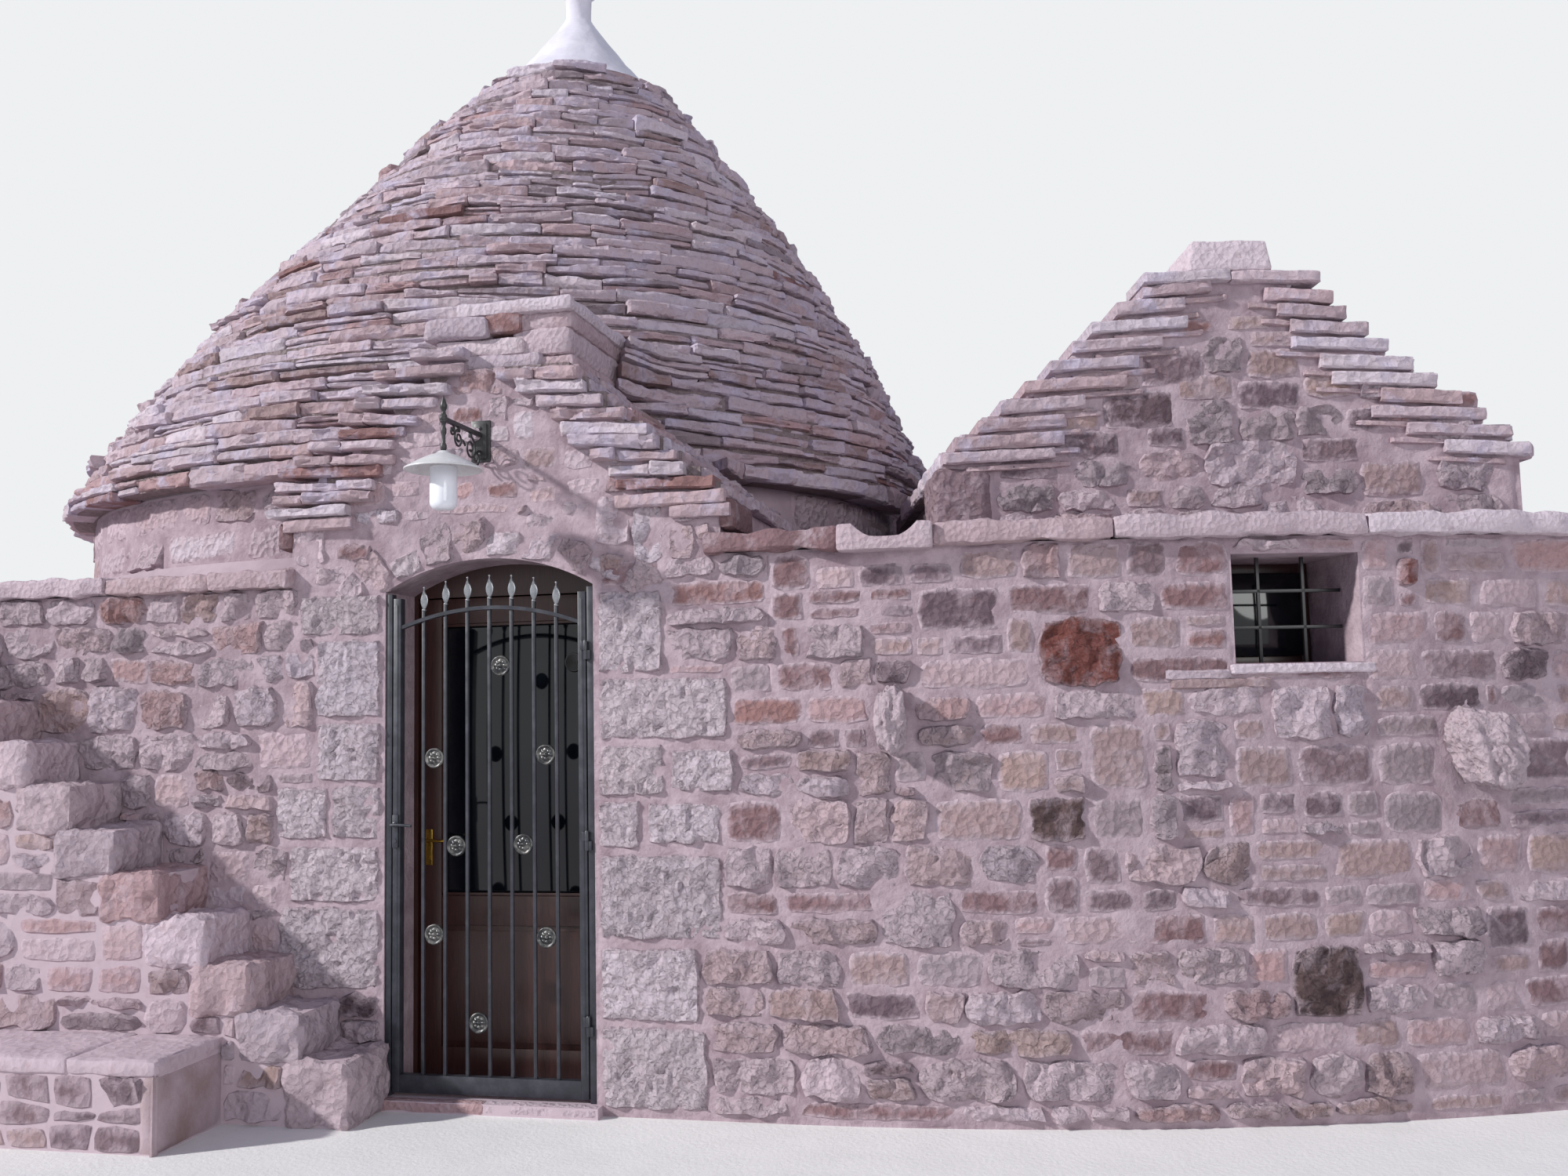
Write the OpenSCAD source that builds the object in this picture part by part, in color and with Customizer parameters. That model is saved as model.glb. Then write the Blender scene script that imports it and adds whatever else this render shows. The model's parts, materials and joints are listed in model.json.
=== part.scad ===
// Trullo house: a round dry-stone cone on a square block, a gabled doorway, and a
// bowed side wing with its own pitched slab roof.
// X runs along the door wall, -Y is the front, Z is up. The origin is on the
// ground under the centre of the cone's eave ring.

/* [Main block] */
// From the cone's axis to the front face of the door wall
front_y = 2930; // [2850:10:3100]
// From the cone's axis to the left face of the block
left_x = 2950; // [2850:10:3200]
// From the cone's axis to the back face of the block
back_y = 2950; // [2850:10:3200]
// From the cone's axis to the right face of the block, behind the wing
right_x = 2750; // [2700:10:2900]
// Radius of the round room
room_r = 1850; // [1700:10:1900]
// Height of the masonry walls under the copings
wall_top = 2235; // [2225:5:2400]
// Height of the floor above the ground
floor_t = 45; // [30:5:50]

/* [Drum and cone] */
// Radius of the drum under the eave
drum_r = 2520; // [2400:10:2560]
// Height of the underside of the eave
eave_z = 2800; // [2700:10:2950]
// Radius of the lowest slab course
eave_r = 2640; // [2600:10:2700]
// Height of one slab course on the cone
course_h = 73; // [65:1:80]
// Radius of the cone under the white tip
tip_r = 530; // [480:10:560]
// Number of slab courses on the cone
cone_courses = 40; // [36:1:44]
// Bulge of the cone's outline, 1 is straight
cone_bulge = 1.25; // [1:0.05:1.5]
// How far the cone's top stands to the right of its base
cone_lean = 415; // [0:5:420]
// Thickness of the stone shell of the cone
shell_t = 680; // [600:10:750]

/* [Doorway] */
// Centre of the doorway from the cone's axis
door_x = 1065; // [1000:5:1100]
// Clear width between the stone jambs
door_w = 960; // [900:10:1000]
// Height where the door arch springs
spring_z = 2200; // [2150:5:2220]
// Rise of the door arch
arch_rise = 130; // [100:5:160]
// Depth of the stone reveal in front of the wooden door
reveal = 270; // [240:10:320]

/* [Doorway gable] */
// Half width of the gabled portal over the door
portal_half = 990; // [950:10:1050]
// Height of the portal's eaves
portal_eave_z = 2540; // [2500:10:2600]
// Number of slab courses on each side of the portal gable
portal_courses = 9; // [8:1:11]

/* [Wing] */
// Distance from the cone's axis to the bend where the wing begins
bend_x = 2300; // [2250:10:2400]
// Radius of the bowed front wall of the wing
bow_r = 8000; // [7000:100:9000]
// Length of the wing along its chord
wing_l = 3500; // [3450:10:3600]
// Depth of the wing from its chord
wing_d = 2700; // [2650:10:2800]
// Thickness of the wing's walls
wing_wall = 650; // [600:10:700]
// Height of the wing's parapet coping
wing_coping_z = 2390; // [2380:5:2600]
// Number of slab courses on each wing roof slope
wing_courses = 11; // [9:1:12]

/* [Stair] */
// Number of steps up to the terrace
steps = 12; // [10:1:14]
// Length of each tread
going = 220; // [200:5:240]
// Width of the stair from the wall
stair_w = 320; // [280:10:360]

/* [Hidden] */
$fn = 72;
fine = 360;
very_fine = 900;
far = 20000;

// Wing frame: the chord of the bow turns by half the swept angle
bow_sweep = 2 * asin(wing_l / (2 * bow_r));
wing_turn = bow_sweep / 2;
bow_end = bow_sweep + 2;
bow_y = bow_r - front_y;
bow_wall = 700;
past_bow = 900;
past_bow_a = 5;

// Mortar joints: between flat faces, and against the bowed wall
joint = 0.3;
bow_joint = 0.7;
joint_a = 0.003;

// Terrace, copings and skirt
lintel_t = 70;
wing_wall_top = wall_top + lintel_t;
coping_t = 80;
coping_w = 320;
coping_out = 50;
terrace_t = lintel_t;
skirt_w = 135;
skirt_rise = 120;
right_coping_y = 200;

// Spout in the wing's coping
spout_a = 3.6;
spout_w = 385;
spout_l = 330;
spout_z = 2285;
spout_out = 90;
channel_r = 160;
channel_z = 95;

// Round room and its passages
room_corner = room_r / sqrt(2);
passage_l = 500;
passage_r = 1680;
passage_rise = 125;
side_y0 = -1620;
side_y1 = -800;
side_spring = 1800;
side_rise = 150;
side_mid = (side_y0 + side_y1) / 2;
floor_meet = -1500;
sill_out = 60;
sill_past = 25;

// Cone
cone_h = course_h * cone_courses;
void_min_r = 300;
band = floor(cone_courses / 3);
lean_ease = 0.77;

// White tip: flare, neck, collar and ball
tip_h = 600;
tip_inset = 5;
tip_flare = 1.12;
tip_steps = 10;
neck_r = 86;
neck_h = 110;
collar_r = 140;
collar_top_r = 60;
collar_z = [12, 40, 60];
ball_r = 105;
ball_z = 140;

// Slab roofs of the portal and the wing
portal_x = 1120;
slab_in = 300;
portal_back = -1200;
portal_slab_h = 70;
portal_run = 83;
portal_cap_x = 1181;
portal_cap_w = 540;
portal_cap_h = 305;
portal_cap_in = 30;
portal_cap_back = -1500;
bond_r = 2050;
bond_run = 12;
kneeler_w = 60;
kneeler_d = 330;
kneeler_h = 130;
wing_slab_h = 78;
wing_run = 103;
wing_mid = 2070;
wing_half = 1290;
wing_eave_z = 2675;
capstone_w = 376;
capstone_top_w = 328;
capstone_h = 136;
gable_d = 250;
gable_t = 300;
roof_back = 2450;
roof_out = 40;
eave_out = 50;
room_s0 = 1250;
room_s1 = 2870;
room_d1 = wing_d - wing_wall;
// Wing's vault: half widths as shares of the room's, and heights over the springing
vault_shape = [[1, -300], [1, 0], [0.82, 330], [0.5, 620], [0, 830]];

// Window in the bowed wall, as angles along the bow
window_a0 = 13.5;
window_a1 = 17.25;
window_z0 = 1795;
window_z1 = wall_top;
lintel_end = window_a1 + 1.75;
window_mid = (window_a0 + window_a1) / 2;
window_half = 240;
window_frame_d = 430;
window_frame_w = 42;
window_frame_t = 45;
window_glass_t = 5;
window_glass_d = 20;
grille_d = 150;
grille_bar = 14;
grille_x = 95;
grille_half = 251;
grille_z = [150, 300];

// Stair and bench
first_rise = 260;
stair_x = 600;
rise = (wall_top + coping_t - first_rise) / (steps - 1);
stair_left = stair_x - steps * going - 100;
bench_l = -1600;
bench_r = 30;
bench_d = 740;
bench_h = 350;

// Door arch
door_l = door_x - door_w / 2;
door_r = door_x + door_w / 2;
passage_w = passage_r - passage_l;
passage_mid = (passage_r + passage_l) / 2;

// Gate
post_w = 28;
post_d = 40;
gate_gap = 6;
gate_y = -front_y + 5;
gate_z = 60;
gate_top = 2170;
stile_w = 35;
bar_w = 14;
bars = 7;
rail_z = 2050;
rail_rise = 75;
rail_h = 16;
bottom_rail_h = 75;
post_gap = 2;
gate_l = door_l + post_gap + post_w + gate_gap;
gate_r = door_r - post_gap - post_w - gate_gap;
bar_pitch = (gate_r - gate_l - 2 * stile_w) / (bars + 1);
gate_pin_x = gate_r + gate_gap / 2;
gate_pin_y = gate_y - 11;
knuckle_r = 9;
knuckle_h = 38;
gate_hinges = [320, 1080, 1880];
hinge_w = 22;
hinge_t = 4;
bar_in = 9;
bar_over = 38;
rail_in = 4;
rail_d = 24;
spear_t = 8;
spear_in = 12;
lock_z = [1090, 1230];
lock_t = 14;
lever_r = 7;
lever_z = 1190;
lever_l = 95;
lever_out = [48, 60];
// Rosettes sit in the gaps between bars: gap number and height
rosettes = [[5, 1864], [2, 1472], [7, 1480], [3, 1096], [6, 1103], [2, 721], [7, 715], [4, 356]];

// Wooden door
door_y = -front_y + reveal;
frame_t = 60;
leaf_t = 50;
leaf_l = door_l + 25;
leaf_r = door_r - 25;
leaf_z = 58;
leaf_top = 2185;
leaf_gap = 5;
stile = 105;
glass_z0 = 850;
glass_z1 = 2070;
door_pin_x = leaf_r + leaf_gap / 2;
door_pin_y = door_y + frame_t + 11;
door_hinges = [330, 1900];
vent_r = 43;
vent_z = 1880;
vent_t = 12;
glass_t = 10;
panel_in = 130;
panel_t = 12;
handle_x = 45;
handle_half = 18;
handle_z = [985, 1145];
handle_plate_t = 6;
handle_r = 8;
handle_lever_z = [1088, 1103];
handle_out = [36, 48];

// Lantern on the portal gable
lantern_x = 1040;
lantern_out = 370;
lantern_z = 2655;
plate_z = 2750;
plate_h = 185;
plate_half = 45;
plate_t = 12;
arm_z = 2870;
arm_half = 9;
finial_z = 300;
finial_r = 16;
rod_z = 80;
rod_h = 210;
// Rings under the arm: distance out, drop, outer and inner radius
lantern_rings = [[120, 60, 52, 42], [235, 43, 36, 27]];
ring_t = 8;

// Stones that stand out of the bowed wall: angle, height, length and outline
stone_a = [3.65, 20.35];
stone_z = [1476, 1275];
stone_h = [255, 320];
stone_shape = [
    [[-68, 0], [68, 0], [60, -95], [20, -130], [-45, -120]],
    [[-120, 0], [110, 0], [118, -120], [60, -210], [-50, -200], [-110, -110]]
];

stone = "#d8cabf";
mortar = "#cdbfb6";
slab = "#cfc3b8";
plaster = "#f2f0ec";
iron = "#3c3f44";
wood = "#3a1c18";
glass = "#3b4650";
brass = "#b08d3c";
vent_black = "#1a1a1c";
shade_white = "#e8e8e6";
opal = "white";

// A box from one corner to the other
module span(from, to) {
    translate(from)
        cube(to - from);
}

// Places its children in the wing's own frame: X along the chord, Y into the wing
module on_wing() {
    translate([bend_x, -front_y, 0])
        rotate([0, 0, wing_turn])
            children();
}

// A sector of the bowed wall between two angles from the bend
module bow(a0, a1, r0, r1, z0, z1) {
    translate([bend_x, bow_y, 0])
        rotate([0, 0, a0 - 90])
            rotate_extrude(angle = a1 - a0, $fn = very_fine)
                translate([r0, z0])
                    square([r1 - r0, z1 - z0]);
}

// The room that the bowed wall takes, to cut other walls off against its inner face
module bow_room() {
    bow(-past_bow_a, bow_end + past_bow_a, bow_r - bow_wall - bow_joint, bow_r + past_bow, -1, far);
}

// The room that the coping on the bowed wall takes
module bow_coping_room() {
    bow(-past_bow_a, bow_end + past_bow_a, bow_r - coping_w + coping_out - bow_joint, bow_r + past_bow, 0, far);
}

// Everything to the right of the wing's right face
module beyond_wing(extra = 0) {
    on_wing()
        span([wing_l + extra, -wing_d, -1], [2 * wing_l, wing_d, far]);
}

// A tunnel along Y with a segmental arch over straight sides
module arch_tunnel(mid, w, z0, spring, rise, y0, y1) {
    r = (pow(w / 2, 2) + pow(rise, 2)) / (2 * rise);
    translate([mid - w / 2, y0, z0])
        cube([w, y1 - y0, spring - z0]);
    intersection() {
        translate([mid, y0, spring + rise - r])
            rotate([-90, 0, 0])
                cylinder(r = r, h = y1 - y0, $fn = fine);
        translate([mid - w / 2, y0, spring - 1])
            cube([w, y1 - y0, rise + 2]);
    }
}

module room_void(z0, z1) {
    translate([0, 0, z0])
        cylinder(r = room_r, h = z1 - z0, $fn = fine);
}

// Floors

module floor_outline() {
    circle(r = room_r, $fn = fine);
    translate([passage_l, door_y + frame_t + leaf_t])
        square([passage_w, floor_meet - door_y]);
    translate([passage_mid, side_y0])
        square([right_x - passage_mid, side_y1 - side_y0]);
}

module main_floor() {
    color(stone)
        linear_extrude(floor_t)
            floor_outline();
}

module wing_floor() {
    color(stone)
        difference() {
            union() {
                on_wing()
                    span([room_s0, -bow_wall, 0], [room_s1, room_d1, floor_t]);
                span([right_x, side_y0, 0], [right_x + wing_wall, side_y1, floor_t]);
            }
            bow_room();
        }
}

module threshold() {
    color(stone)
        span([stair_x, -front_y - sill_out, 0], [door_r + sill_past, -front_y, floor_t]);
    color(stone)
        span([door_l, -front_y, 0], [door_r, door_y, floor_t]);
    color(stone)
        span([passage_l, door_y, 0], [passage_r, door_y + frame_t + leaf_t, floor_t]);
}

// Walls of the main block

module door_passage() {
    span([passage_l, door_y, -1], [passage_r, 0, far]);
    span([door_l, -front_y - 1, -1], [door_r, door_y + 1, far]);
}

module front_wall_left() {
    color(stone)
        difference() {
            span([-left_x, -front_y, 0], [door_x, -room_corner, wall_top]);
            room_void(-1, wall_top + 1);
            door_passage();
        }
}

module front_wall_right() {
    color(stone)
        difference() {
            union() {
                span([door_x, -front_y, 0], [bend_x, side_y0, wall_top]);
                difference() {
                    span([bend_x - 1, -front_y, 0], [right_x, side_y0, wall_top]);
                    bow_room();
                }
            }
            door_passage();
        }
}

module left_wall() {
    color(stone)
        difference() {
            span([-left_x, -room_corner, 0], [-room_corner, room_corner, wall_top]);
            room_void(-1, wall_top + 1);
        }
}

module back_wall() {
    color(stone)
        difference() {
            span([-left_x, room_corner, 0], [right_x, back_y, wall_top]);
            room_void(-1, wall_top + 1);
        }
}

module right_wall() {
    color(stone)
        difference() {
            span([room_corner, side_y1, 0], [right_x, room_corner, wall_top]);
            room_void(-1, wall_top + 1);
        }
}

// The masonry over the doorway, from the front face back to the drum
module door_arch_wall() {
    color(stone)
        difference() {
            union() {
                span([portal_x - portal_half, -front_y, wall_top],
                     [portal_x + portal_half, portal_back, portal_eave_z]);
                span([door_l, -front_y, spring_z - 20], [door_r, door_y, wall_top + 1]);
            }
            translate([0, 0, wall_top - 100])
                cylinder(r = drum_r, h = 2000, $fn = fine);
            arch_tunnel(door_x, door_w, 0, spring_z, arch_rise, -front_y - 1, door_y + 1);
            arch_tunnel(passage_mid, passage_w, 0, wall_top, passage_rise, door_y, 0);
        }
}

module side_tunnel() {
    r = (pow((side_y1 - side_y0) / 2, 2) + pow(side_rise, 2)) / (2 * side_rise);
    intersection() {
        translate([passage_r - 1, side_mid, side_spring + side_rise - r])
            rotate([0, 90, 0])
                cylinder(r = r, h = far, $fn = fine);
        span([0, side_y0, 0], [far, side_y1, far]);
    }
}

// The arch over the side passage, from the doorway to the wing's room
module side_passage_arch() {
    color(stone)
        difference() {
            union() {
                span([passage_r, side_y0, side_spring], [right_x, side_y1, wall_top]);
                span([right_x, side_y0, side_spring], [right_x + room_s0, side_y1, wing_wall_top]);
            }
            side_tunnel();
            on_wing()
                span([room_s0, -bow_wall, 0], [far, far, far]);
        }
}

// Walls of the wing

module wing_left_wall(y0, y1) {
    difference() {
        span([right_x, y0, 0], [right_x + room_s0, y1, wing_wall_top]);
        bow_room();
        on_wing()
            span([room_s0, -bow_wall, -1], [far, far, far]);
        on_wing()
            span([-far, room_d1, -1], [far, far, far]);
    }
}

module wing_left_wall_front() {
    color(stone)
        wing_left_wall(-front_y, side_y0);
}

module wing_left_wall_back() {
    color(stone)
        wing_left_wall(side_y1, 0);
}

module wing_front_wall_left() {
    color(stone)
        bow(0, window_a0 - joint_a, bow_r - bow_wall, bow_r, 0, wall_top);
}

module wing_window_sill_wall() {
    color(stone)
        bow(window_a0, window_a1, bow_r - bow_wall, bow_r, 0, window_z0);
}

module wing_front_wall_right() {
    color(stone)
        difference() {
            bow(window_a1 + joint_a, bow_end, bow_r - bow_wall, bow_r, 0, wing_wall_top);
            beyond_wing();
            bow(window_a1 - 1, lintel_end, bow_r - bow_wall - 1, bow_r + 1, wall_top, far);
        }
}

module wing_lintel_course() {
    color(stone)
        union() {
            bow(0, lintel_end - joint_a, bow_r - bow_wall, bow_r, wall_top + joint, wing_wall_top);
            span([portal_x + portal_half, -front_y, wall_top + joint],
                 [bend_x, -front_y + bow_wall, wing_wall_top]);
        }
}

module wing_right_wall() {
    color(stone)
        difference() {
            on_wing()
                span([room_s1, -bow_wall, 0], [wing_l, wing_d, wing_wall_top]);
            bow_room();
        }
}

module wing_back_wall() {
    color(stone)
        difference() {
            on_wing()
                span([-bow_wall, room_d1, 0], [room_s1, wing_d, wing_wall_top]);
            span([-far, -far / 2, -1], [right_x, far / 2, far]);
        }
}

// Terraces

module main_terrace() {
    color(mortar)
        difference() {
            union() {
                span([-left_x + coping_w - coping_out, -front_y + coping_w - coping_out, wall_top],
                     [right_x, back_y - coping_w + coping_out, wall_top + terrace_t]);
                translate([0, 0, wall_top + terrace_t])
                    cylinder(r1 = drum_r + skirt_w, r2 = drum_r + 10, h = skirt_rise, $fn = fine);
            }
            translate([0, 0, wall_top - 1])
                cylinder(r = drum_r, h = 1000, $fn = fine);
            span([portal_x - portal_half, -far, 0], [portal_x + portal_half, portal_back, far]);
            span([portal_x, -far, 0], [bend_x, -front_y + bow_wall, far]);
            bow_room();
            span([right_x, -far, 0], [far, far, far]);
            span([right_x - coping_w + coping_out, right_coping_y, 0], [far, far, wall_top + coping_t]);
            translate([0, 0, wing_wall_top])
                wing_body();
        }
}

// The block that the wing's gabled roof stands on
module wing_body() {
    on_wing()
        span([wing_mid - wing_half + eave_out, gable_d, 0],
             [wing_mid + wing_half - eave_out, roof_back, far]);
}

module wing_terrace() {
    color(mortar)
        difference() {
            on_wing()
                span([-bow_wall, -bow_wall, wing_wall_top + joint],
                     [wing_mid + wing_half - eave_out, roof_back, wing_wall_top + terrace_t]);
            wing_body();
            span([-far, -far, 0], [right_x, far, far]);
            bow_coping_room();
        }
}

// Copings

module coping_front() {
    color(stone)
        span([-left_x - coping_out, -front_y - coping_out, wall_top],
             [portal_x - portal_half, -front_y + coping_w - coping_out, wall_top + coping_t]);
}

module coping_left() {
    color(stone)
        span([-left_x - coping_out, -front_y + coping_w - coping_out, wall_top],
             [-left_x + coping_w - coping_out, back_y + coping_out, wall_top + coping_t]);
}

module coping_back() {
    color(stone)
        difference() {
            union() {
                span([-left_x + coping_w - coping_out, back_y - coping_w + coping_out, wall_top],
                     [right_x + coping_out, back_y + coping_out, wall_top + coping_t]);
                span([right_x - coping_w + coping_out, right_coping_y, wall_top],
                     [right_x + coping_out, back_y, wall_top + coping_t]);
            }
            cylinder(r = drum_r, h = far, $fn = fine);
        }
}

module wing_coping_front() {
    color(stone)
        difference() {
            union() {
                bow(0, bow_end, bow_r - coping_w + coping_out, bow_r + coping_out,
                    wing_wall_top + joint, wing_coping_z);
                span([portal_x + portal_half, -front_y - coping_out, wing_wall_top + joint],
                     [bend_x, -front_y + coping_w - coping_out, wing_coping_z]);
            }
            cylinder(r = drum_r, h = far, $fn = fine);
            spout_seat();
            beyond_wing(coping_out);
        }
}

module wing_coping_sides() {
    color(stone)
        difference() {
            on_wing() {
                span([wing_mid + wing_half - eave_out, 0, wing_wall_top + joint],
                     [wing_l + coping_out, wing_d + coping_out, wing_coping_z]);
                span([0, roof_back, wing_wall_top + joint], [wing_l, wing_d + coping_out, wing_coping_z]);
            }
            bow_coping_room();
            span([-far, -far, 0], [right_x + coping_out, far, far]);
        }
}

// A cut stone with a round channel that lets rain run off the terrace

module on_spout() {
    translate([bend_x, bow_y, 0])
        rotate([0, 0, spout_a])
            translate([0, -bow_r, 0])
                children();
}

module spout_seat() {
    on_spout()
        span([-spout_w / 2, -spout_l, 0], [spout_w / 2, spout_l - spout_out, far]);
}

module gutter_spout() {
    color(stone)
        difference() {
            on_spout()
                difference() {
                    span([-spout_w / 2, -spout_out, spout_z],
                         [spout_w / 2, spout_l - spout_out, wing_coping_z]);
                    translate([0, -spout_l, wing_coping_z + channel_z])
                        rotate([-90, 0, 0])
                            cylinder(r = channel_r, h = 2 * spout_l, $fn = 90);
                }
            bow(0, bow_sweep, bow_r - bow_wall, bow_r, 0, wing_wall_top);
        }
}

// Drum and cone

module drum() {
    color(mortar)
        difference() {
            translate([0, 0, wall_top])
                cylinder(r = drum_r, h = eave_z - wall_top, $fn = fine);
            room_void(wall_top - 1, eave_z + 1);
            arch_tunnel(passage_mid, passage_w, 0, wall_top, passage_rise, -far / 2, 0);
        }
}

function course_r(i) = tip_r + (eave_r - tip_r) * (1 - pow(i / cone_courses, cone_bulge));
function course_x(i) = cone_lean * pow(i / cone_courses, lean_ease);
function void_r(i) = min(room_r, course_r(i) - shell_t);

module cone_band(first, last) {
    difference() {
        for (i = [first:last])
            translate([course_x(i), 0, eave_z + i * course_h])
                cylinder(r = course_r(i), h = course_h + (i < last ? 1 : 0), $fn = fine);
        for (i = [first:last])
            if (void_r(i) > void_min_r)
                translate([course_x(i), 0, eave_z + i * course_h - (i == first ? 1 : 0)])
                    cylinder(r = void_r(i), $fn = fine,
                             h = course_h + (i == first ? 1 : 0) + (i == last ? 1 : 0));
    }
}

module cone_lower() {
    color(slab)
        difference() {
            cone_band(0, band - 1);
            portal_solid();
        }
}

module cone_middle() {
    color(slab)
        cone_band(band, 2 * band - 1);
}

module cone_upper() {
    color(slab)
        cone_band(2 * band, cone_courses - 1);
}

// The white tip: a flaring cone, a neck, a collar and a ball
function tip_radius(u) = neck_r + (tip_r - tip_inset - neck_r) * pow(1 - u, tip_flare);

module pinnacle() {
    z = tip_h + neck_h;
    color(plaster)
        translate([cone_lean, 0, eave_z + cone_h])
            union() {
                rotate_extrude()
                    polygon(concat(
                        [[0, 0]],
                        [for (k = [0:tip_steps]) [tip_radius(k / tip_steps), tip_h * k / tip_steps]],
                        [[neck_r, z], [collar_r, z + collar_z[0]], [collar_r, z + collar_z[1]],
                         [collar_top_r, z + collar_z[2]], [0, z + collar_z[2]]]
                    ));
                translate([0, 0, z + ball_z])
                    sphere(r = ball_r);
            }
}

// Portal gable over the door

function portal_w(i) = portal_half - i * portal_run;

module portal_solid() {
    for (i = [0:portal_courses - 1])
        span([portal_x - portal_w(i), -front_y, portal_eave_z + i * portal_slab_h],
             [portal_x + portal_w(i), portal_back, portal_eave_z + (i + 1) * portal_slab_h]);
}

module cut_by_drum() {
    difference() {
        children();
        cylinder(r = drum_r, h = eave_z, $fn = fine);
        for (i = [0:band - 1])
            translate([course_x(i), 0, eave_z + i * course_h - 1])
                cylinder(r = min(course_r(i), void_keep(i)), h = course_h + 1, $fn = fine);
    }
}

// The portal is bonded into the cone's shell, and stops short of the room's vault
function void_keep(i) = bond_r - i * bond_run;

module portal_gable() {
    color(stone)
        cut_by_drum()
            for (i = [0:portal_courses - 1])
                if (portal_w(i) > slab_in)
                    span([portal_x - portal_w(i) + slab_in, -front_y, portal_eave_z + i * portal_slab_h],
                         [portal_x + portal_w(i) - slab_in, portal_back,
                          portal_eave_z + (i + 1) * portal_slab_h]);
}

module portal_slabs(side) {
    cut_by_drum()
        for (i = [0:portal_courses - 1]) {
            outer = portal_w(i);
            inner = max(portal_w(i) - slab_in, 0);
            a = side < 0 ? portal_x - outer : portal_x + inner;
            b = side < 0 ? portal_x - inner : portal_x + outer;
            span([a, -front_y, portal_eave_z + i * portal_slab_h],
                 [b, portal_back, portal_eave_z + (i + 1) * portal_slab_h]);
        }
}

module portal_slabs_left() {
    color(slab)
        portal_slabs(-1);
}

module portal_slabs_right() {
    color(slab)
        portal_slabs(1);
}

module portal_cap() {
    z0 = portal_eave_z + portal_courses * portal_slab_h;
    color(stone)
        difference() {
            span([portal_cap_x - portal_cap_w / 2, -front_y + portal_cap_in, z0],
                 [portal_cap_x + portal_cap_w / 2, portal_cap_back, z0 + portal_cap_h]);
            for (i = [0:2 * band - 1])
                translate([course_x(i), 0, eave_z + i * course_h])
                    cylinder(r = course_r(i), h = course_h + 1, $fn = fine);
        }
}

module portal_kneelers() {
    color(stone)
        for (x = [portal_x - portal_half - kneeler_w, portal_x + portal_half])
            span([x, -front_y, portal_eave_z - kneeler_h],
                 [x + kneeler_w, -front_y + kneeler_d, portal_eave_z]);
}

// Wing roof

function wing_w(i) = wing_half - i * wing_run;

module wing_vault(d0, d1) {
    half = (room_s1 - room_s0) / 2;
    top = len(vault_shape) - 1;
    translate([room_s0 + half, d1, wing_wall_top])
        rotate([90, 0, 0])
            linear_extrude(d1 - d0)
                polygon(concat(
                    [for (p = vault_shape) [half * p[0], p[1]]],
                    [for (k = [top - 1:-1:0]) [-half * vault_shape[k][0], vault_shape[k][1]]]
                ));
}

// One slope's core and slab courses, on one side of the ridge
module wing_half_roof(side) {
    for (i = [0:wing_courses - 1]) {
        a = side < 0 ? wing_mid - wing_w(i) : wing_mid;
        b = side < 0 ? wing_mid : wing_mid + wing_w(i);
        span([a, gable_d + gable_t, wing_eave_z + i * wing_slab_h],
             [b, roof_back - gable_t, wing_eave_z + (i + 1) * wing_slab_h]);
    }
    a0 = side < 0 ? wing_mid - wing_half + eave_out : wing_mid;
    b0 = side < 0 ? wing_mid : wing_mid + wing_half - eave_out;
    span([a0, gable_d + gable_t, wing_wall_top + joint], [b0, roof_back - gable_t, wing_eave_z]);
}

module wing_roof(side) {
    on_wing()
        difference() {
            wing_half_roof(side);
            wing_vault(0, wing_d);
        }
}

module wing_roof_left() {
    color(slab)
        wing_roof(-1);
}

module wing_roof_right() {
    color(slab)
        wing_roof(1);
}

// A gable wall with the ends of the slab courses along its edges
module wing_gable(d0, d1) {
    on_wing() {
        span([wing_mid - wing_half + eave_out, d0, wing_wall_top + joint],
             [wing_mid + wing_half - eave_out, d1, wing_eave_z]);
        for (i = [0:wing_courses - 1])
            span([wing_mid - wing_w(i), d0, wing_eave_z + i * wing_slab_h],
                 [wing_mid + wing_w(i), d1, wing_eave_z + (i + 1) * wing_slab_h]);
    }
}

module wing_gable_front() {
    color(stone)
        wing_gable(gable_d, gable_d + gable_t);
}

module wing_gable_back() {
    color(stone)
        wing_gable(roof_back - gable_t, roof_back);
}

module wing_capstones() {
    z0 = wing_eave_z + wing_courses * wing_slab_h;
    color(stone)
        on_wing()
            translate([wing_mid, roof_back + roof_out, z0])
                rotate([90, 0, 0])
                    linear_extrude(roof_back - gable_d + 2 * roof_out)
                        polygon([[-capstone_w / 2, 0], [capstone_w / 2, 0],
                                 [capstone_top_w / 2, capstone_h], [-capstone_top_w / 2, capstone_h]]);
}

// Window: wooden frame with glass behind an iron grille

module on_window(depth) {
    translate([bend_x, bow_y, 0])
        rotate([0, 0, window_mid])
            translate([0, -bow_r + depth, 0])
                children();
}

module window_frame() {
    color(wood)
        on_window(window_frame_d)
            difference() {
                span([-window_half, 0, window_z0 + joint], [window_half, window_frame_t, window_z1 - joint]);
                span([-window_half + window_frame_w, -1, window_z0 + window_frame_w],
                     [window_half - window_frame_w, window_frame_t + 1, window_z1 - window_frame_w]);
            }
}

module window_glass() {
    color(glass)
        on_window(window_frame_d + window_glass_d)
            span([-window_half + window_frame_w, 0, window_z0 + window_frame_w],
                 [window_half - window_frame_w, window_glass_t, window_z1 - window_frame_w]);
}

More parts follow.
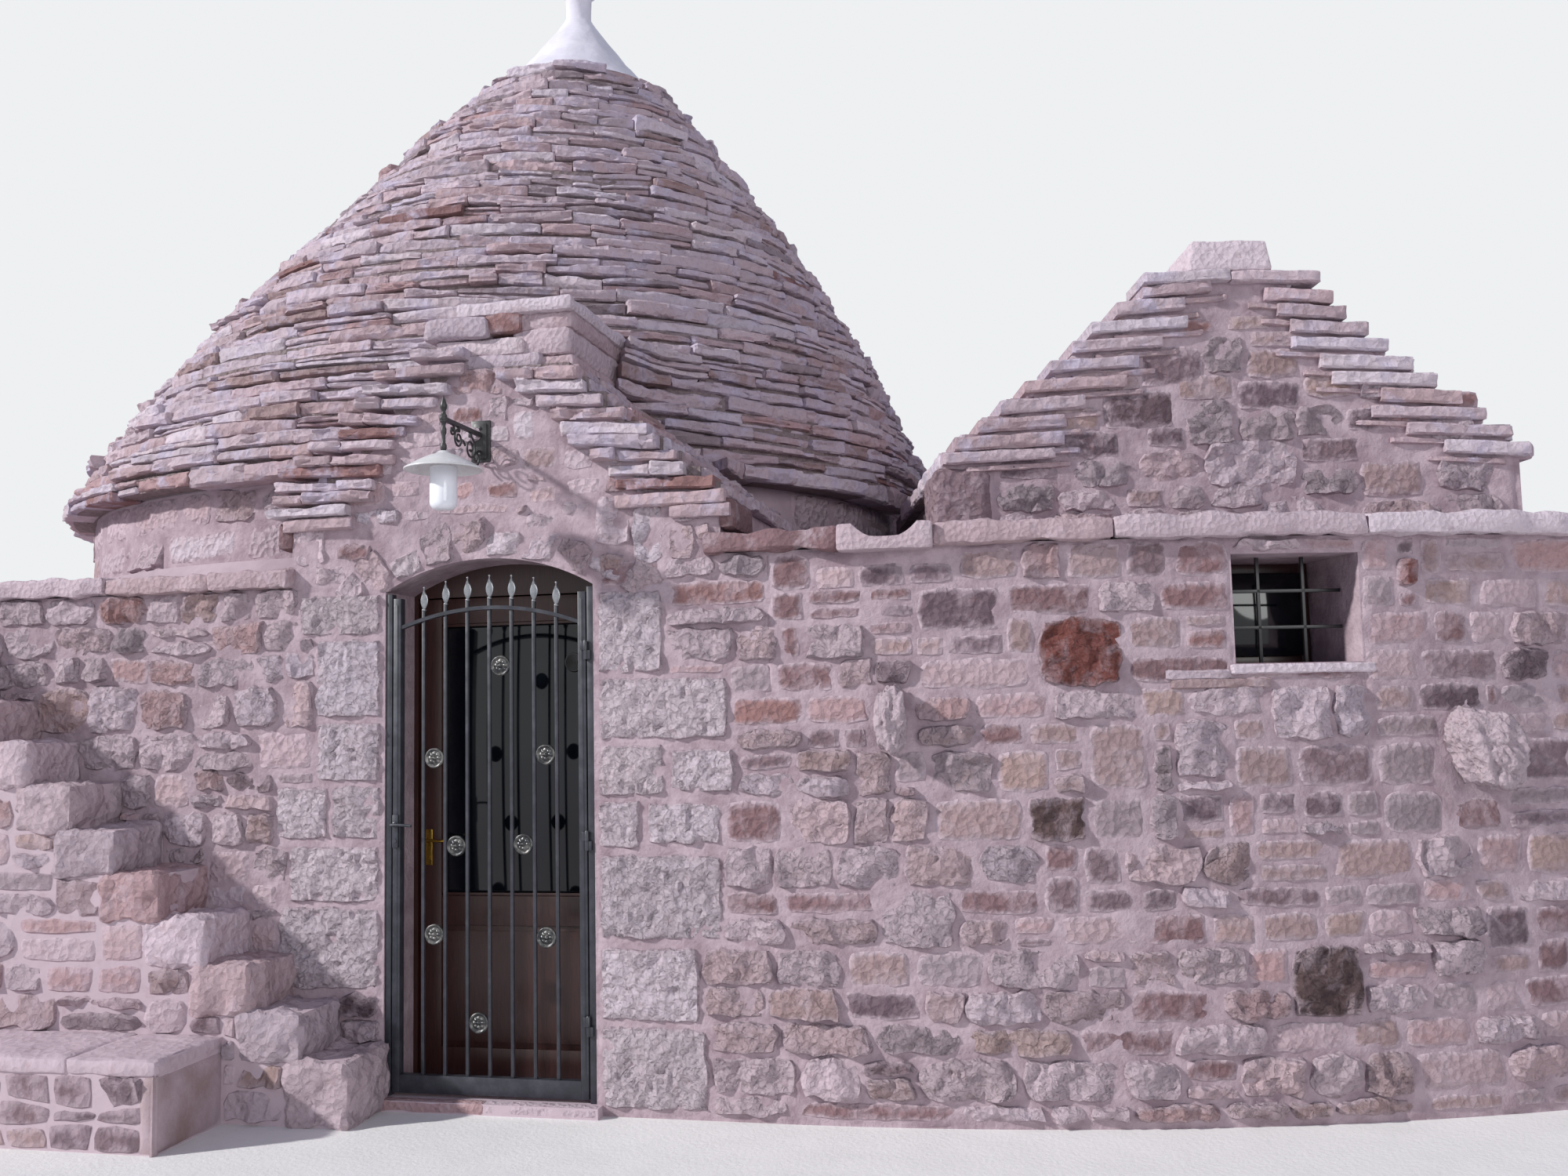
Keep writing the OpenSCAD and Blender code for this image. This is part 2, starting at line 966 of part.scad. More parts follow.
module window_grille() {
    color(iron)
        on_window(grille_d) {
            for (x = [-grille_x, grille_x])
                translate([x - grille_bar / 2, 0, window_z0 + joint])
                    cube([grille_bar, grille_bar, window_z1 - window_z0 - 2 * joint]);
            for (z = grille_z)
                translate([-grille_half, 0, window_z0 + z - grille_bar / 2])
                    cube([2 * grille_half, grille_bar, grille_bar]);
        }
}

// Stair and bench against the front wall

function step_top(i) = first_rise + i * rise;

module stair() {
    color(stone)
        difference() {
            for (i = [0:steps - 1])
                span([stair_left, -front_y - stair_w, 0], [stair_x - i * going, -front_y, step_top(i)]);
            span([-far, -front_y - coping_out, wall_top], [far, 0, far]);
        }
}

module bench_block() {
    color(stone)
        span([bench_l, -front_y - bench_d, 0], [bench_r, -front_y - stair_w, bench_h]);
}

// Gate

module knuckle(x, y, z) {
    translate([x, y, z])
        cylinder(r = knuckle_r, h = knuckle_h, $fn = 32);
}

module gate_posts() {
    color(iron) {
        for (x = [door_l + post_gap, door_r - post_gap - post_w])
            span([x, gate_y, floor_t], [x + post_w, gate_y + post_d, spring_z - 10]);
        for (z = gate_hinges) {
            knuckle(gate_pin_x, gate_pin_y, z);
            span([gate_pin_x, gate_pin_y - hinge_t, z], [gate_pin_x + hinge_w, gate_y + 1, z + knuckle_h]);
        }
    }
}

module spear(x, z) {
    translate([x, gate_y + spear_in, z])
        rotate([-90, 0, 0])
            linear_extrude(spear_t)
                polygon([[-5, 0], [5, 0], [11, -12], [18, -30], [16, -48], [8, -72], [3, -88],
                         [-3, -88], [-8, -72], [-16, -48], [-18, -30], [-11, -12]]);
}

function rail_drop(x) =
    let (half = (gate_r - gate_l) / 2 - stile_w, r = (half * half + rail_rise * rail_rise) / (2 * rail_rise),
         dx = x - (gate_l + gate_r) / 2)
    r - sqrt(r * r - dx * dx);

module gate_leaf() {
    half = (gate_r - gate_l) / 2 - stile_w;
    mid = (gate_l + gate_r) / 2;
    r = (half * half + rail_rise * rail_rise) / (2 * rail_rise);
    top = rail_z + rail_rise;
    color(iron) {
        span([gate_l, gate_y, gate_z], [gate_l + stile_w, gate_y + post_d, gate_top]);
        span([gate_r - stile_w, gate_y, gate_z], [gate_r, gate_y + post_d, gate_top]);
        span([gate_l, gate_y, gate_z], [gate_r, gate_y + post_d, gate_z + bottom_rail_h]);
        for (k = [1:bars]) {
            x = gate_l + stile_w + k * bar_pitch;
            z = top - rail_drop(x) + bar_over;
            span([x - bar_w / 2, gate_y + bar_in, gate_z + bottom_rail_h],
                 [x + bar_w / 2, gate_y + bar_in + bar_w, z]);
            spear(x, z);
        }
        translate([mid, gate_y + rail_in, top - r])
            rotate([-90, 0, 0])
                linear_extrude(rail_d)
                    intersection() {
                        difference() {
                            circle(r = r, $fn = fine);
                            circle(r = r - rail_h, $fn = fine);
                        }
                        translate([-half - 2, -r - 10])
                            square([2 * half + 4, rail_rise + rail_h + 20]);
                    }
        for (z = gate_hinges) {
            knuckle(gate_pin_x, gate_pin_y, z + knuckle_h + 1);
            span([gate_pin_x - hinge_w, gate_pin_y - hinge_t, z + knuckle_h + 1],
                 [gate_pin_x, gate_y + 1, z + 2 * knuckle_h + 1]);
        }
        gate_lock();
    }
}

// Lock case with a lever handle on the closing stile
module gate_lock() {
    x = gate_l + stile_w / 2;
    span([gate_l + hinge_t, gate_y - lock_t, lock_z[0]], [gate_l + stile_w - hinge_t, gate_y + 1, lock_z[1]]);
    translate([x, gate_y - lock_t + 4, lever_z])
        rotate([90, 0, 0])
            cylinder(r = lever_r, h = lever_out[0] - lock_t + 8, $fn = 24);
    span([x - lever_r + 1, gate_y - lever_out[1], lever_z - lever_r],
         [x + lever_l, gate_y - lever_out[0], lever_z + lever_r]);
}

module gate_rosettes() {
    r = (bar_pitch - bar_w) / 2 - 0.2;
    color(iron)
        for (spot = rosettes)
            translate([gate_l + stile_w + (spot[0] - 0.5) * bar_pitch, gate_y + 22, spot[1]])
                rotate([90, 0, 0])
                    rotate_extrude()
                        polygon([[0, 0], [r, 0], [r, 8], [r - 9, 10], [r - 13, 4], [16, 4], [13, 10], [0, 13]]);
}

// Wooden door behind the gate

module door_frame() {
    color(wood)
        difference() {
            intersection() {
                span([passage_l, door_y, floor_t],
                     [passage_r, door_y + frame_t, wall_top + passage_rise + 10]);
                arch_tunnel(passage_mid, passage_w, 0, wall_top, passage_rise,
                            door_y - 1, door_y + frame_t + 1);
            }
            span([leaf_l - leaf_gap, door_y - 1, 0],
                 [leaf_r + leaf_gap, door_y + frame_t + 1, leaf_top + leaf_gap]);
        }
    color(wood)
        for (z = door_hinges) {
            knuckle(door_pin_x, door_pin_y, z);
            span([door_pin_x, door_y + frame_t - 1, z],
                 [door_pin_x + hinge_w, door_pin_y + hinge_t, z + knuckle_h]);
        }
}

module door_leaf() {
    y0 = door_y + frame_t - leaf_t;
    y1 = door_y + frame_t;
    color(wood) {
        difference() {
            span([leaf_l, y0, leaf_z], [leaf_r, y1, leaf_top]);
            span([leaf_l + stile, y0 - 1, glass_z0], [leaf_r - stile, y1 + 1, glass_z1]);
            for (y = [y0 - 1, y1 - panel_t])
                span([leaf_l + stile, y, leaf_z + panel_in],
                     [leaf_r - stile, y + panel_t + 1, glass_z0 - panel_in]);
        }
        for (z = door_hinges) {
            knuckle(door_pin_x, door_pin_y, z + knuckle_h + 1);
            span([door_pin_x - hinge_w, y1 - 1, z + knuckle_h + 1],
                 [door_pin_x, door_pin_y + hinge_t, z + 2 * knuckle_h + 1]);
        }
    }
}

module door_glass() {
    y = door_y + frame_t - leaf_t / 2;
    color(glass)
        span([leaf_l + stile, y - glass_t / 2, glass_z0], [leaf_r - stile, y + glass_t / 2, glass_z1]);
}

module door_handle() {
    faces = [door_y + frame_t - leaf_t, door_y + frame_t];
    color(brass)
        for (side = [0, 1])
            translate([leaf_l + handle_x, faces[side], 0])
                mirror([0, 1 - side, 0])
                    handle_side();
}

// Plate, stub and lever on one face of the door
module handle_side() {
    span([-handle_half, 0, handle_z[0]], [handle_half, handle_plate_t, handle_z[1]]);
    translate([0, handle_plate_t - 1, (handle_lever_z[0] + handle_lever_z[1]) / 2])
        rotate([-90, 0, 0])
            cylinder(r = handle_r, h = handle_out[1] - handle_plate_t, $fn = 24);
    span([-handle_r, handle_out[0], handle_lever_z[0]], [lever_l + 10, handle_out[1], handle_lever_z[1]]);
}

module door_vent() {
    y = door_y + frame_t - leaf_t / 2;
    color(vent_black)
        translate([leaf_r - stile - vent_r - 25, y - glass_t / 2, vent_z])
            rotate([90, 0, 0])
                cylinder(r = vent_r, h = vent_t);
}

// Lantern

module lantern_bracket() {
    color(iron)
        translate([lantern_x, -front_y, 0]) {
            span([-plate_half, -plate_t, plate_z], [plate_half, 0, plate_z + plate_h]);
            span([-arm_half, -lantern_out - arm_half, arm_z - arm_half],
                 [arm_half, 1 - plate_t, arm_z + arm_half]);
            translate([0, -lantern_out, lantern_z + rod_z])
                cylinder(r = arm_half, h = rod_h, $fn = 32);
            translate([0, -lantern_out, lantern_z + finial_z])
                sphere(r = finial_r, $fn = 32);
            for (ring = lantern_rings)
                translate([-ring_t / 2, -ring[0], arm_z - ring[1]])
                    rotate([0, 90, 0])
                        difference() {
                            cylinder(r = ring[2], h = ring_t, $fn = 48);
                            translate([0, 0, -1])
                                cylinder(r = ring[3], h = ring_t + 2, $fn = 48);
                        }
        }
}

module lantern_shade() {
    color(shade_white)
        translate([lantern_x, -front_y - lantern_out, lantern_z])
            rotate_extrude()
                polygon([[0, 16], [48, 16], [160, 0], [160, 6], [60, 50], [45, 70], [12, 80], [0, 80]]);
}

module lantern_glass() {
    color(opal)
        translate([lantern_x, -front_y - lantern_out, lantern_z])
            rotate_extrude()
                polygon([[0, 15.7], [46, 15.7], [56, -20], [56, -110], [48, -140], [30, -160], [0, -166]]);
}

// Two weathered stones that stand out of the wing's wall

module projecting_stones() {
    color(stone)
        for (k = [0, 1])
            translate([bend_x, bow_y, 0])
                rotate([0, 0, stone_a[k]])
                    translate([0, -bow_r, stone_z[k]])
                        linear_extrude(stone_h[k])
                            polygon(stone_shape[k]);
}

main_floor();
wing_floor();
threshold();
front_wall_left();
front_wall_right();
door_arch_wall();
left_wall();
back_wall();
right_wall();
side_passage_arch();
wing_left_wall_front();
wing_left_wall_back();
wing_front_wall_left();
wing_window_sill_wall();
wing_front_wall_right();
wing_lintel_course();
wing_right_wall();
wing_back_wall();
main_terrace();
wing_terrace();
coping_front();
coping_left();
coping_back();
wing_coping_front();
wing_coping_sides();
gutter_spout();
drum();
cone_lower();
cone_middle();
cone_upper();
pinnacle();
portal_gable();
portal_slabs_left();
portal_slabs_right();
portal_cap();
portal_kneelers();
wing_gable_front();
wing_gable_back();
wing_roof_left();
wing_roof_right();
wing_capstones();
window_frame();
window_glass();
window_grille();
stair();
bench_block();
gate_posts();
gate_leaf();
gate_rosettes();
door_frame();
door_leaf();
door_glass();
door_handle();
door_vent();
lantern_bracket();
lantern_shade();
lantern_glass();
projecting_stones();
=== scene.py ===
"""Looks of a trullo house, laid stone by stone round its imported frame.

The frame's plain walls and roofs stay as the mortared core. Rubble, corner blocks,
roof slabs, copings and steps are cut from unit stones and set on the core's faces.
Everything is in metres: X runs along the door wall, -Y is the front, Z is up.
"""

import json
import logging
import math
import random
from collections.abc import Callable, Iterator, Sequence
from dataclasses import dataclass, field
from enum import Enum
from functools import cache

import bmesh
import bpy
from bmesh.types import BMEdge, BMesh, BMVert
from bpy.types import ID, Material, Mesh, Node, NodeSocket, NodeTree, Object
from mathutils import Matrix, Vector, noise


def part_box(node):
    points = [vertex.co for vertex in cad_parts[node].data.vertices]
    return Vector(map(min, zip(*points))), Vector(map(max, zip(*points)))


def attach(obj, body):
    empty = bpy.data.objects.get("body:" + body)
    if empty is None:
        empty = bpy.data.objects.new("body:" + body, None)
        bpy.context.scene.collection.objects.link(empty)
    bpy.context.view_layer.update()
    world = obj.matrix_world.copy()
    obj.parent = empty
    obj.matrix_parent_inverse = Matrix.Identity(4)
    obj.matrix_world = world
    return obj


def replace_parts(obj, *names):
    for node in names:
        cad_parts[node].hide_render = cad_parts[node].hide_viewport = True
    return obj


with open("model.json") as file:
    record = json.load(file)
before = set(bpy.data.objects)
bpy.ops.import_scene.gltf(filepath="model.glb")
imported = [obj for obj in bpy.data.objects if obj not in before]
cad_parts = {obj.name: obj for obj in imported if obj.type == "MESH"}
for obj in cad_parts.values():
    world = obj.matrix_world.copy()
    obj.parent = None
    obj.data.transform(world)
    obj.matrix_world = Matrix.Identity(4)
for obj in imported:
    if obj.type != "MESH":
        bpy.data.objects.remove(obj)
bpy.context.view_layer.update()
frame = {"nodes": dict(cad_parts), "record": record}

log = logging.getLogger("trullo")

HOUSE = "house"
GATE = "gate"
DOOR = "door"
TINT = "stone_tint"
RELIEF = "stone_relief"

TO_FRONT = Vector((0, -1, 0))

# Edges that bend by more than this many degrees stay sharp, on smooth and on cornered pieces
SOFT_EDGE = 70
HARD_EDGE = 32

noise.seed_set(1)  # without it, the vector noise that moves the stones' outlines changes from run to run


# Plan of the house, as the frame is built

@dataclass(frozen=True)
class Plan:
    """Main sizes of the frame, in metres and degrees."""

    front_y: float = -2.93
    left_x: float = -2.95
    back_y: float = 2.95
    right_x: float = 2.75
    wall_top: float = 2.235
    wing_wall_top: float = 2.305
    wing_coping_top: float = 2.39
    coping_t: float = 0.08
    wing_terrace_z: float = 2.375
    drum_r: float = 2.52
    eave_z: float = 2.80
    eave_r: float = 2.64
    course_h: float = 0.073
    cone_courses: int = 40
    tip_r: float = 0.53
    cone_bulge: float = 1.25
    cone_lean: float = 0.415
    lean_ease: float = 0.77
    door_x: float = 1.065
    reveal: float = 0.27
    portal_x: float = 1.12
    portal_half: float = 0.99
    portal_eave_z: float = 2.54
    portal_courses: int = 9
    portal_slab_h: float = 0.07
    portal_run: float = 0.083
    bend_x: float = 2.30
    bow_r: float = 8.0
    wing_l: float = 3.5
    wing_d: float = 2.7
    wing_mid: float = 2.07
    wing_half: float = 1.29
    wing_eave_z: float = 2.675
    wing_courses: int = 11
    wing_slab_h: float = 0.078
    wing_run: float = 0.103
    gable_d: float = 0.25
    roof_back: float = 2.45

    @property
    def turn(self) -> float:
        """Angle between the door wall and the wing's chord, in radians."""
        return math.asin(self.wing_l / 2 / self.bow_r)

    @property
    def cone_top_z(self) -> float:
        """Height of the last slab course's top."""
        return self.eave_z + self.cone_courses * self.course_h

    def course_r(self, course: float) -> float:
        """Radius of the cone at a course."""
        share = (course / self.cone_courses) ** self.cone_bulge
        return self.tip_r + (self.eave_r - self.tip_r) * (1 - share)

    def course_x(self, course: float) -> float:
        """How far a course's centre stands to the right of the drum's."""
        return self.cone_lean * (max(course, 0) / self.cone_courses) ** self.lean_ease

    def portal_w(self, course: int) -> float:
        """Half width of a slab course on the portal."""
        return self.portal_half - course * self.portal_run

    def wing_w(self, course: int) -> float:
        """Half width of a slab course on the wing's roof."""
        return self.wing_half - course * self.wing_run


PLAN = Plan()


# Colours and nodes

def linear(colour: str) -> tuple[float, float, float, float]:
    """Turns an sRGB hex colour into linear RGBA.

    Args:
        colour: The colour as "#rrggbb".

    Returns:
        Red, green, blue and an alpha of 1.
    """
    parts = (int(colour[k:k + 2], 16) / 255 for k in (1, 3, 5))
    low, knee = 12.92, 0.04045
    return (*(c / low if c <= knee else ((c + 0.055) / 1.055) ** 2.4 for c in parts), 1.0)


def add_node(tree: NodeTree, kind: str, inputs: dict | None = None, **settings) -> Node:
    """Adds one node with its settings, values and links.

    Args:
        tree: The node tree that takes the node.
        kind: The node's type name.
        inputs: Socket name or number to a value, or to the output socket that feeds it.
        settings: Attributes of the node.

    Returns:
        The new node.
    """
    node = tree.nodes.new(kind)
    for name, value in settings.items():
        setattr(node, name, value)
    for name, value in (inputs or {}).items():
        socket = node.inputs[name]
        if isinstance(value, NodeSocket):
            tree.links.new(value, socket)
        else:
            socket.default_value = value
    return node


def per_metre(size_mm: float) -> float:
    """Texture scale at which a pattern's features are this many millimetres across."""
    return 1000.0 / size_mm


class Finish:
    """A material for one real surface, made once and shared."""

    name: str

    def make(self) -> Material:
        """Returns the material, building its nodes the first time.

        Returns:
            The material.
        """
        found = bpy.data.materials.get(self.name)
        if found:
            return found
        material = bpy.data.materials.new(self.name)
        material.use_nodes = True
        tree = material.node_tree
        tree.nodes.clear()
        output = add_node(tree, "ShaderNodeOutputMaterial")
        tree.links.new(self.surface(tree), output.inputs["Surface"])
        return material

    def surface(self, tree: NodeTree) -> NodeSocket:
        """Builds the surface shader and returns its output."""
        raise NotImplementedError


def object_coordinates(tree: NodeTree) -> NodeSocket:
    """Object coordinates, which are metres in the row frame."""
    return add_node(tree, "ShaderNodeTexCoord").outputs["Object"]


@dataclass(frozen=True)
class Limestone(Finish):
    """Quarried limestone, hammer-dressed and dry: matt, grainy, blotched with lime and grey weathering."""

    name: str
    colour: str = "#bcaab1"
    tinted: bool = False
    lime: str = "#bba9b0"
    lime_share: float = 0.4
    rim_lime: float = 0.0
    stain: str = "#987a7a"
    stain_share: float = 0.3
    stain_mm: float = 75.0
    soot: str = "#857b7b"
    soot_share: float = 0.25
    blotch_mm: float = 110.0
    grain_mm: float = 11.0
    grain_depth_mm: float = 6.0
    chip_mm: float = 34.0
    chip_depth_mm: float = 20.0
    # Pits: small clouds painted darker as the shade in the stone's hollows
    pit_shade_colour: str = "#75676a"
    pit_mm: float = 24.0
    pit_shade: float = 0.38

    def surface(self, tree: NodeTree) -> NodeSocket:
        """Tint, iron stains, lime smears, weathering, painted shade in pits, and broken relief.

        Args:
            tree: The material's node tree.

        Returns:
            The shader's output.
        """
        place = object_coordinates(tree)
        base, rim, relief = self.tint(tree)
        stained = self.clouded(tree, place, base, self.stain, self.stain_share, self.stain_mm, (0.56, 0.68),
                               3.7)
        limed = self.lime_smears(tree, place, stained, rim)
        aged = self.clouded(tree, place, limed, self.soot, self.soot_share, self.blotch_mm * 0.45,
                            (0.56, 0.74), 0.0)
        # Painted shade: darker pit-sized clouds stand for the shade in the pits
        pit_shaded = self.clouded(tree, place, aged, self.pit_shade_colour, self.pit_shade, self.pit_mm, (0.56, 0.70), 8.3)
        return add_node(tree, "ShaderNodeBsdfPrincipled", {
            "Base Color": pit_shaded, "Roughness": 0.92, "Specular IOR Level": 0.2,
            "Normal": self.broken(tree, place, relief)}).outputs["BSDF"]

    def clouded(self, tree: NodeTree, place: NodeSocket, base: NodeSocket | tuple,
                colour: str, share: float, size_mm: float, span: tuple[float, float],
                offset: float) -> NodeSocket:
        """Mixes a colour in where a cloudy noise is high.

        Args:
            tree: The node tree.
            place: Object coordinates.
            base: The colour underneath.
            colour: The colour of the clouds.
            share: How much of it a cloud's middle shows.
            size_mm: Size of the clouds.
            span: Noise values at which a cloud begins and is full.
            offset: Shifts the pattern.

        Returns:
            The mixed colour.
        """
        moved = add_node(tree, "ShaderNodeVectorMath", {0: place, 1: (offset, offset * 1.3, offset * 0.7)},
                         operation="ADD").outputs[0]
        cloud = add_node(tree, "ShaderNodeTexNoise", {
            "Vector": moved, "Scale": per_metre(size_mm), "Detail": 7.0, "Roughness": 0.68})
        much = add_node(tree, "ShaderNodeMapRange", {"Value": cloud.outputs["Fac"], "From Min": span[0],
                                                     "From Max": span[1], "To Min": 0.0, "To Max": share})
        return add_node(tree, "ShaderNodeMix", {"Factor": much.outputs[0], "A": base, "B": linear(colour)},
                        data_type="RGBA").outputs["Result"]

    def broken(self, tree: NodeTree, place: NodeSocket, relief: NodeSocket | float) -> NodeSocket:
        """Scalloped breaks with sharp edges, and grain over them.

        Args:
            tree: The material's node tree.
            place: Object coordinates.
            relief: How broken the face is.

        Returns:
            The bent normal.
        """
        bend = add_node(tree, "ShaderNodeTexNoise", {
            "Vector": place, "Scale": per_metre(self.chip_mm * 1.3), "Detail": 3.0})
        bent = add_node(tree, "ShaderNodeVectorMath", {
            0: bend.outputs["Color"], 1: (self.chip_mm / 1000,) * 3, 2: place}, operation="MULTIPLY_ADD")
        chips = add_node(tree, "ShaderNodeTexVoronoi", {
            "Vector": bent.outputs[0], "Scale": per_metre(self.chip_mm), "Randomness": 1.0})
        grain = add_node(tree, "ShaderNodeTexNoise", {
            "Vector": place, "Scale": per_metre(self.grain_mm), "Detail": 6.0, "Roughness": 0.7})
        coarse = add_node(tree, "ShaderNodeBump", {
            "Height": chips.outputs["Distance"], "Distance": self.chip_depth_mm / 1000, "Strength": relief})
        return add_node(tree, "ShaderNodeBump", {
            "Height": grain.outputs["Fac"], "Distance": self.grain_depth_mm / 1000, "Strength": relief,
            "Normal": coarse.outputs["Normal"]}).outputs["Normal"]

    def tint(self, tree: NodeTree) -> tuple:
        """The stone's own colour, how near its rim a place is, 0 to 1, and how broken its face is.

        Args:
            tree: The material's node tree.

        Returns:
            Colour, nearness to the rim and brokenness.
        """
        if not self.tinted:
            return linear(self.colour), 0.0, 1.0
        stored = add_node(tree, "ShaderNodeAttribute", attribute_name=TINT).outputs
        rim = add_node(tree, "ShaderNodeMath", {0: 1.0, 1: stored["Alpha"]}, operation="SUBTRACT")
        relief = add_node(tree, "ShaderNodeAttribute", attribute_name=RELIEF).outputs["Fac"]
        return stored["Color"], rim.outputs[0], relief

    def lime_smears(self, tree: NodeTree, place: NodeSocket, base: NodeSocket,
                    rim: NodeSocket | float) -> NodeSocket:
        """Mortar left on the faces in clouds, and over the stones' rims with a ragged edge.

        Args:
            tree: The material's node tree.
            place: Object coordinates.
            base: The colour underneath.
            rim: How near the stone's rim a place is, 0 to 1.

        Returns:
            The smeared colour.
        """
        smear = add_node(tree, "ShaderNodeTexNoise", {
            "Vector": place, "Scale": per_metre(self.blotch_mm), "Detail": 6.0, "Roughness": 0.62,
            "Distortion": 0.4})
        near = add_node(tree, "ShaderNodeMath", {0: rim, 1: 0.22, 2: smear.outputs["Fac"]},
                        operation="MULTIPLY_ADD")
        clouds = add_node(tree, "ShaderNodeMapRange", {
            "Value": near.outputs[0], "From Min": 0.50, "From Max": 0.66, "To Min": 0.0,
            "To Max": self.lime_share})
        ragged = add_node(tree, "ShaderNodeTexNoise", {
            "Vector": place, "Scale": per_metre(34.0), "Detail": 4.0, "Roughness": 0.6})
        edge = add_node(tree, "ShaderNodeMath", {0: ragged.outputs["Fac"], 1: 0.9, 2: rim},
                        operation="MULTIPLY_ADD")
        over = add_node(tree, "ShaderNodeMapRange", {
            "Value": edge.outputs[0], "From Min": 0.80, "From Max": 1.30, "To Min": 0.0,
            "To Max": self.rim_lime})
        share = add_node(tree, "ShaderNodeMath", {0: clouds.outputs[0], 1: over.outputs[0]},
                         operation="MAXIMUM")
        return add_node(tree, "ShaderNodeMix", {
            "Factor": share.outputs[0], "A": base, "B": linear(self.lime)},
            data_type="RGBA").outputs["Result"]


@dataclass(frozen=True)
class LimePlaster(Finish):
    """Lime mortar or plaster, floated by hand: matt, softly uneven, a little blotched."""

    name: str
    colour: str
    shade: str
    blotch_mm: float = 240.0
    wave_mm: float = 60.0
    wave_depth_mm: float = 2.5
    lump_mm: float = 22.0
    lump_depth_mm: float = 3.0
    grit_mm: float = 6.0
    grit_depth_mm: float = 1.6

    def surface(self, tree: NodeTree) -> NodeSocket:
        """Two shades of lime, trowel waves, lumps and sand grit.

        Args:
            tree: The material's node tree.

        Returns:
            The shader's output.
        """
        place = object_coordinates(tree)
        blotch = add_node(tree, "ShaderNodeTexNoise", {
            "Vector": place, "Scale": per_metre(self.blotch_mm), "Detail": 7.0, "Roughness": 0.65})
        share = add_node(tree, "ShaderNodeMapRange", {
            "Value": blotch.outputs["Fac"], "From Min": 0.38, "From Max": 0.64})
        colour = add_node(tree, "ShaderNodeMix", {"Factor": share.outputs[0], "A": linear(self.colour),
                                                  "B": linear(self.shade)}, data_type="RGBA")
        relief = {}
        for size_mm, depth_mm, detail, roughness in (
                (self.wave_mm, self.wave_depth_mm, 2.0, 0.5), (self.lump_mm, self.lump_depth_mm, 4.0, 0.6),
                (self.grit_mm, self.grit_depth_mm, 4.0, 0.65)):
            cloud = add_node(tree, "ShaderNodeTexNoise", {
                "Vector": place, "Scale": per_metre(size_mm), "Detail": detail, "Roughness": roughness})
            bump = add_node(tree, "ShaderNodeBump", {
                "Height": cloud.outputs["Fac"], "Distance": depth_mm / 1000, **relief})
            relief = {"Normal": bump.outputs["Normal"]}
        return add_node(tree, "ShaderNodeBsdfPrincipled", {
            "Base Color": colour.outputs["Result"], "Roughness": 0.9, "Specular IOR Level": 0.25,
            **relief}).outputs["BSDF"]


# Warm pale wall stones: blotched, rough-broken, with lime over their rims
RUBBLE = Limestone("rubble limestone", tinted=True, rim_lime=0.9, lime_share=0.45)
# Grey-white roof slabs: dry, flat-split, lime-stained and sooted by weather
ROOF_SLAB = Limestone("split limestone slabs", tinted=True, lime="#bdb4c6", lime_share=0.75, soot="#7c7584",
                      soot_share=0.4, blotch_mm=160.0, stain_share=0.22, chip_mm=45.0, chip_depth_mm=14.0,
                      grain_depth_mm=5.0)
# Copings, caps and blocks: smoother tooled faces with small chips
HEWN = Limestone("hewn limestone", tinted=True, lime="#c4b4bb", lime_share=0.45, soot_share=0.3,
                 stain_share=0.3, chip_mm=24.0, chip_depth_mm=8.0, grain_mm=8.0, grain_depth_mm=3.5,
                 pit_shade=0.25)
# Floors and thresholds: nearly smooth, with soft wear
PAVING = Limestone("worn limestone paving", colour="#bdabb2", lime_share=0.4, soot_share=0.2, chip_mm=60.0,
                   chip_depth_mm=2.0, grain_depth_mm=0.8, pit_shade=0.1)
# What shows in the gaps between slabs: packed stone, painted dark as the shade in the joints
ROOF_CORE_PAINTED_SHADE = Limestone("packed stone in shade", colour="#8b7d7d", lime_share=0.2, soot_share=0.4)
# Pinkish lime between the stones: lumpy, gritty, pressed in by hand
MORTAR = LimePlaster("lime mortar", "#b7a4ab", "#99858c", blotch_mm=130.0, wave_depth_mm=9.0,
                     lump_depth_mm=6.0, grit_depth_mm=2.4)
# Terraces: flat lime with wide dull stains
SCREED = LimePlaster("lime screed", "#b8a6ad", "#a4929a", blotch_mm=420.0, wave_depth_mm=3.0,
                     lump_depth_mm=1.0)
# The tip: white plaster with soft hand-floated waves, greyed and blued as painted shade and skylight
WHITEWASH_WITH_PAINTED_SHADE = LimePlaster("whitewashed plaster", "#dedbe3", "#cfccd5", wave_depth_mm=3.5, lump_mm=40.0,
                        lump_depth_mm=1.5, grit_depth_mm=0.5)


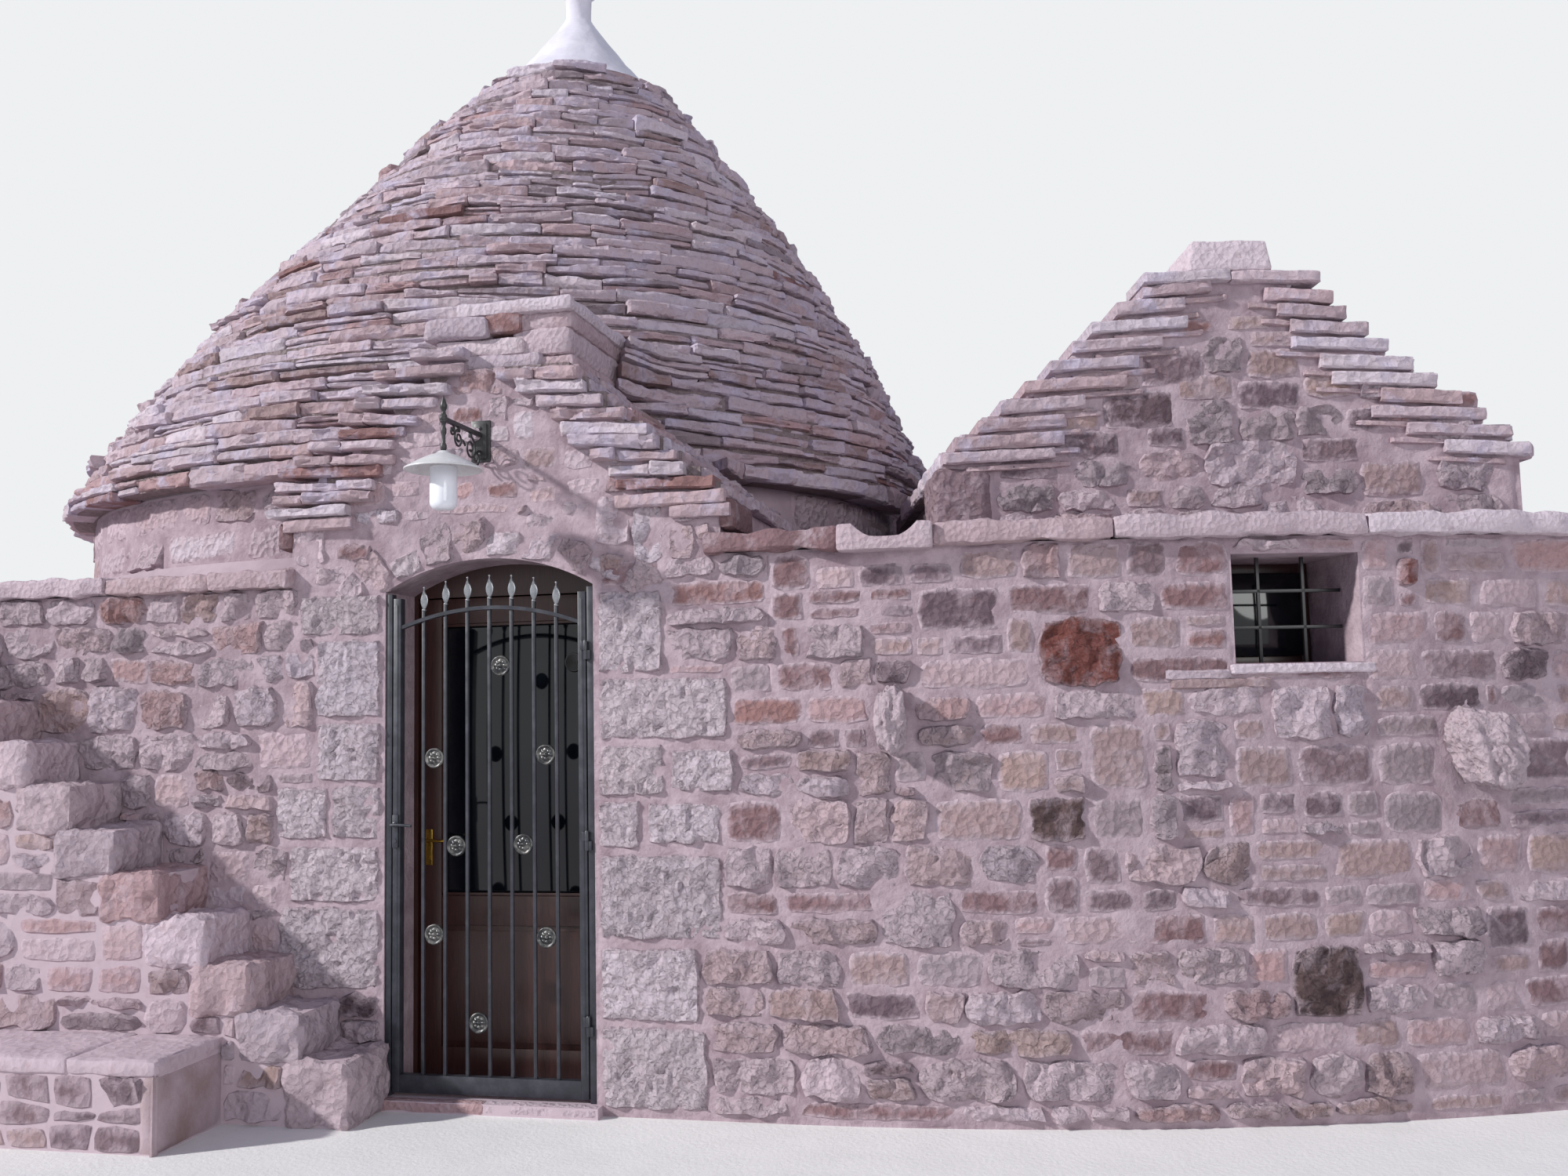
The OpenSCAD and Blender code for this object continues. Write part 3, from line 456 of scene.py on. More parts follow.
@dataclass(frozen=True)
class Coating(Finish):
    """A smooth made surface, painted, cast or glazed: small dents, and dust or wear in soft clouds."""

    name: str
    colour: str
    worn: str
    rough: float = 0.4
    metal: float = 0.0
    specular: float = 0.5
    dent_mm: float = 16.0
    dent_depth_mm: float = 0.2
    worn_mm: float = 60.0

    def surface(self, tree: NodeTree) -> NodeSocket:
        """One colour that turns to the worn one in clouds, over dents.

        Args:
            tree: The material's node tree.

        Returns:
            The shader's output.
        """
        place = object_coordinates(tree)
        cloud = add_node(tree, "ShaderNodeTexNoise", {
            "Vector": place, "Scale": per_metre(self.worn_mm), "Detail": 6.0, "Roughness": 0.7})
        share = add_node(tree, "ShaderNodeMapRange", {
            "Value": cloud.outputs["Fac"], "From Min": 0.45, "From Max": 0.72})
        colour = add_node(tree, "ShaderNodeMix", {
            "Factor": share.outputs[0], "A": linear(self.colour), "B": linear(self.worn)}, data_type="RGBA")
        matt = add_node(tree, "ShaderNodeMapRange", {
            "Value": cloud.outputs["Fac"], "From Min": 0.35, "From Max": 0.75, "To Min": self.rough * 0.8,
            "To Max": min(1.0, self.rough * 1.4)})
        dents = add_node(tree, "ShaderNodeTexNoise", {"Vector": place, "Scale": per_metre(self.dent_mm)})
        relief = add_node(tree, "ShaderNodeBump", {
            "Height": dents.outputs["Fac"], "Distance": self.dent_depth_mm / 1000})
        return add_node(tree, "ShaderNodeBsdfPrincipled", {
            "Base Color": colour.outputs["Result"], "Roughness": matt.outputs[0], "Metallic": self.metal,
            "Specular IOR Level": self.specular, "Normal": relief.outputs["Normal"]}).outputs["BSDF"]


@dataclass(frozen=True)
class StainedWood(Finish):
    """Dark stained boards under a satin varnish, with a fine upright grain."""

    name: str
    colour: str
    grain: str
    grain_mm: float = 4.0
    stretch: float = 0.05

    def surface(self, tree: NodeTree) -> NodeSocket:
        """Grain lines, stretched along Z.

        Args:
            tree: The material's node tree.

        Returns:
            The shader's output.
        """
        place = add_node(tree, "ShaderNodeMapping", {
            "Vector": object_coordinates(tree), "Scale": (1.0, 1.0, self.stretch)}).outputs[0]
        lines = add_node(tree, "ShaderNodeTexNoise", {
            "Vector": place, "Scale": per_metre(self.grain_mm), "Detail": 5.0, "Roughness": 0.6})
        share = add_node(tree, "ShaderNodeMapRange", {
            "Value": lines.outputs["Fac"], "From Min": 0.42, "From Max": 0.66})
        colour = add_node(tree, "ShaderNodeMix", {"Factor": share.outputs[0], "A": linear(self.colour),
                                                  "B": linear(self.grain)}, data_type="RGBA")
        relief = add_node(tree, "ShaderNodeBump", {"Height": lines.outputs["Fac"], "Distance": 0.0004})
        return add_node(tree, "ShaderNodeBsdfPrincipled", {
            "Base Color": colour.outputs["Result"], "Roughness": 0.42, "Normal": relief.outputs["Normal"],
            "Coat Weight": 0.25, "Coat Roughness": 0.3}).outputs["BSDF"]


# The wing's gable: stones lost in wide smeared pointing
GABLE_STONE = Limestone("pointed gable limestone", tinted=True, rim_lime=0.9, lime_share=0.5,
                        blotch_mm=90.0)
# The drum: stones almost hidden under limewash
DRUM_STONE = Limestone("lime-washed drum stones", tinted=True, lime="#b7a4ab", rim_lime=1.0, lime_share=0.7,
                       blotch_mm=180.0)
# Stair and bench: trodden blocks with worn chips and grey soil
STEP_STONE = Limestone("trodden limestone blocks", tinted=True, lime="#bfadb5", lime_share=0.5,
                       soot_share=0.35, chip_mm=40.0, chip_depth_mm=14.0, pit_shade=0.3)
# The two loose stones: deep holes, darkened with strong painted shade
HOLED_STONE = Limestone("holed karst limestone", colour="#b7a6ac", lime_share=0.4, soot_share=0.45,
                        chip_mm=30.0, chip_depth_mm=16.0, pit_mm=26.0, pit_shade=0.6)
# The bench's side: brown water stains on plaster
STAINED_PLASTER = LimePlaster("stained lime plaster", "#b19ea4", "#96817f", blotch_mm=260.0,
                              wave_depth_mm=5.0)
# The gate: blue-grey paint with a dull sheen
SLATE_IRON = Coating("slate painted iron", "#2d2e35", "#3f4048", rough=0.36)
# Bracket and grille: black paint, a little dusty
BLACK_IRON = Coating("black painted iron", "#1f1f21", "#39383a", rough=0.42)
# The rosettes: dark castings with light clouds, partly rubbed bright metal and partly painted glints
CAST_METAL_WITH_PAINTED_GLINTS = Coating("cast iron worn bright with painted glints", "#3a3b3d", "#85827e", rough=0.34, metal=0.6, worn_mm=24.0)
# The spear heads: pale grey brushed metal paint
SPEAR_METAL = Coating("brushed iron paint", "#8d8f93", "#6d6f73", rough=0.3, metal=0.5, worn_mm=30.0)
# The door's lever: yellow metal, browned by hands
BRASS = Coating("aged brass", "#b08d3c", "#8a6c30", rough=0.3, metal=1.0, worn_mm=30.0)
# The lantern's shade: pale and glossy, with a film of dust
ENAMEL = Coating("pale enamel", "#dadada", "#c4c2c0", rough=0.3, worn_mm=90.0, dent_depth_mm=0.1)
# The lantern's glass: milky white, with a clear highlight
OPAL_GLASS = Coating("opal glass", "#eceef2", "#e2e4ea", rough=0.12, worn_mm=200.0, dent_depth_mm=0.02)
# Panes that mirror the yard; their near-black colour is painted shade of the unlit rooms behind them
GLASS_WITH_PAINTED_SHADE = Coating("glass with painted shade", "#0a0d12", "#0e1218", rough=0.06, dent_mm=400.0,
                     dent_depth_mm=0.3, worn_mm=500.0)
# The vent: matt black
BLACK_PLASTIC = Coating("black plastic", "#151517", "#1f1f21", rough=0.5)
# Door and window frame: dark red-brown stain with an upright grain
DOOR_WOOD = StainedWood("dark red-brown wood", "#3a1d19", "#26110f")


class StoneKind(Enum):
    """Colours that the cleaned limestone of the walls shows."""

    PALE = "#bcaab1"
    WARM = "#b49da1"
    PINK = "#ad9092"
    TAN = "#a08989"
    BROWN = "#816669"
    TERRACOTTA = "#8f6d6b"
    ORANGE = "#7e4d47"
    OCHRE = "#a28a86"
    GREY = "#96878c"
    UMBER = "#7d6a70"
    DARK = "#69585f"
    EARTH = "#5c4b4b"
    WHITE = "#c8bac1"


class Dressing(Enum):
    """How a stone's face is worked: coarse height, coarse size, fine height and fine size in metres."""

    FLUSH = (0.003, 0.09, 0.002, 0.03)
    BROKEN = (0.026, 0.080, 0.018, 0.036)
    PECKED = (0.014, 0.080, 0.024, 0.036)


PALE, WARM, PINK, TAN, BROWN, TERRACOTTA, ORANGE, OCHRE, GREY, UMBER, DARK, EARTH, WHITE = StoneKind
FLUSH, BROKEN, PECKED = Dressing


# Wall faces: they turn a place along and up a face, and a height off it, into a point

class Face:
    """A wall face on which stones are laid."""

    def at(self, along: float, up: float, out: float) -> Vector:
        """Returns the point at this distance along and up the face and this far off it."""
        raise NotImplementedError


@dataclass(frozen=True)
class StraightFace(Face):
    """A plane face that starts at a point on plan and runs in one direction."""

    x: float
    y: float
    turn: float = 0.0

    def at(self, along: float, up: float, out: float) -> Vector:
        """The face's outside is to the right of its run."""
        c, s = math.cos(self.turn), math.sin(self.turn)
        return Vector((self.x + along * c + out * s, self.y + along * s - out * c, up))


@dataclass(frozen=True)
class RoundFace(Face):
    """The outside of a cylinder, with arc length measured from its front."""

    x: float
    y: float
    radius: float

    def at(self, along: float, up: float, out: float) -> Vector:
        """Runs anticlockwise on plan.

        Args:
            along: Distance along the face.
            up: Distance up it.
            out: Distance off it.

        Returns:
            The point in the row frame.
        """
        a = along / self.radius
        r = self.radius + out
        return Vector((self.x + r * math.sin(a), self.y - r * math.cos(a), up))


@dataclass(frozen=True)
class BentFace(Face):
    """The door wall that runs on into the bowed wall, measured from the bend."""

    straight: StraightFace
    bow: RoundFace

    def at(self, along: float, up: float, out: float) -> Vector:
        """Straight before the bend, bowed after it."""
        part = self.straight if along < 0 else self.bow
        return part.at(along, up, out)


@dataclass(frozen=True)
class ArchFace(Face):
    """A plane face measured round an arch: along its curve, and outwards from it."""

    x: float
    y: float
    z: float
    radius: float

    def at(self, along: float, up: float, out: float) -> Vector:
        """Runs from left to right over the crown.

        Args:
            along: Distance along the arch from its crown.
            up: Distance outwards from the arch.
            out: Distance in front of the wall.

        Returns:
            The point in the row frame.
        """
        a = along / self.radius
        r = self.radius + up
        return Vector((self.x + r * math.sin(a), self.y - out, self.z + r * math.cos(a)))


@dataclass(frozen=True)
class WarpedFace(Face):
    """A face between a lower and an upper line: up runs from 0 at the lower to 1 at the upper."""

    base: Face
    lower: Callable[[float], float]
    upper: Callable[[float], float]

    def at(self, along: float, up: float, out: float) -> Vector:
        """Scales the height to the room between both lines."""
        low, high = self.lower(along), self.upper(along)
        return self.base.at(along, low + (high - low) * up, out)


FRONT = StraightFace(0.0, PLAN.front_y)
BOW = BentFace(StraightFace(PLAN.bend_x, PLAN.front_y),
               RoundFace(PLAN.bend_x, PLAN.front_y + PLAN.bow_r, PLAN.bow_r))


def wing_face(along: float, depth: float, turn: float = 0.0) -> StraightFace:
    """A plane face placed in the wing's own frame.

    Args:
        along: Distance from the bend along the wing's chord.
        depth: Distance behind the chord.
        turn: The face's direction from the chord, in radians.

    Returns:
        The face in the row frame.
    """
    c, s = math.cos(PLAN.turn), math.sin(PLAN.turn)
    return StraightFace(PLAN.bend_x + along * c - depth * s, PLAN.front_y + along * s + depth * c,
                        PLAN.turn + turn)


# Stones

@dataclass(frozen=True)
class Patch:
    """A rectangle on a face: from and to along it, from and to up it."""

    a: float
    b: float
    low: float
    high: float


@dataclass(frozen=True)
class Stone:
    """One stone's outline on a face, with its colour and dressing."""

    corners: tuple[tuple[float, float], ...]
    kind: StoneKind
    dressing: Dressing = BROKEN
    proud: float = 0.008
    round: float = 0.35

    @staticmethod
    def filling(patch: Patch, kind: StoneKind, dressing: Dressing, proud: float = 0.008,
                round_: float = 0.3) -> "Stone":
        """A stone that fills a rectangle."""
        corners = ((patch.a, patch.low), (patch.b, patch.low), (patch.b, patch.high), (patch.a, patch.high))
        return Stone(corners, kind, dressing, proud, round_)


def eased(share: float, cells: int, edge: float) -> float:
    """Moves evenly spaced grid lines so that the outermost cells are narrow.

    Args:
        share: Place of the line, 0 to 1.
        cells: Number of cells.
        edge: Width that the outermost cells get.

    Returns:
        The new place, 0 to 1.
    """
    k = share * cells
    if k <= 1:
        return k * edge
    if k >= cells - 1:
        return 1 - (cells - k) * edge
    return edge + (k - 1) / (cells - 2) * (1 - 2 * edge)


def ridges(point: Vector) -> float:
    """Sharp ridges and soft hollows, about -1 to 1."""
    return 1.0 - 2.4 * abs(noise.noise(point))


def unit_mesh(bm: BMesh, name: str) -> Mesh:
    """Turns the faces of a unit stone outwards and keeps it as a mesh.

    Args:
        bm: The stone, which is freed.
        name: Its name.

    Returns:
        The mesh.
    """
    bmesh.ops.recalc_face_normals(bm, faces=bm.faces)
    mesh = bpy.data.meshes.new(name)
    bm.to_mesh(mesh)
    bm.free()
    return mesh


@cache
def pad(across: int, up: int) -> Mesh:
    """A unit stone for a wall face: a grid whose rim is turned back and closed behind.

    Args:
        across: Cells from side to side.
        up: Cells from foot to top.

    Returns:
        The mesh.
    """
    bm = bmesh.new()
    bmesh.ops.create_grid(bm, x_segments=across, y_segments=up, size=0.5)
    bmesh.ops.translate(bm, verts=bm.verts, vec=(0.5, 0.5, 1.0))
    rim = [e for e in bm.edges if e.is_boundary]
    for edge in rim:
        for v in edge.verts:
            v.co.z = 0.0
    for v in bmesh.ops.extrude_edge_only(bm, edges=rim)["geom"]:
        if isinstance(v, BMVert):
            v.co.z = -1.0
    bmesh.ops.holes_fill(bm, edges=[e for e in bm.edges if e.is_boundary], sides=0)
    return unit_mesh(bm, "pad")


SLAB_SECTION = ((1.0, 0.0), (0.05, 0.0), (0.0, 0.14), (0.0, 0.38), (0.0, 0.62), (0.0, 0.84), (0.06, 1.0),
                (1.0, 1.0))


@cache
def strip(along: int) -> Mesh:
    """A unit roof slab: its cross-section swept along X; Y is depth from the front, Z is height.

    Args:
        along: Number of sections.

    Returns:
        The mesh.
    """
    bm = bmesh.new()
    section = bm.faces.new([bm.verts.new((0.0, depth, height)) for depth, height in SLAB_SECTION])
    bmesh.ops.spin(bm, geom=[section], cent=(0, 0, 0), axis=(0, 0, 1), dvec=(1 / along, 0, 0), angle=0.0,
                   steps=along, use_duplicate=False)
    bmesh.ops.remove_doubles(bm, verts=bm.verts, dist=1e-5)
    return unit_mesh(bm, "strip")


@cache
def cube(cells: tuple[int, int, int]) -> Mesh:
    """A unit block from 0 to 1 each way, cut into cells.

    Args:
        cells: Cells each way.

    Returns:
        The mesh.
    """
    bm = bmesh.new()
    bmesh.ops.create_cube(bm, size=1.0)
    bmesh.ops.translate(bm, verts=bm.verts, vec=(0.5, 0.5, 0.5))
    for axis, count in enumerate(cells):
        edges = [e for e in bm.edges if abs((e.verts[0].co - e.verts[1].co)[axis]) > 1e-4]
        if count > 1:
            bmesh.ops.subdivide_edges(bm, edges=edges, cuts=count - 1, use_grid_fill=True)
    return unit_mesh(bm, "cube")


class Masonry:
    """A mesh into which stones are set one after another, in metres."""

    arris = 0.010  # width of the worn edge round a face
    narrowest, lowest = 0.045, 0.035  # smaller stones are left to the mortar
    seat = -0.022  # a stone's hidden back, off the wall's face
    foot = 0.004  # how far its worn edge sinks behind the wall's face
    wander = 0.055  # size of the waves in its outline

    def __init__(self, name: str, seed: int, cell: float = 0.03) -> None:
        """Starts an empty mesh.

        Args:
            name: Name of the finished piece.
            seed: Seed of the piece's own random numbers.
            cell: Size of the grid on a stone's face, in metres.
        """
        self.name = name
        self.rng = random.Random(seed)
        self.cell = cell
        self.mesh = bmesh.new()
        self.tint = self.mesh.verts.layers.float_color.new(TINT)
        self.relief = self.mesh.verts.layers.float.new(RELIEF)
        self.count = 0

    def add(self, unit: Mesh, tint: tuple, move: Callable[[Vector], Vector],
            core: Callable[[Vector], float] | None = None, relief: float = 1.0) -> None:
        """Copies a unit stone in and moves each of its points.

        Args:
            unit: The unit stone.
            tint: Its colour, linear RGB.
            move: Gives a point's place in the row frame.
            core: Gives 1 where the stone is bare and 0 at its rim; bare all over if left out.
            relief: How broken its face is, 1 for a rough break.
        """
        start = len(self.mesh.verts)
        self.mesh.from_mesh(unit)
        self.mesh.verts.ensure_lookup_table()
        for v in self.mesh.verts[start:]:
            v[self.tint] = (*tint, core(v.co) if core else 1.0)
            v[self.relief] = relief
            v.co = move(v.co)
        self.count += 1

    def shade(self, kind: StoneKind) -> tuple:
        """A stone's own colour: its kind's, a little lighter or darker and warmer or cooler.

        Args:
            kind: The stone's kind.

        Returns:
            Linear RGB.
        """
        light = 1 + self.rng.gauss(0, 0.07)
        warm = self.rng.gauss(0, 0.012)
        r, g, b, _ = linear(kind.value)
        return min(1, r * light * (1 + warm)), min(1, g * light), min(1, b * light * (1 - warm))

    def drift(self) -> Vector:
        """A random place in the noise, so that no two stones are alike."""
        return Vector((self.rng.uniform(0, 50), self.rng.uniform(0, 50), self.rng.uniform(0, 50)))

    def fill(self, face: Face, coursing: "Coursing", joint: float = 0.008) -> None:
        """Lays all the stones of a coursing on a face."""
        for stone in coursing.stones():
            self.lay(face, stone, joint)

    def lay(self, face: Face, stone: Stone, joint: float = 0.008) -> None:
        """Sets one stone on a face.

        Args:
            face: The wall face.
            stone: The stone.
            joint: Width of the joint that it leaves all round, shared with its neighbour.
        """
        (ax, ay), (bx, by), (cx, cy), (dx, dy) = stone.corners
        width = ((bx - ax) + (cx - dx)) / 2 - joint
        height = ((dy - ay) + (cy - by)) / 2 - joint
        if width < self.narrowest or height < self.lowest:
            return
        across = max(4, min(40, round(width / self.cell)))
        up = max(4, min(24, round(height / self.cell)))
        edge_x = min(0.24, self.arris / width)
        edge_y = min(0.24, self.arris / height)
        inset_x = joint / 2 / (width + joint)
        inset_y = joint / 2 / (height + joint)
        drift = self.drift()
        coarse, coarse_size, fine, fine_size = stone.dressing.value
        tilt_x, tilt_y = self.rng.uniform(-1, 1) * coarse * 0.5, self.rng.uniform(-1, 1) * coarse * 0.5
        ragged = 0.4 * coarse + 0.007
        flush = stone.dressing is FLUSH
        hidden = 0.07 * min(width, height) if flush else 0.0

        def move(co: Vector) -> Vector:
            """Places a point of the unit stone on the wall."""
            u = eased(co.x, across, edge_x) * 2 - 1
            v = eased(co.y, up, edge_y) * 2 - 1
            u, v = u * math.sqrt(1 - stone.round * v * v / 2), v * math.sqrt(1 - stone.round * u * u / 2)
            p = inset_x + (u + 1) / 2 * (1 - 2 * inset_x)
            q = inset_y + (v + 1) / 2 * (1 - 2 * inset_y)
            low_x, low_y = ax + (bx - ax) * p, ay + (by - ay) * p
            top_x, top_y = dx + (cx - dx) * p, dy + (cy - dy) * p
            along, high = low_x + (top_x - low_x) * q, low_y + (top_y - low_y) * q
            spot = Vector((along, high, 0.0)) + drift
            wander = noise.noise_vector(spot / self.wander) * ragged
            along += wander.x
            high += wander.y
            if co.z < -0.5:
                return face.at(along, high, self.seat)
            rough = noise.noise(spot / coarse_size) * coarse + ridges(spot / fine_size) * fine * 0.5
            if co.z < 0.5:
                return face.at(along, high, -self.foot + rough * 0.15)
            edge = max(abs(u), abs(v))
            if flush:
                sunk = edge ** 6
                return face.at(along, high, (stone.proud + rough) * (1 - sunk) - self.foot * sunk)
            dome = 1 - 0.5 * edge ** 3
            return face.at(along, high, stone.proud * dome + rough + tilt_x * u + tilt_y * v)

        def core(co: Vector) -> float:
            """How bare of lime a point is."""
            u, v = eased(co.x, across, edge_x), eased(co.y, up, edge_y)
            inside = min(min(u, 1 - u) * width, min(v, 1 - v) * height) - hidden
            return 0.0 if co.z < 0.5 else max(0.0, min(1.0, 0.15 + inside / 0.035))

        relief = 0.8 if flush else self.rng.uniform(1.0, 1.5)
        if stone.dressing is PECKED:
            relief = 1.45
        self.add(pad(across, up), self.shade(stone.kind), move, core, relief)

    def lay_slab(self, face: Face, a: float, b: float, low: tuple[float, float], high: tuple[float, float],
                 out: float, depth: float, kind: StoneKind, rough: float = 0.008,
                 cell: float = 0.05) -> None:
        """Sets one flat slab with its long edge on a face.

        Args:
            face: The face along which the row runs.
            a: Start along the face.
            b: End along the face.
            low: Height of the slab's underside at its start and end.
            high: Height of its top at its start and end.
            out: How far its edge stands off the face.
            depth: Depth from its edge to its hidden back.
            kind: Its colour.
            rough: Height of the breaks along its edge.
            cell: Length of its sections.
        """
        length = b - a
        if length < 0.03:
            return
        along = max(3, min(40, round(length / cell)))
        end = min(0.2, 0.012 / length)
        drift = self.drift()
        skew = self.rng.uniform(-1, 1) * rough * 0.9

        def move(co: Vector) -> Vector:
            """Places a point of the unit slab on the roof."""
            u = eased(co.x, along, end)
            s = a + length * u
            d, h = co.y, co.z
            bottom = low[0] + (low[1] - low[0]) * u
            top = high[0] + (high[1] - high[0]) * u
            spot = Vector((s, h * (top - bottom) * 1.6, 0.0)) + drift
            tip = co.x < 1e-4 or co.x > 1 - 1e-4
            body = 1 - d
            back = d * depth
            worn = 0.0
            if d < 0.5:
                back = 0.006 if tip else 0.0
                worn = noise.noise(spot / 0.09) * rough + ridges(spot / 0.034) * rough * 0.6
                if h in (0.0, 1.0):
                    back = 0.006 + max(0.0, noise.noise(spot / 0.06)) * rough * 2.2
            z = bottom + (top - bottom) * h
            if d < 0.5 and 0 < h < 1:
                z += noise.noise(spot / 0.05) * 0.003
            else:
                z += noise.noise(spot / 0.09) * 0.0035 * (1 if h > 0.5 else 0.7)
            if tip:
                z += (0.5 - h) * 0.010 * (0.3 + abs(noise.noise(drift + Vector((u * 9, 0, 0)))))
            return face.at(s, z, out - back + worn * body + skew * (u - 0.5))

        self.add(strip(along), self.shade(kind), move)

    def lay_block(self, face: Face, patch: Patch, back: float, front: float, kind: StoneKind,
                  radius: float = 0.018, rough: float = 0.006, cell: float = 0.05,
                  shape: Callable[[Vector], Vector] | None = None, relief: float = 1.0) -> None:
        """Sets one hewn block with worn edges.

        Args:
            face: The face that it is placed on.
            patch: Its place along and up the face.
            back: Where its back is, measured off the face.
            front: Where its front is.
            kind: Its colour.
            radius: Radius of its worn edges.
            rough: Height of the breaks on its faces.
            cell: Grid size.
            shape: Moves a point of the finished block, given in metres from its low back corner.
            relief: How broken its faces are, 1 for a rough break.
        """
        size = Vector((patch.b - patch.a, patch.high - patch.low, front - back))
        cells = tuple(max(3, min(26, round(s / cell))) for s in size)
        radius = min(radius, min(size) * 0.3)
        drift = self.drift()

        def move(co: Vector) -> Vector:
            """Places a point of the unit block."""
            at = Vector(tuple(eased(co[k], cells[k], radius / size[k]) * size[k] for k in range(3)))
            inner = Vector(tuple(min(max(at[k], radius), size[k] - radius) for k in range(3)))
            away = at - inner
            outward = away.normalized()
            at = inner + outward * min(away.length, radius)
            spot = at + drift
            at += outward * (noise.noise(spot / 0.11) * rough + ridges(spot / 0.034) * rough * 0.4)
            if shape:
                at = shape(at)
            return face.at(patch.a + at.x, patch.low + at.y, back + at.z)

        self.add(cube(cells), self.shade(kind), move, None, relief)

    def finish(self, finish: Finish, slot: str, body: str = HOUSE, smooth: bool = False) -> Object:
        """Turns the mesh into a dressed piece that rides on a body.

        Args:
            finish: The material's finish.
            slot: The record's material slot; not used.
            body: The body that carries it.
            smooth: Whether faces are shaded smooth.

        Returns:
            The piece.
        """
        obj = as_piece(self.mesh, self.name, finish, body, smooth)
        log.info("%s: %d stones, %d faces", self.name, self.count, len(obj.data.polygons))
        return obj


def add_object(name: str, data: ID) -> Object:
    """Adds an object to the scene.

    Args:
        name: Its name.
        data: Its mesh, lamp or camera.

    Returns:
        The object.
    """
    obj = bpy.data.objects.new(name, data)
    bpy.context.scene.collection.objects.link(obj)
    return obj


def as_piece(bm: BMesh, name: str, finish: Finish, body: str,
             smooth: bool = True) -> Object:
    """Makes a finished bmesh into a piece of the house.

    Args:
        bm: The shape, in the row frame; it is freed.
        name: Name of the piece.
        finish: Its finish.
        body: The body that carries it.
        smooth: Whether faces are shaded smooth.

    Returns:
        The piece.
    """
    mesh = bpy.data.meshes.new(name)
    for face in bm.faces:
        face.smooth = True
    for vert in bm.verts:
        vert.co.z = max(vert.co.z, 0.0)
    bm.to_mesh(mesh)
    bm.free()
    mesh.set_sharp_from_angle(angle=math.radians(SOFT_EDGE if smooth else HARD_EDGE))
    obj = add_object(name, mesh)
    mesh.materials.append(finish.make())
    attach(obj, body)
    return obj


# Rubble: rough courses of stones round openings and set stones

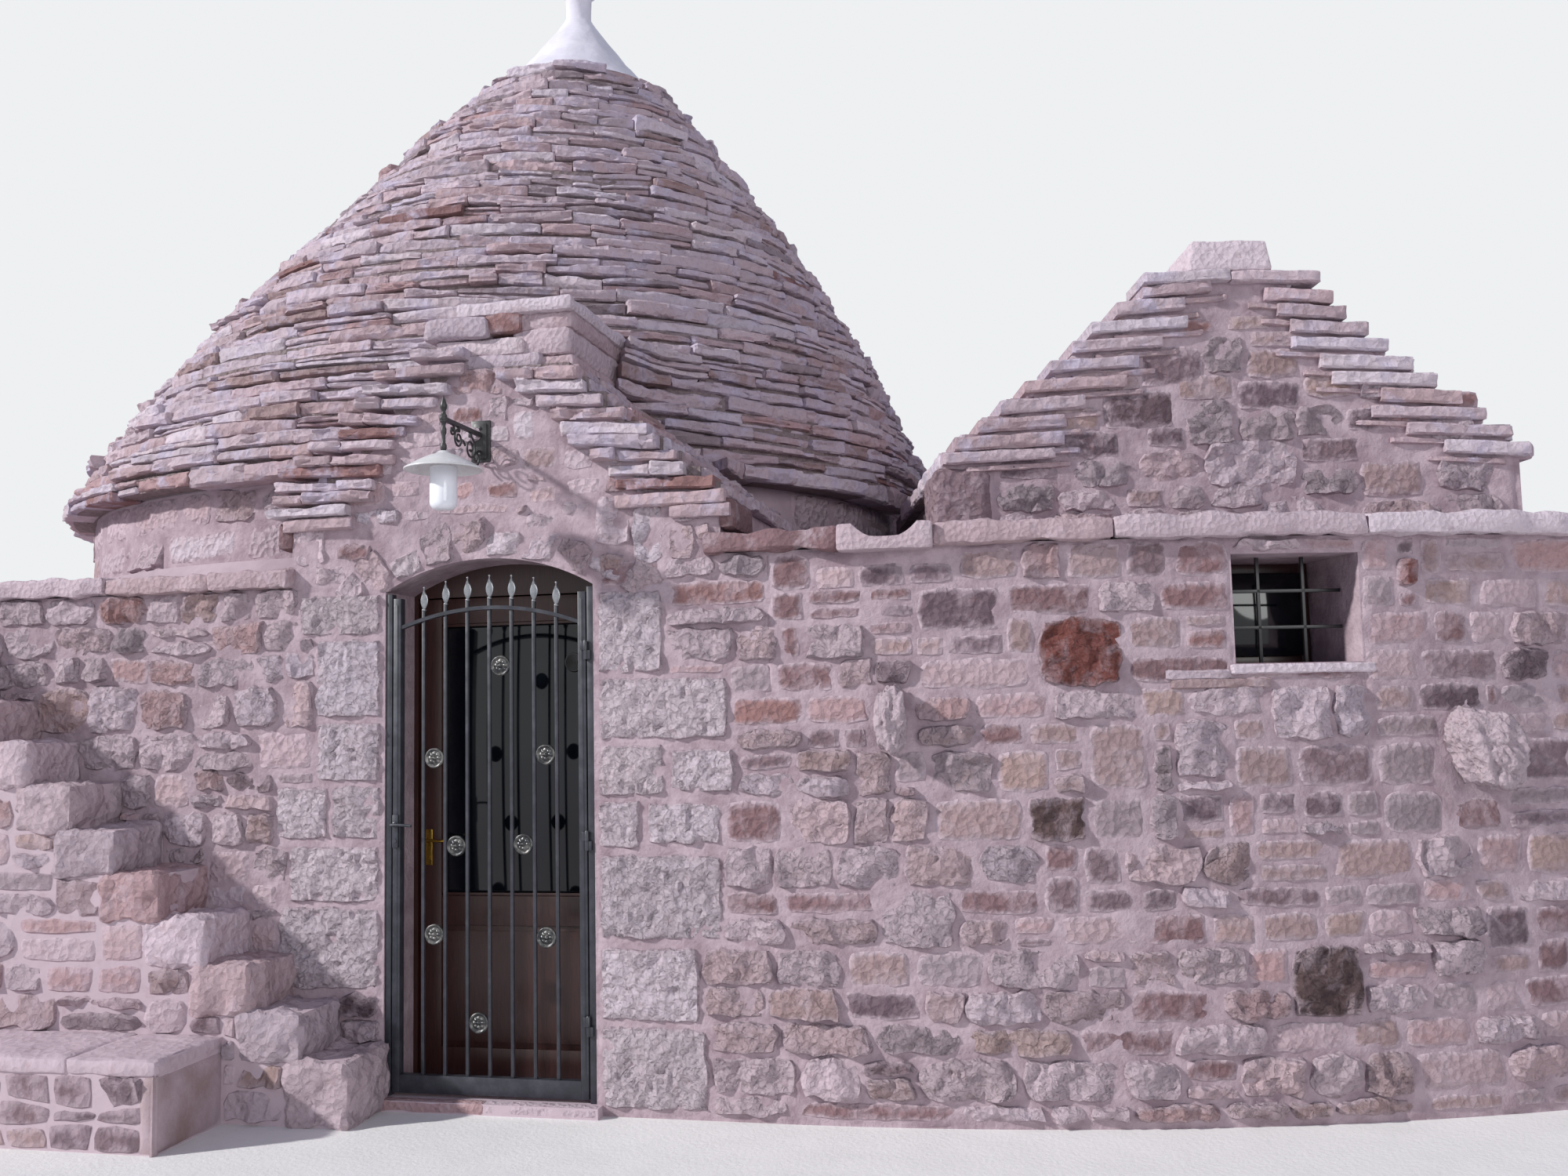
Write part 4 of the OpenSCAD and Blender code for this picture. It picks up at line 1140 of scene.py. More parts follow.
@dataclass
class Coursing:
    """Splits a part of a face into stones, in rough courses.

    Heights and lengths are drawn between two bounds. Joints wobble and lean; a course higher than
    split_from is split in two at a split_share of its stones. Kept areas stay free for set stones.
    """

    rng: random.Random
    area: Patch
    kinds: Sequence[tuple[StoneKind, float]]
    course: tuple[float, float] = (0.11, 0.19)
    length: tuple[float, float] = (0.14, 0.40)
    wobble: float = 0.018
    lean: float = 0.018
    split_from: float = 0.15
    split_share: float = 0.16
    flush: float = 0.3
    proud: tuple[float, float] = (0.006, 0.017)
    kept: Sequence[Patch] = ()
    ends_at: Callable[[float], tuple[float, float]] | None = None
    given: Sequence[float] = ()
    calm: Callable[[float, float], float] | None = None

    def beds(self) -> list[float]:
        """Heights of the bed joints.

        Returns:
            The heights, from the area's foot to its top.
        """
        if self.given:
            return list(self.given)
        total = self.area.high - self.area.low
        heights = []
        while sum(heights) < total:
            heights.append(self.rng.uniform(*self.course))
        scale = total / sum(heights)
        beds = [self.area.low]
        for h in heights:
            beds.append(beds[-1] + h * scale)
        return beds

    def bed(self, beds: list[float], k: int, along: float) -> float:
        """Height of a bed joint at a place along the face."""
        if k in (0, len(beds) - 1):
            return beds[k]
        return beds[k] + self.wobble * noise.noise(Vector((along * 1.7, k * 3.1, 7.0)))

    def spans(self, low: float, high: float) -> Iterator[tuple[float, float, float, float]]:
        """Free lengths of one course, each with the heights that are free there.

        Args:
            low: Height of the course's lower bed.
            high: Height of its upper bed.

        Returns:
            From, to, lower and upper height of each length.
        """
        a, b = self.ends_at((low + high) / 2) if self.ends_at else (self.area.a, self.area.b)
        cuts = sorted({a, b, *(x for p in self.kept if p.low < high and p.high > low for x in (p.a, p.b)
                               if a < x < b)})
        for start, end in zip(cuts, cuts[1:]):
            mid = (start + end) / 2
            bottom, top = low, high
            for p in self.kept:
                if p.a < mid < p.b and p.low < top and p.high > bottom:
                    under, over = p.low - bottom, top - p.high
                    if under >= over:
                        top = min(top, p.low)
                    else:
                        bottom = max(bottom, p.high)
            if top - bottom > 0.05 and end - start > 0.06:
                yield start, end, bottom, top

    def stones(self) -> Iterator[Stone]:
        """Every stone of the area."""
        beds = self.beds()
        for k in range(len(beds) - 1):
            for start, end, low, high in self.spans(beds[k], beds[k + 1]):
                yield from self.row(beds, k, start, end, low, high)

    def row(self, beds: list[float], k: int, start: float, end: float, low: float,
            high: float) -> Iterator[Stone]:
        """The stones of one free length of a course.

        Args:
            beds: Heights of the bed joints.
            k: Number of the course.
            start: Where the length begins.
            end: Where it ends.
            low: Its lower height.
            high: Its upper height.

        Returns:
            The stones.
        """
        cuts = [start]
        while cuts[-1] < end:
            cuts.append(cuts[-1] + self.rng.uniform(*self.length) * (0.75 + 2.2 * (high - low)))
        shrink = (end - start) / (cuts[-1] - start)
        if shrink < 0.72 and len(cuts) > 2:
            cuts.pop()
            shrink = (end - start) / (cuts[-1] - start)
        cuts = [start + (c - start) * shrink for c in cuts]
        leans = [0.0, *(self.rng.uniform(-self.lean, self.lean) for _ in cuts[1:-1]), 0.0]

        def at(n: int, top: bool) -> tuple[float, float]:
            """A corner on a joint, at its foot or top."""
            s = cuts[n] + (leans[n] if top else -leans[n])
            if top:
                return s, (self.bed(beds, k + 1, s) if high == beds[k + 1] else high)
            return s, (self.bed(beds, k, s) if low == beds[k] else low)

        for n in range(len(cuts) - 1):
            corners = [at(n, False), at(n + 1, False), at(n + 1, True), at(n, True)]
            if high - low > self.split_from and self.rng.random() < self.split_share:
                share = self.rng.uniform(0.38, 0.62)
                left = tuple(x + (y - x) * share for x, y in zip(corners[0], corners[3]))
                right = tuple(x + (y - x) * (share + self.rng.uniform(-0.06, 0.06))
                              for x, y in zip(corners[1], corners[2]))
                yield self.stone([corners[0], corners[1], right, left])
                yield self.stone([left, right, corners[2], corners[3]])
            else:
                yield self.stone(corners)

    def stone(self, corners: list[tuple[float, float]]) -> Stone:
        """A stone with this outline and a kind and dressing by chance.

        Args:
            corners: Its corners along and up the face, from the lower left one round.

        Returns:
            The stone.
        """
        (x, y), (far_x, far_y) = corners[0], corners[2]
        share = self.calm((x + far_x) / 2, (y + far_y) / 2) if self.calm else self.flush
        dressing = FLUSH if self.rng.random() < share else BROKEN
        calm = self.calm and dressing is FLUSH
        kinds, weights = zip(*(CALM_KINDS if calm else self.kinds))
        kind = self.rng.choices(kinds, weights)[0]
        proud = 0.008 if dressing is FLUSH else self.rng.uniform(*self.proud)
        jitter = tuple((x + self.rng.uniform(-0.004, 0.004), y + self.rng.uniform(-0.003, 0.003))
                       for x, y in corners)
        return Stone(jitter, kind, dressing, proud, self.rng.uniform(0.25, 0.8))


FIELD_KINDS = (
    (PALE, 0.48), (WARM, 0.22), (TAN, 0.08), (PINK, 0.08), (GREY, 0.05), (UMBER, 0.02), (BROWN, 0.03),
    (OCHRE, 0.02), (TERRACOTTA, 0.012), (DARK, 0.01))
CALM_KINDS = (
    (TAN, 0.26), (BROWN, 0.18), (PINK, 0.17), (WARM, 0.15), (GREY, 0.10), (UMBER, 0.08), (DARK, 0.03),
    (OCHRE, 0.03))
PORTAL_KINDS = (
    (PALE, 0.45), (WARM, 0.30), (WHITE, 0.12), (PINK, 0.08), (TAN, 0.05))
DRUM_KINDS = ((PALE, 0.5), (WARM, 0.3), (WHITE, 0.2))
SLAB_KINDS = (
    (PALE, 0.58), (WHITE, 0.15), (WARM, 0.16), (PINK, 0.045), (GREY, 0.03), (TAN, 0.025),
    (TERRACOTTA, 0.006))


def settle(marks: Sequence[tuple[StoneKind, Patch]], beds: Sequence[float], blocks: Sequence[Patch],
           near: float = 0.05, gap: float = 0.09) -> list[tuple[StoneKind, Patch]]:
    """Moves the edges of set stones onto near bed joints and closes narrow gaps beside them.

    Args:
        marks: The stones with their places.
        beds: Heights of the bed joints.
        blocks: Other set stones, which stay as they are.
        near: How far a stone's top or foot may move.
        gap: Widest gap that is closed.

    Returns:
        The stones with their new places.
    """
    level = []
    for kind, p in marks:
        low, high = (min(beds, key=lambda z, e=edge: abs(z - e)) for edge in (p.low, p.high))
        low = low if abs(low - p.low) < near else p.low
        high = high if abs(high - p.high) < near else p.high
        level.append((kind, Patch(p.a, p.b, low, high) if high - low > 0.05 else p))
    done = []
    others = [p for _, p in level] + list(blocks)
    for kind, p in level:
        a, b = p.a, p.b
        for q in others:
            if q is p or min(p.high, q.high) - max(p.low, q.low) < 0.03:
                continue
            share = 1.0 if q in blocks else 0.5
            if 0 < p.a - q.b < gap:
                a = min(a, p.a - (p.a - q.b) * share)
            if 0 < q.a - p.b < gap:
                b = max(b, p.b + (q.a - p.b) * share)
        done.append((kind, Patch(a, b, p.low, p.high)))
    return done


def mortar_skin(bm: BMesh, face: Face, patch: Patch, cell: float = 0.025,
                thick: float = 0.001, wave: float = 0.004, rows: int = 0) -> None:
    """Adds a hand-spread coat of mortar over a part of a face.

    Args:
        bm: The mesh that takes it.
        face: The wall face.
        patch: The part of the face.
        cell: Grid size.
        thick: Mean thickness over the core.
        wave: Height of the unevenness.
        rows: Number of grid rows, where the patch's height isn't in metres.
    """
    sunk, thinnest, depth = -0.002, 0.0006, 0.01
    across = max(2, round((patch.b - patch.a) / cell))
    up = rows or max(2, round((patch.high - patch.low) / cell))
    made = bmesh.ops.create_grid(bm, x_segments=across, y_segments=up, size=0.5)["verts"]
    rim = list({e for v in made for e in v.link_edges if e.is_boundary})
    edge = {v for e in rim for v in e.verts}
    for v in made:
        s = patch.a + (v.co.x + 0.5) * (patch.b - patch.a)
        z = patch.low + (v.co.y + 0.5) * (patch.high - patch.low)
        spot = face.at(s, z, 0.0)
        out = thick + noise.noise(spot / 0.13) * wave + ridges(spot / 0.06) * wave * 0.35
        v.co = face.at(s, z, sunk if v in edge else max(out, thinnest))
    turned = bmesh.ops.extrude_edge_only(bm, edges=rim)["geom"]
    back = [v for v in turned if isinstance(v, BMVert)]
    middle = face.at((patch.a + patch.b) / 2, (patch.low + patch.high) / 2, -0.5)
    outer = face.at((patch.a + patch.b) / 2, (patch.low + patch.high) / 2, 0.0)
    bmesh.ops.translate(bm, verts=back, vec=(middle - outer).normalized() * depth)
    loop = [e for e in turned if isinstance(e, BMEdge) and e.is_boundary]
    bmesh.ops.holes_fill(bm, edges=loop, sides=0)


def spread(bm: BMesh, name: str, finish: Finish = MORTAR) -> None:
    """Turns the coats of mortar in a mesh into a piece of the house."""
    bmesh.ops.recalc_face_normals(bm, faces=bm.faces)
    as_piece(bm, name, finish, HOUSE)


@dataclass
class FrontWalls:
    """The door wall and the bowed wall of the wing, with their corner blocks and coloured stones."""

    cell: float = 0.019
    # Hewn blocks beside the doorway, on the door wall
    left_blocks: tuple[Patch, ...] = (
        Patch(0.08, 0.570, 0.48, 0.84), Patch(0.13, 0.570, 0.85, 1.10), Patch(0.06, 0.32, 1.12, 1.36),
        Patch(0.33, 0.570, 1.12, 1.36), Patch(0.25, 0.570, 1.37, 1.64), Patch(0.25, 0.570, 1.65, 2.00),
        Patch(0.17, 0.570, 2.01, 2.20))
    right_blocks: tuple[Patch, ...] = (
        Patch(1.560, 2.03, 0.03, 0.37), Patch(1.560, 2.00, 0.38, 0.69), Patch(1.560, 2.10, 0.71, 1.07),
        Patch(1.560, 1.75, 1.08, 1.29), Patch(1.77, 2.10, 1.10, 1.28), Patch(1.560, 1.86, 1.30, 1.52),
        Patch(1.88, 2.16, 1.31, 1.50), Patch(1.560, 2.137, 1.53, 1.80), Patch(1.560, 1.86, 1.81, 2.17))
    window: Patch = Patch(1.885, 2.41, 1.795, 2.235)
    # Heights of the bed joints right of the doorway
    beds: tuple[float, ...] = (0.02, 0.10, 0.27, 0.40, 0.53, 0.69, 0.82, 0.925, 1.10, 1.29, 1.48, 1.58,
                               1.71, 1.85, 2.00, 2.14, 2.30)
    # Conspicuous stones by colour: from and to along the wall from its bend, from and to up it
    set_stones: dict = field(default_factory=lambda: {
        TERRACOTTA: ((-0.43, -0.02, 2.08, 2.20), (-0.08, 0.12, 1.59, 1.70), (1.70, 1.86, 1.81, 1.94)),
        BROWN: ((0.04, 0.15, 2.01, 2.10), (0.18, 0.39, 2.07, 2.17), (0.43, 0.59, 2.07, 2.17),
            (0.43, 0.59, 1.94, 2.05), (1.00, 1.31, 1.99, 2.13), (0.04, 0.29, 1.71, 1.87),
            (-0.19, 0.05, 1.09, 1.27), (1.60, 1.82, 0.17, 0.28), (0.06, 0.74, 0.01, 0.10)),
        DARK: ((0.63, 0.94, 1.94, 2.16), (1.47, 1.62, 0.84, 0.97), (1.62, 1.82, 1.16, 1.32),
            (1.94, 2.09, 1.19, 1.32), (2.13, 2.28, 1.17, 1.31), (2.62, 2.92, 1.63, 1.71),
            (2.85, 3.06, 0.63, 0.77)),
        ORANGE: ((1.09, 1.42, 1.73, 1.98), (2.56, 2.66, 2.08, 2.21)),
        PINK: ((0.18, 0.43, 1.58, 1.68), (1.87, 2.02, 0.54, 0.65), (0.96, 1.13, 0.74, 0.82)),
        UMBER: ((0.15, 0.29, 1.44, 1.56), (0.32, 0.41, 1.49, 1.56), (1.08, 1.22, 0.84, 0.98),
            (1.25, 1.44, 0.83, 0.97), (2.11, 2.41, 1.33, 1.48), (1.47, 1.64, 2.15, 2.25)),
        GREY: ((-0.17, 0.01, 1.73, 1.83), (0.52, 0.65, 1.34, 1.47), (1.29, 1.51, 1.12, 1.29),
            (2.31, 2.44, 1.17, 1.30), (2.45, 2.69, 1.31, 1.47), (1.26, 1.40, 0.51, 0.63),
            (0.57, 0.83, 0.51, 0.64), (2.35, 2.59, 0.77, 0.92)),
        OCHRE: ((0.91, 1.14, 1.33, 1.49),),
        TAN: ((1.27, 1.53, 1.31, 1.54), (0.65, 1.00, 1.13, 1.31), (1.21, 1.44, 2.15, 2.26),
            (1.46, 1.66, 1.81, 1.98), (2.77, 3.06, 2.15, 2.24), (1.87, 2.09, 1.33, 1.47),
            (1.73, 1.92, 0.70, 0.80), (1.91, 2.22, 0.90, 1.01), (0.31, 0.56, 0.54, 0.67),
            (2.23, 2.56, 0.94, 1.12)),
        EARTH: ((1.07, 1.26, 1.13, 1.29), (2.06, 2.33, 0.41, 0.64)),
        WARM: ((0.07, 0.33, 1.09, 1.28), (0.35, 0.49, 1.09, 1.25), (0.55, 0.83, 0.94, 1.10),
            (0.35, 0.49, 1.32, 1.46), (-0.27, -0.03, 0.54, 0.72), (-0.13, 0.05, 1.85, 1.97)),
        PALE: ((1.36, 1.58, 1.99, 2.13), (0.15, 0.40, 1.90, 2.00), (0.03, 0.24, 0.93, 1.06),
            (0.28, 0.53, 0.93, 1.06), (0.44, 0.74, 0.72, 0.92), (2.01, 2.25, 1.50, 1.70),
            (1.62, 1.83, 1.34, 1.60), (2.28, 2.43, 1.50, 1.68), (0.88, 1.20, 0.50, 0.67),
            (0.05, 0.27, 0.55, 0.72), (2.59, 2.83, 0.95, 1.11), (-0.18, -0.01, 0.93, 1.06))})

    def build(self) -> None:
        """Lays both walls and spreads their mortar."""
        self.left_wall()
        self.right_wall()
        self.wall_end()
        self.mortar()

    def left_wall(self) -> None:
        """The wall left of the doorway, above the stair."""
        work = Masonry("front_rubble_left", 11, self.cell)
        steps = tuple(Patch(-4.0, 0.60 - i * STAIR.going, 0.0, STAIR.top(i)) for i in range(STAIR.steps))
        bench = (Patch(-2.0, 0.03, 0.0, 0.35),)
        area = Patch(PLAN.left_x, 0.575, 0.02, PLAN.wall_top)
        coursing = Coursing(work.rng, area, FIELD_KINDS, kept=(*steps, *bench, *self.left_blocks),
                            flush=0.12, proud=(0.010, 0.030), course=(0.13, 0.23), length=(0.13, 0.32),
                            wobble=0.035)
        work.fill(FRONT, coursing)
        for block in self.left_blocks:
            work.lay(FRONT, Stone.filling(block, WHITE, PECKED, 0.012, 0.12), 0.008)
        work.finish(RUBBLE, "limestone_wall")

    def right_wall(self) -> None:
        """The wall from the doorway round the bend to the wing's right end."""
        work = Masonry("front_rubble_right", 12, self.cell)
        shift = PLAN.bend_x
        blocks = tuple(Patch(p.a - shift, p.b - shift, p.low, p.high) for p in self.right_blocks)
        marks = tuple((kind, Patch(*spot)) for kind, spots in self.set_stones.items() for spot in spots)
        seats = (Patch(0.44, 0.60, 1.45, 1.74), Patch(2.72, 2.98, 1.25, 1.60),
                 Patch(0.20, 0.78, 2.24, 2.31))
        area = Patch(1.552 - shift, 3.51, 0.02, PLAN.wing_wall_top - 0.004)
        marks = settle(marks, self.beds, blocks)
        coursing = Coursing(work.rng, area, FIELD_KINDS, given=self.beds, length=(0.17, 0.42), wobble=0.022,
                            proud=(0.010, 0.032),
                            kept=(*blocks, *(m[1] for m in marks), self.window, *seats), calm=self.calm)
        work.fill(BOW, coursing)
        for block in blocks:
            work.lay(BOW, Stone.filling(block, WHITE, PECKED, 0.013, 0.14), 0.010)
        for kind, patch in marks:
            dressing = BROKEN if kind in (PALE, WARM, ORANGE, EARTH) else FLUSH
            proud = 0.022 if kind in (ORANGE, EARTH) else 0.016 if dressing is BROKEN else 0.009
            work.lay(BOW, Stone.filling(patch, kind, dressing, proud, work.rng.uniform(0.25, 0.7)), 0.006)
        work.finish(RUBBLE, "limestone_wall")

    def wall_end(self) -> None:
        """The strip of door wall left of the stair, beyond the photograph's edge."""
        work = Masonry("front_rubble_end", 13, self.cell)
        area = Patch(PLAN.left_x + 0.01, STAIR.end - 0.01, 0.02, PLAN.wall_top)
        coursing = Coursing(work.rng, area, FIELD_KINDS, flush=0.2, proud=(0.008, 0.018),
                            course=(0.12, 0.21), length=(0.16, 0.40))
        work.fill(FRONT, coursing)
        work.finish(RUBBLE, "limestone_wall")

    def calm(self, along: float, up: float) -> float:
        """Share of stones that lie flush in the mortar: more of them high up and to the right."""
        return min(0.85, max(0.12, 0.10 + 0.22 * along + 0.34 * (up - 0.9)))

    def mortar(self) -> None:
        """Mortar between and round the stones of both walls."""
        bm = bmesh.new()
        mortar_skin(bm, FRONT, Patch(PLAN.left_x, 0.583, 0.0, PLAN.wall_top), wave=0.008)
        top = PLAN.wing_wall_top
        for patch in (Patch(1.547 - PLAN.bend_x, -0.001, 0.0, 2.2), Patch(0.0, self.window.a, 0.0, top),
                      Patch(self.window.a, self.window.b, 0.0, self.window.low - 0.001),
                      Patch(self.window.a, self.window.b, PLAN.wall_top + 0.002, top),
                      Patch(self.window.b, 3.525, 0.0, top)):
            mortar_skin(bm, BOW, patch, wave=0.008)
        spread(bm, "front_mortar")


@dataclass(frozen=True)
class StairSizes:
    """Steps against the door wall."""

    steps: int = 12
    going: float = 0.22
    first: float = 0.26
    x: float = 0.60
    width: float = 0.32

    @property
    def rise(self) -> float:
        """Height of each step above the first."""
        return (PLAN.wall_top + PLAN.coping_t - self.first) / (self.steps - 1)

    @property
    def end(self) -> float:
        """Where the highest step stops on the left."""
        return self.x - self.steps * self.going - 0.10

    def top(self, step: int) -> float:
        """Height of a tread."""
        return self.first + step * self.rise


STAIR = StairSizes()


@dataclass
class PlainWalls:
    """Sides and back of the house, in the same rubble as the front."""

    cell: float = 0.034

    def build(self) -> None:
        """Lays each wall face and its mortar."""
        p = PLAN
        faces = (
            ("left_rubble", StraightFace(p.left_x, p.back_y, -math.pi / 2),
             Patch(0.01, p.back_y - p.front_y - 0.01, 0.02, p.wall_top), 21),
            ("back_rubble", StraightFace(p.right_x, p.back_y, math.pi),
             Patch(0.01, p.right_x - p.left_x - 0.01, 0.02, p.wall_top), 22),
            ("right_rubble", StraightFace(p.right_x, -0.05, math.pi / 2),
             Patch(0.02, p.back_y + 0.04, 0.02, p.wall_top), 23),
            ("wing_back_rubble", wing_face(p.wing_l, p.wing_d, math.pi),
             Patch(0.01, 2.98, 0.02, p.wing_wall_top), 24),
            ("wing_right_rubble", wing_face(p.wing_l, 0.0, math.pi / 2),
             Patch(0.03, p.wing_d - 0.01, 0.02, p.wing_wall_top), 25),
        )
        skin = bmesh.new()
        for name, face, patch, seed in faces:
            work = Masonry(name, seed, self.cell)
            coursing = Coursing(work.rng, patch, FIELD_KINDS, flush=0.2, course=(0.12, 0.21),
                                length=(0.16, 0.42), proud=(0.006, 0.014))
            work.fill(face, coursing)
            work.finish(RUBBLE, "limestone_wall")
            mortar_skin(skin, face, Patch(patch.a - 0.008, patch.b + 0.008, 0.0, patch.high), cell=0.06)
        spread(skin, "side_mortar")


@dataclass(frozen=True)
class SwungFace(RoundFace):
    """A course of the cone that swings out where it meets the portal's flanks."""

    arc: tuple[float, float]
    swing: float
    reach: float = 0.42

    def at(self, along: float, up: float, out: float) -> Vector:
        """Stands further out near both ends of the portal's arc.

        Args:
            along: Distance along the face.
            up: Distance up it.
            out: Distance off it.

        Returns:
            The point in the row frame.
        """
        ends = (self.arc[0] * self.radius + 2 * math.pi * self.radius, self.arc[1] * self.radius)
        share = max(max(0.0, 1 - abs(along - end) / self.reach) for end in ends)
        return super().at(along, up, out + self.swing * share * share)


@dataclass
class ConeRoof:
    """The slab-covered cone: one ring of split slabs a course, with wavy beds."""

    wave: float = 0.023
    lift: float = 0.006
    gap: float = 0.008
    out: float = 0.030
    depth: float = 0.15
    lengths: tuple[float, float] = (0.16, 0.78)
    shortest: float = 0.13
    cap_half: float = 0.24
    cap_top: float = 3.48
    cap_back_y: float = -2.0

    def bed(self, course: int, turn: float) -> float:
        """Height of a bed joint at an angle round the cone.

        Args:
            course: Number of the course from the eave.
            turn: Angle round the cone from its front.

        Returns:
            The height.
        """
        z = PLAN.eave_z + course * PLAN.course_h
        if course == 0:
            return z - 0.004
        around = Vector((math.cos(turn) * 3.1, math.sin(turn) * 3.1, course * 0.37))
        short = Vector((math.cos(turn) * 9.0, math.sin(turn) * 9.0, course * 1.7))
        return z + self.lift + self.wave * (noise.noise(around) * 1.3 + noise.noise(short) * 0.7)

    def portal_arc(self, course: int) -> tuple[float, float] | None:
        """Angles between which the portal's roof takes the place of a course.

        Args:
            course: Number of the course from the eave.

        Returns:
            First and last angle, or nothing where the course runs all round.
        """
        z = PLAN.eave_z + (course + 0.5) * PLAN.course_h
        k = int((z - PLAN.portal_eave_z) / PLAN.portal_slab_h)
        if k >= PLAN.portal_courses:
            half = self.cap_half if z < self.cap_top else 0.0
            centre_y = self.cap_back_y
        else:
            half = PLAN.portal_w(k)
            centre_y = PLAN.front_y
        r = PLAN.course_r(course)
        if half <= 0 or r < -centre_y * 0.9:
            return None
        ends = []
        for x in (PLAN.portal_x - half, PLAN.portal_x + half):
            share = (x - PLAN.course_x(course)) / r
            ends.append(math.asin(max(-1, min(1, share))))
        return ends[0] + 0.01, ends[1] - 0.01

    def build(self) -> None:
        """Lays the three bands that the frame has."""
        band = PLAN.cone_courses // 3
        ends = (0, band, 2 * band, PLAN.cone_courses)
        for n, name in enumerate(("cone_slabs_lower", "cone_slabs_middle", "cone_slabs_upper")):
            work = Masonry(name, 31 + n)
            for course in range(ends[n], ends[n + 1]):
                self.ring(work, course)
            work.finish(ROOF_SLAB, "limestone_slab")

    def ring(self, work: Masonry, course: int) -> None:
        """Lays one course round the cone, leaving out what the portal's roof covers.

        Args:
            work: The masonry that takes the slabs.
            course: Number of the course from the eave.
        """
        r = PLAN.course_r(course)
        arc = self.portal_arc(course)
        face = SwungFace(PLAN.course_x(course), 0.0, r, arc or (0.0, 0.0), 0.26 if arc else 0.0)
        start = arc[1] * r if arc else work.rng.uniform(0, 1)
        end = (arc[0] + 2 * math.pi) * r if arc else start + 2 * math.pi * r
        scale = 0.55 + 0.45 * r / PLAN.eave_r
        s = start
        kinds, weights = zip(*SLAB_KINDS)
        while s < end - 0.02:
            length = work.rng.triangular(*self.lengths, 0.32) * scale
            stop = end if end - (s + length) < self.shortest else s + length
            kind = work.rng.choices(kinds, weights)[0]
            turns = (s / r, stop / r)
            sag = work.rng.uniform(0.004, 0.022) if course == 0 else 0.0
            low = [self.bed(course, t) + self.gap + work.rng.uniform(-0.004, 0.012) - sag for t in turns]
            high = [self.bed(course + 1, t) + work.rng.uniform(-0.017, 0.005) for t in turns]
            out = max(0.010, self.out + work.rng.gauss(0, 0.017))
            a, b = s + work.rng.uniform(0.001, 0.004), stop - work.rng.uniform(0.001, 0.004)
            rough = work.rng.uniform(0.012, 0.026)
            if work.rng.random() < 0.16:
                split = work.rng.uniform(0.36, 0.64)
                mid = [x + (y - x) * split for x, y in zip(low, high)]
                work.lay_slab(face, a, b, tuple(low), (mid[0] - 0.002, mid[1] - 0.002), out - 0.008,
                              self.depth, work.rng.choices(kinds, weights)[0], rough * 0.7, 0.04)
                low = [m + 0.002 for m in mid]
            work.lay_slab(face, a, b, tuple(low), tuple(high), out, self.depth, kind, rough, 0.04)
            s = stop


@dataclass
class Drum:
    """The drum under the eave: two courses of large stones, smeared with lime."""

    cell: float = 0.035
    beds: tuple[float, ...] = (2.31, 2.42, 2.60, 2.795)

    def build(self) -> None:
        """Lays the stones round the drum outside the portal."""
        face = RoundFace(0.0, 0.0, PLAN.drum_r)
        r = PLAN.drum_r
        start = math.asin((PLAN.portal_x + PLAN.portal_half) / r) * r
        end = (math.asin((PLAN.portal_x - PLAN.portal_half) / r) + 2 * math.pi) * r
        work = Masonry("drum_stones", 41, self.cell)
        area = Patch(start, end, self.beds[0], self.beds[-1])
        coursing = Coursing(work.rng, area, DRUM_KINDS, given=self.beds, length=(0.2, 0.5), flush=0.7,
                            proud=(0.006, 0.012))
        work.fill(face, coursing, 0.012)
        work.finish(DRUM_STONE, "limestone_wall")
        skin = bmesh.new()
        mortar_skin(skin, face, Patch(start, end, self.beds[0] - 0.03, self.beds[-1]), 0.05, 0.003, 0.005)
        spread(skin, "drum_mortar")


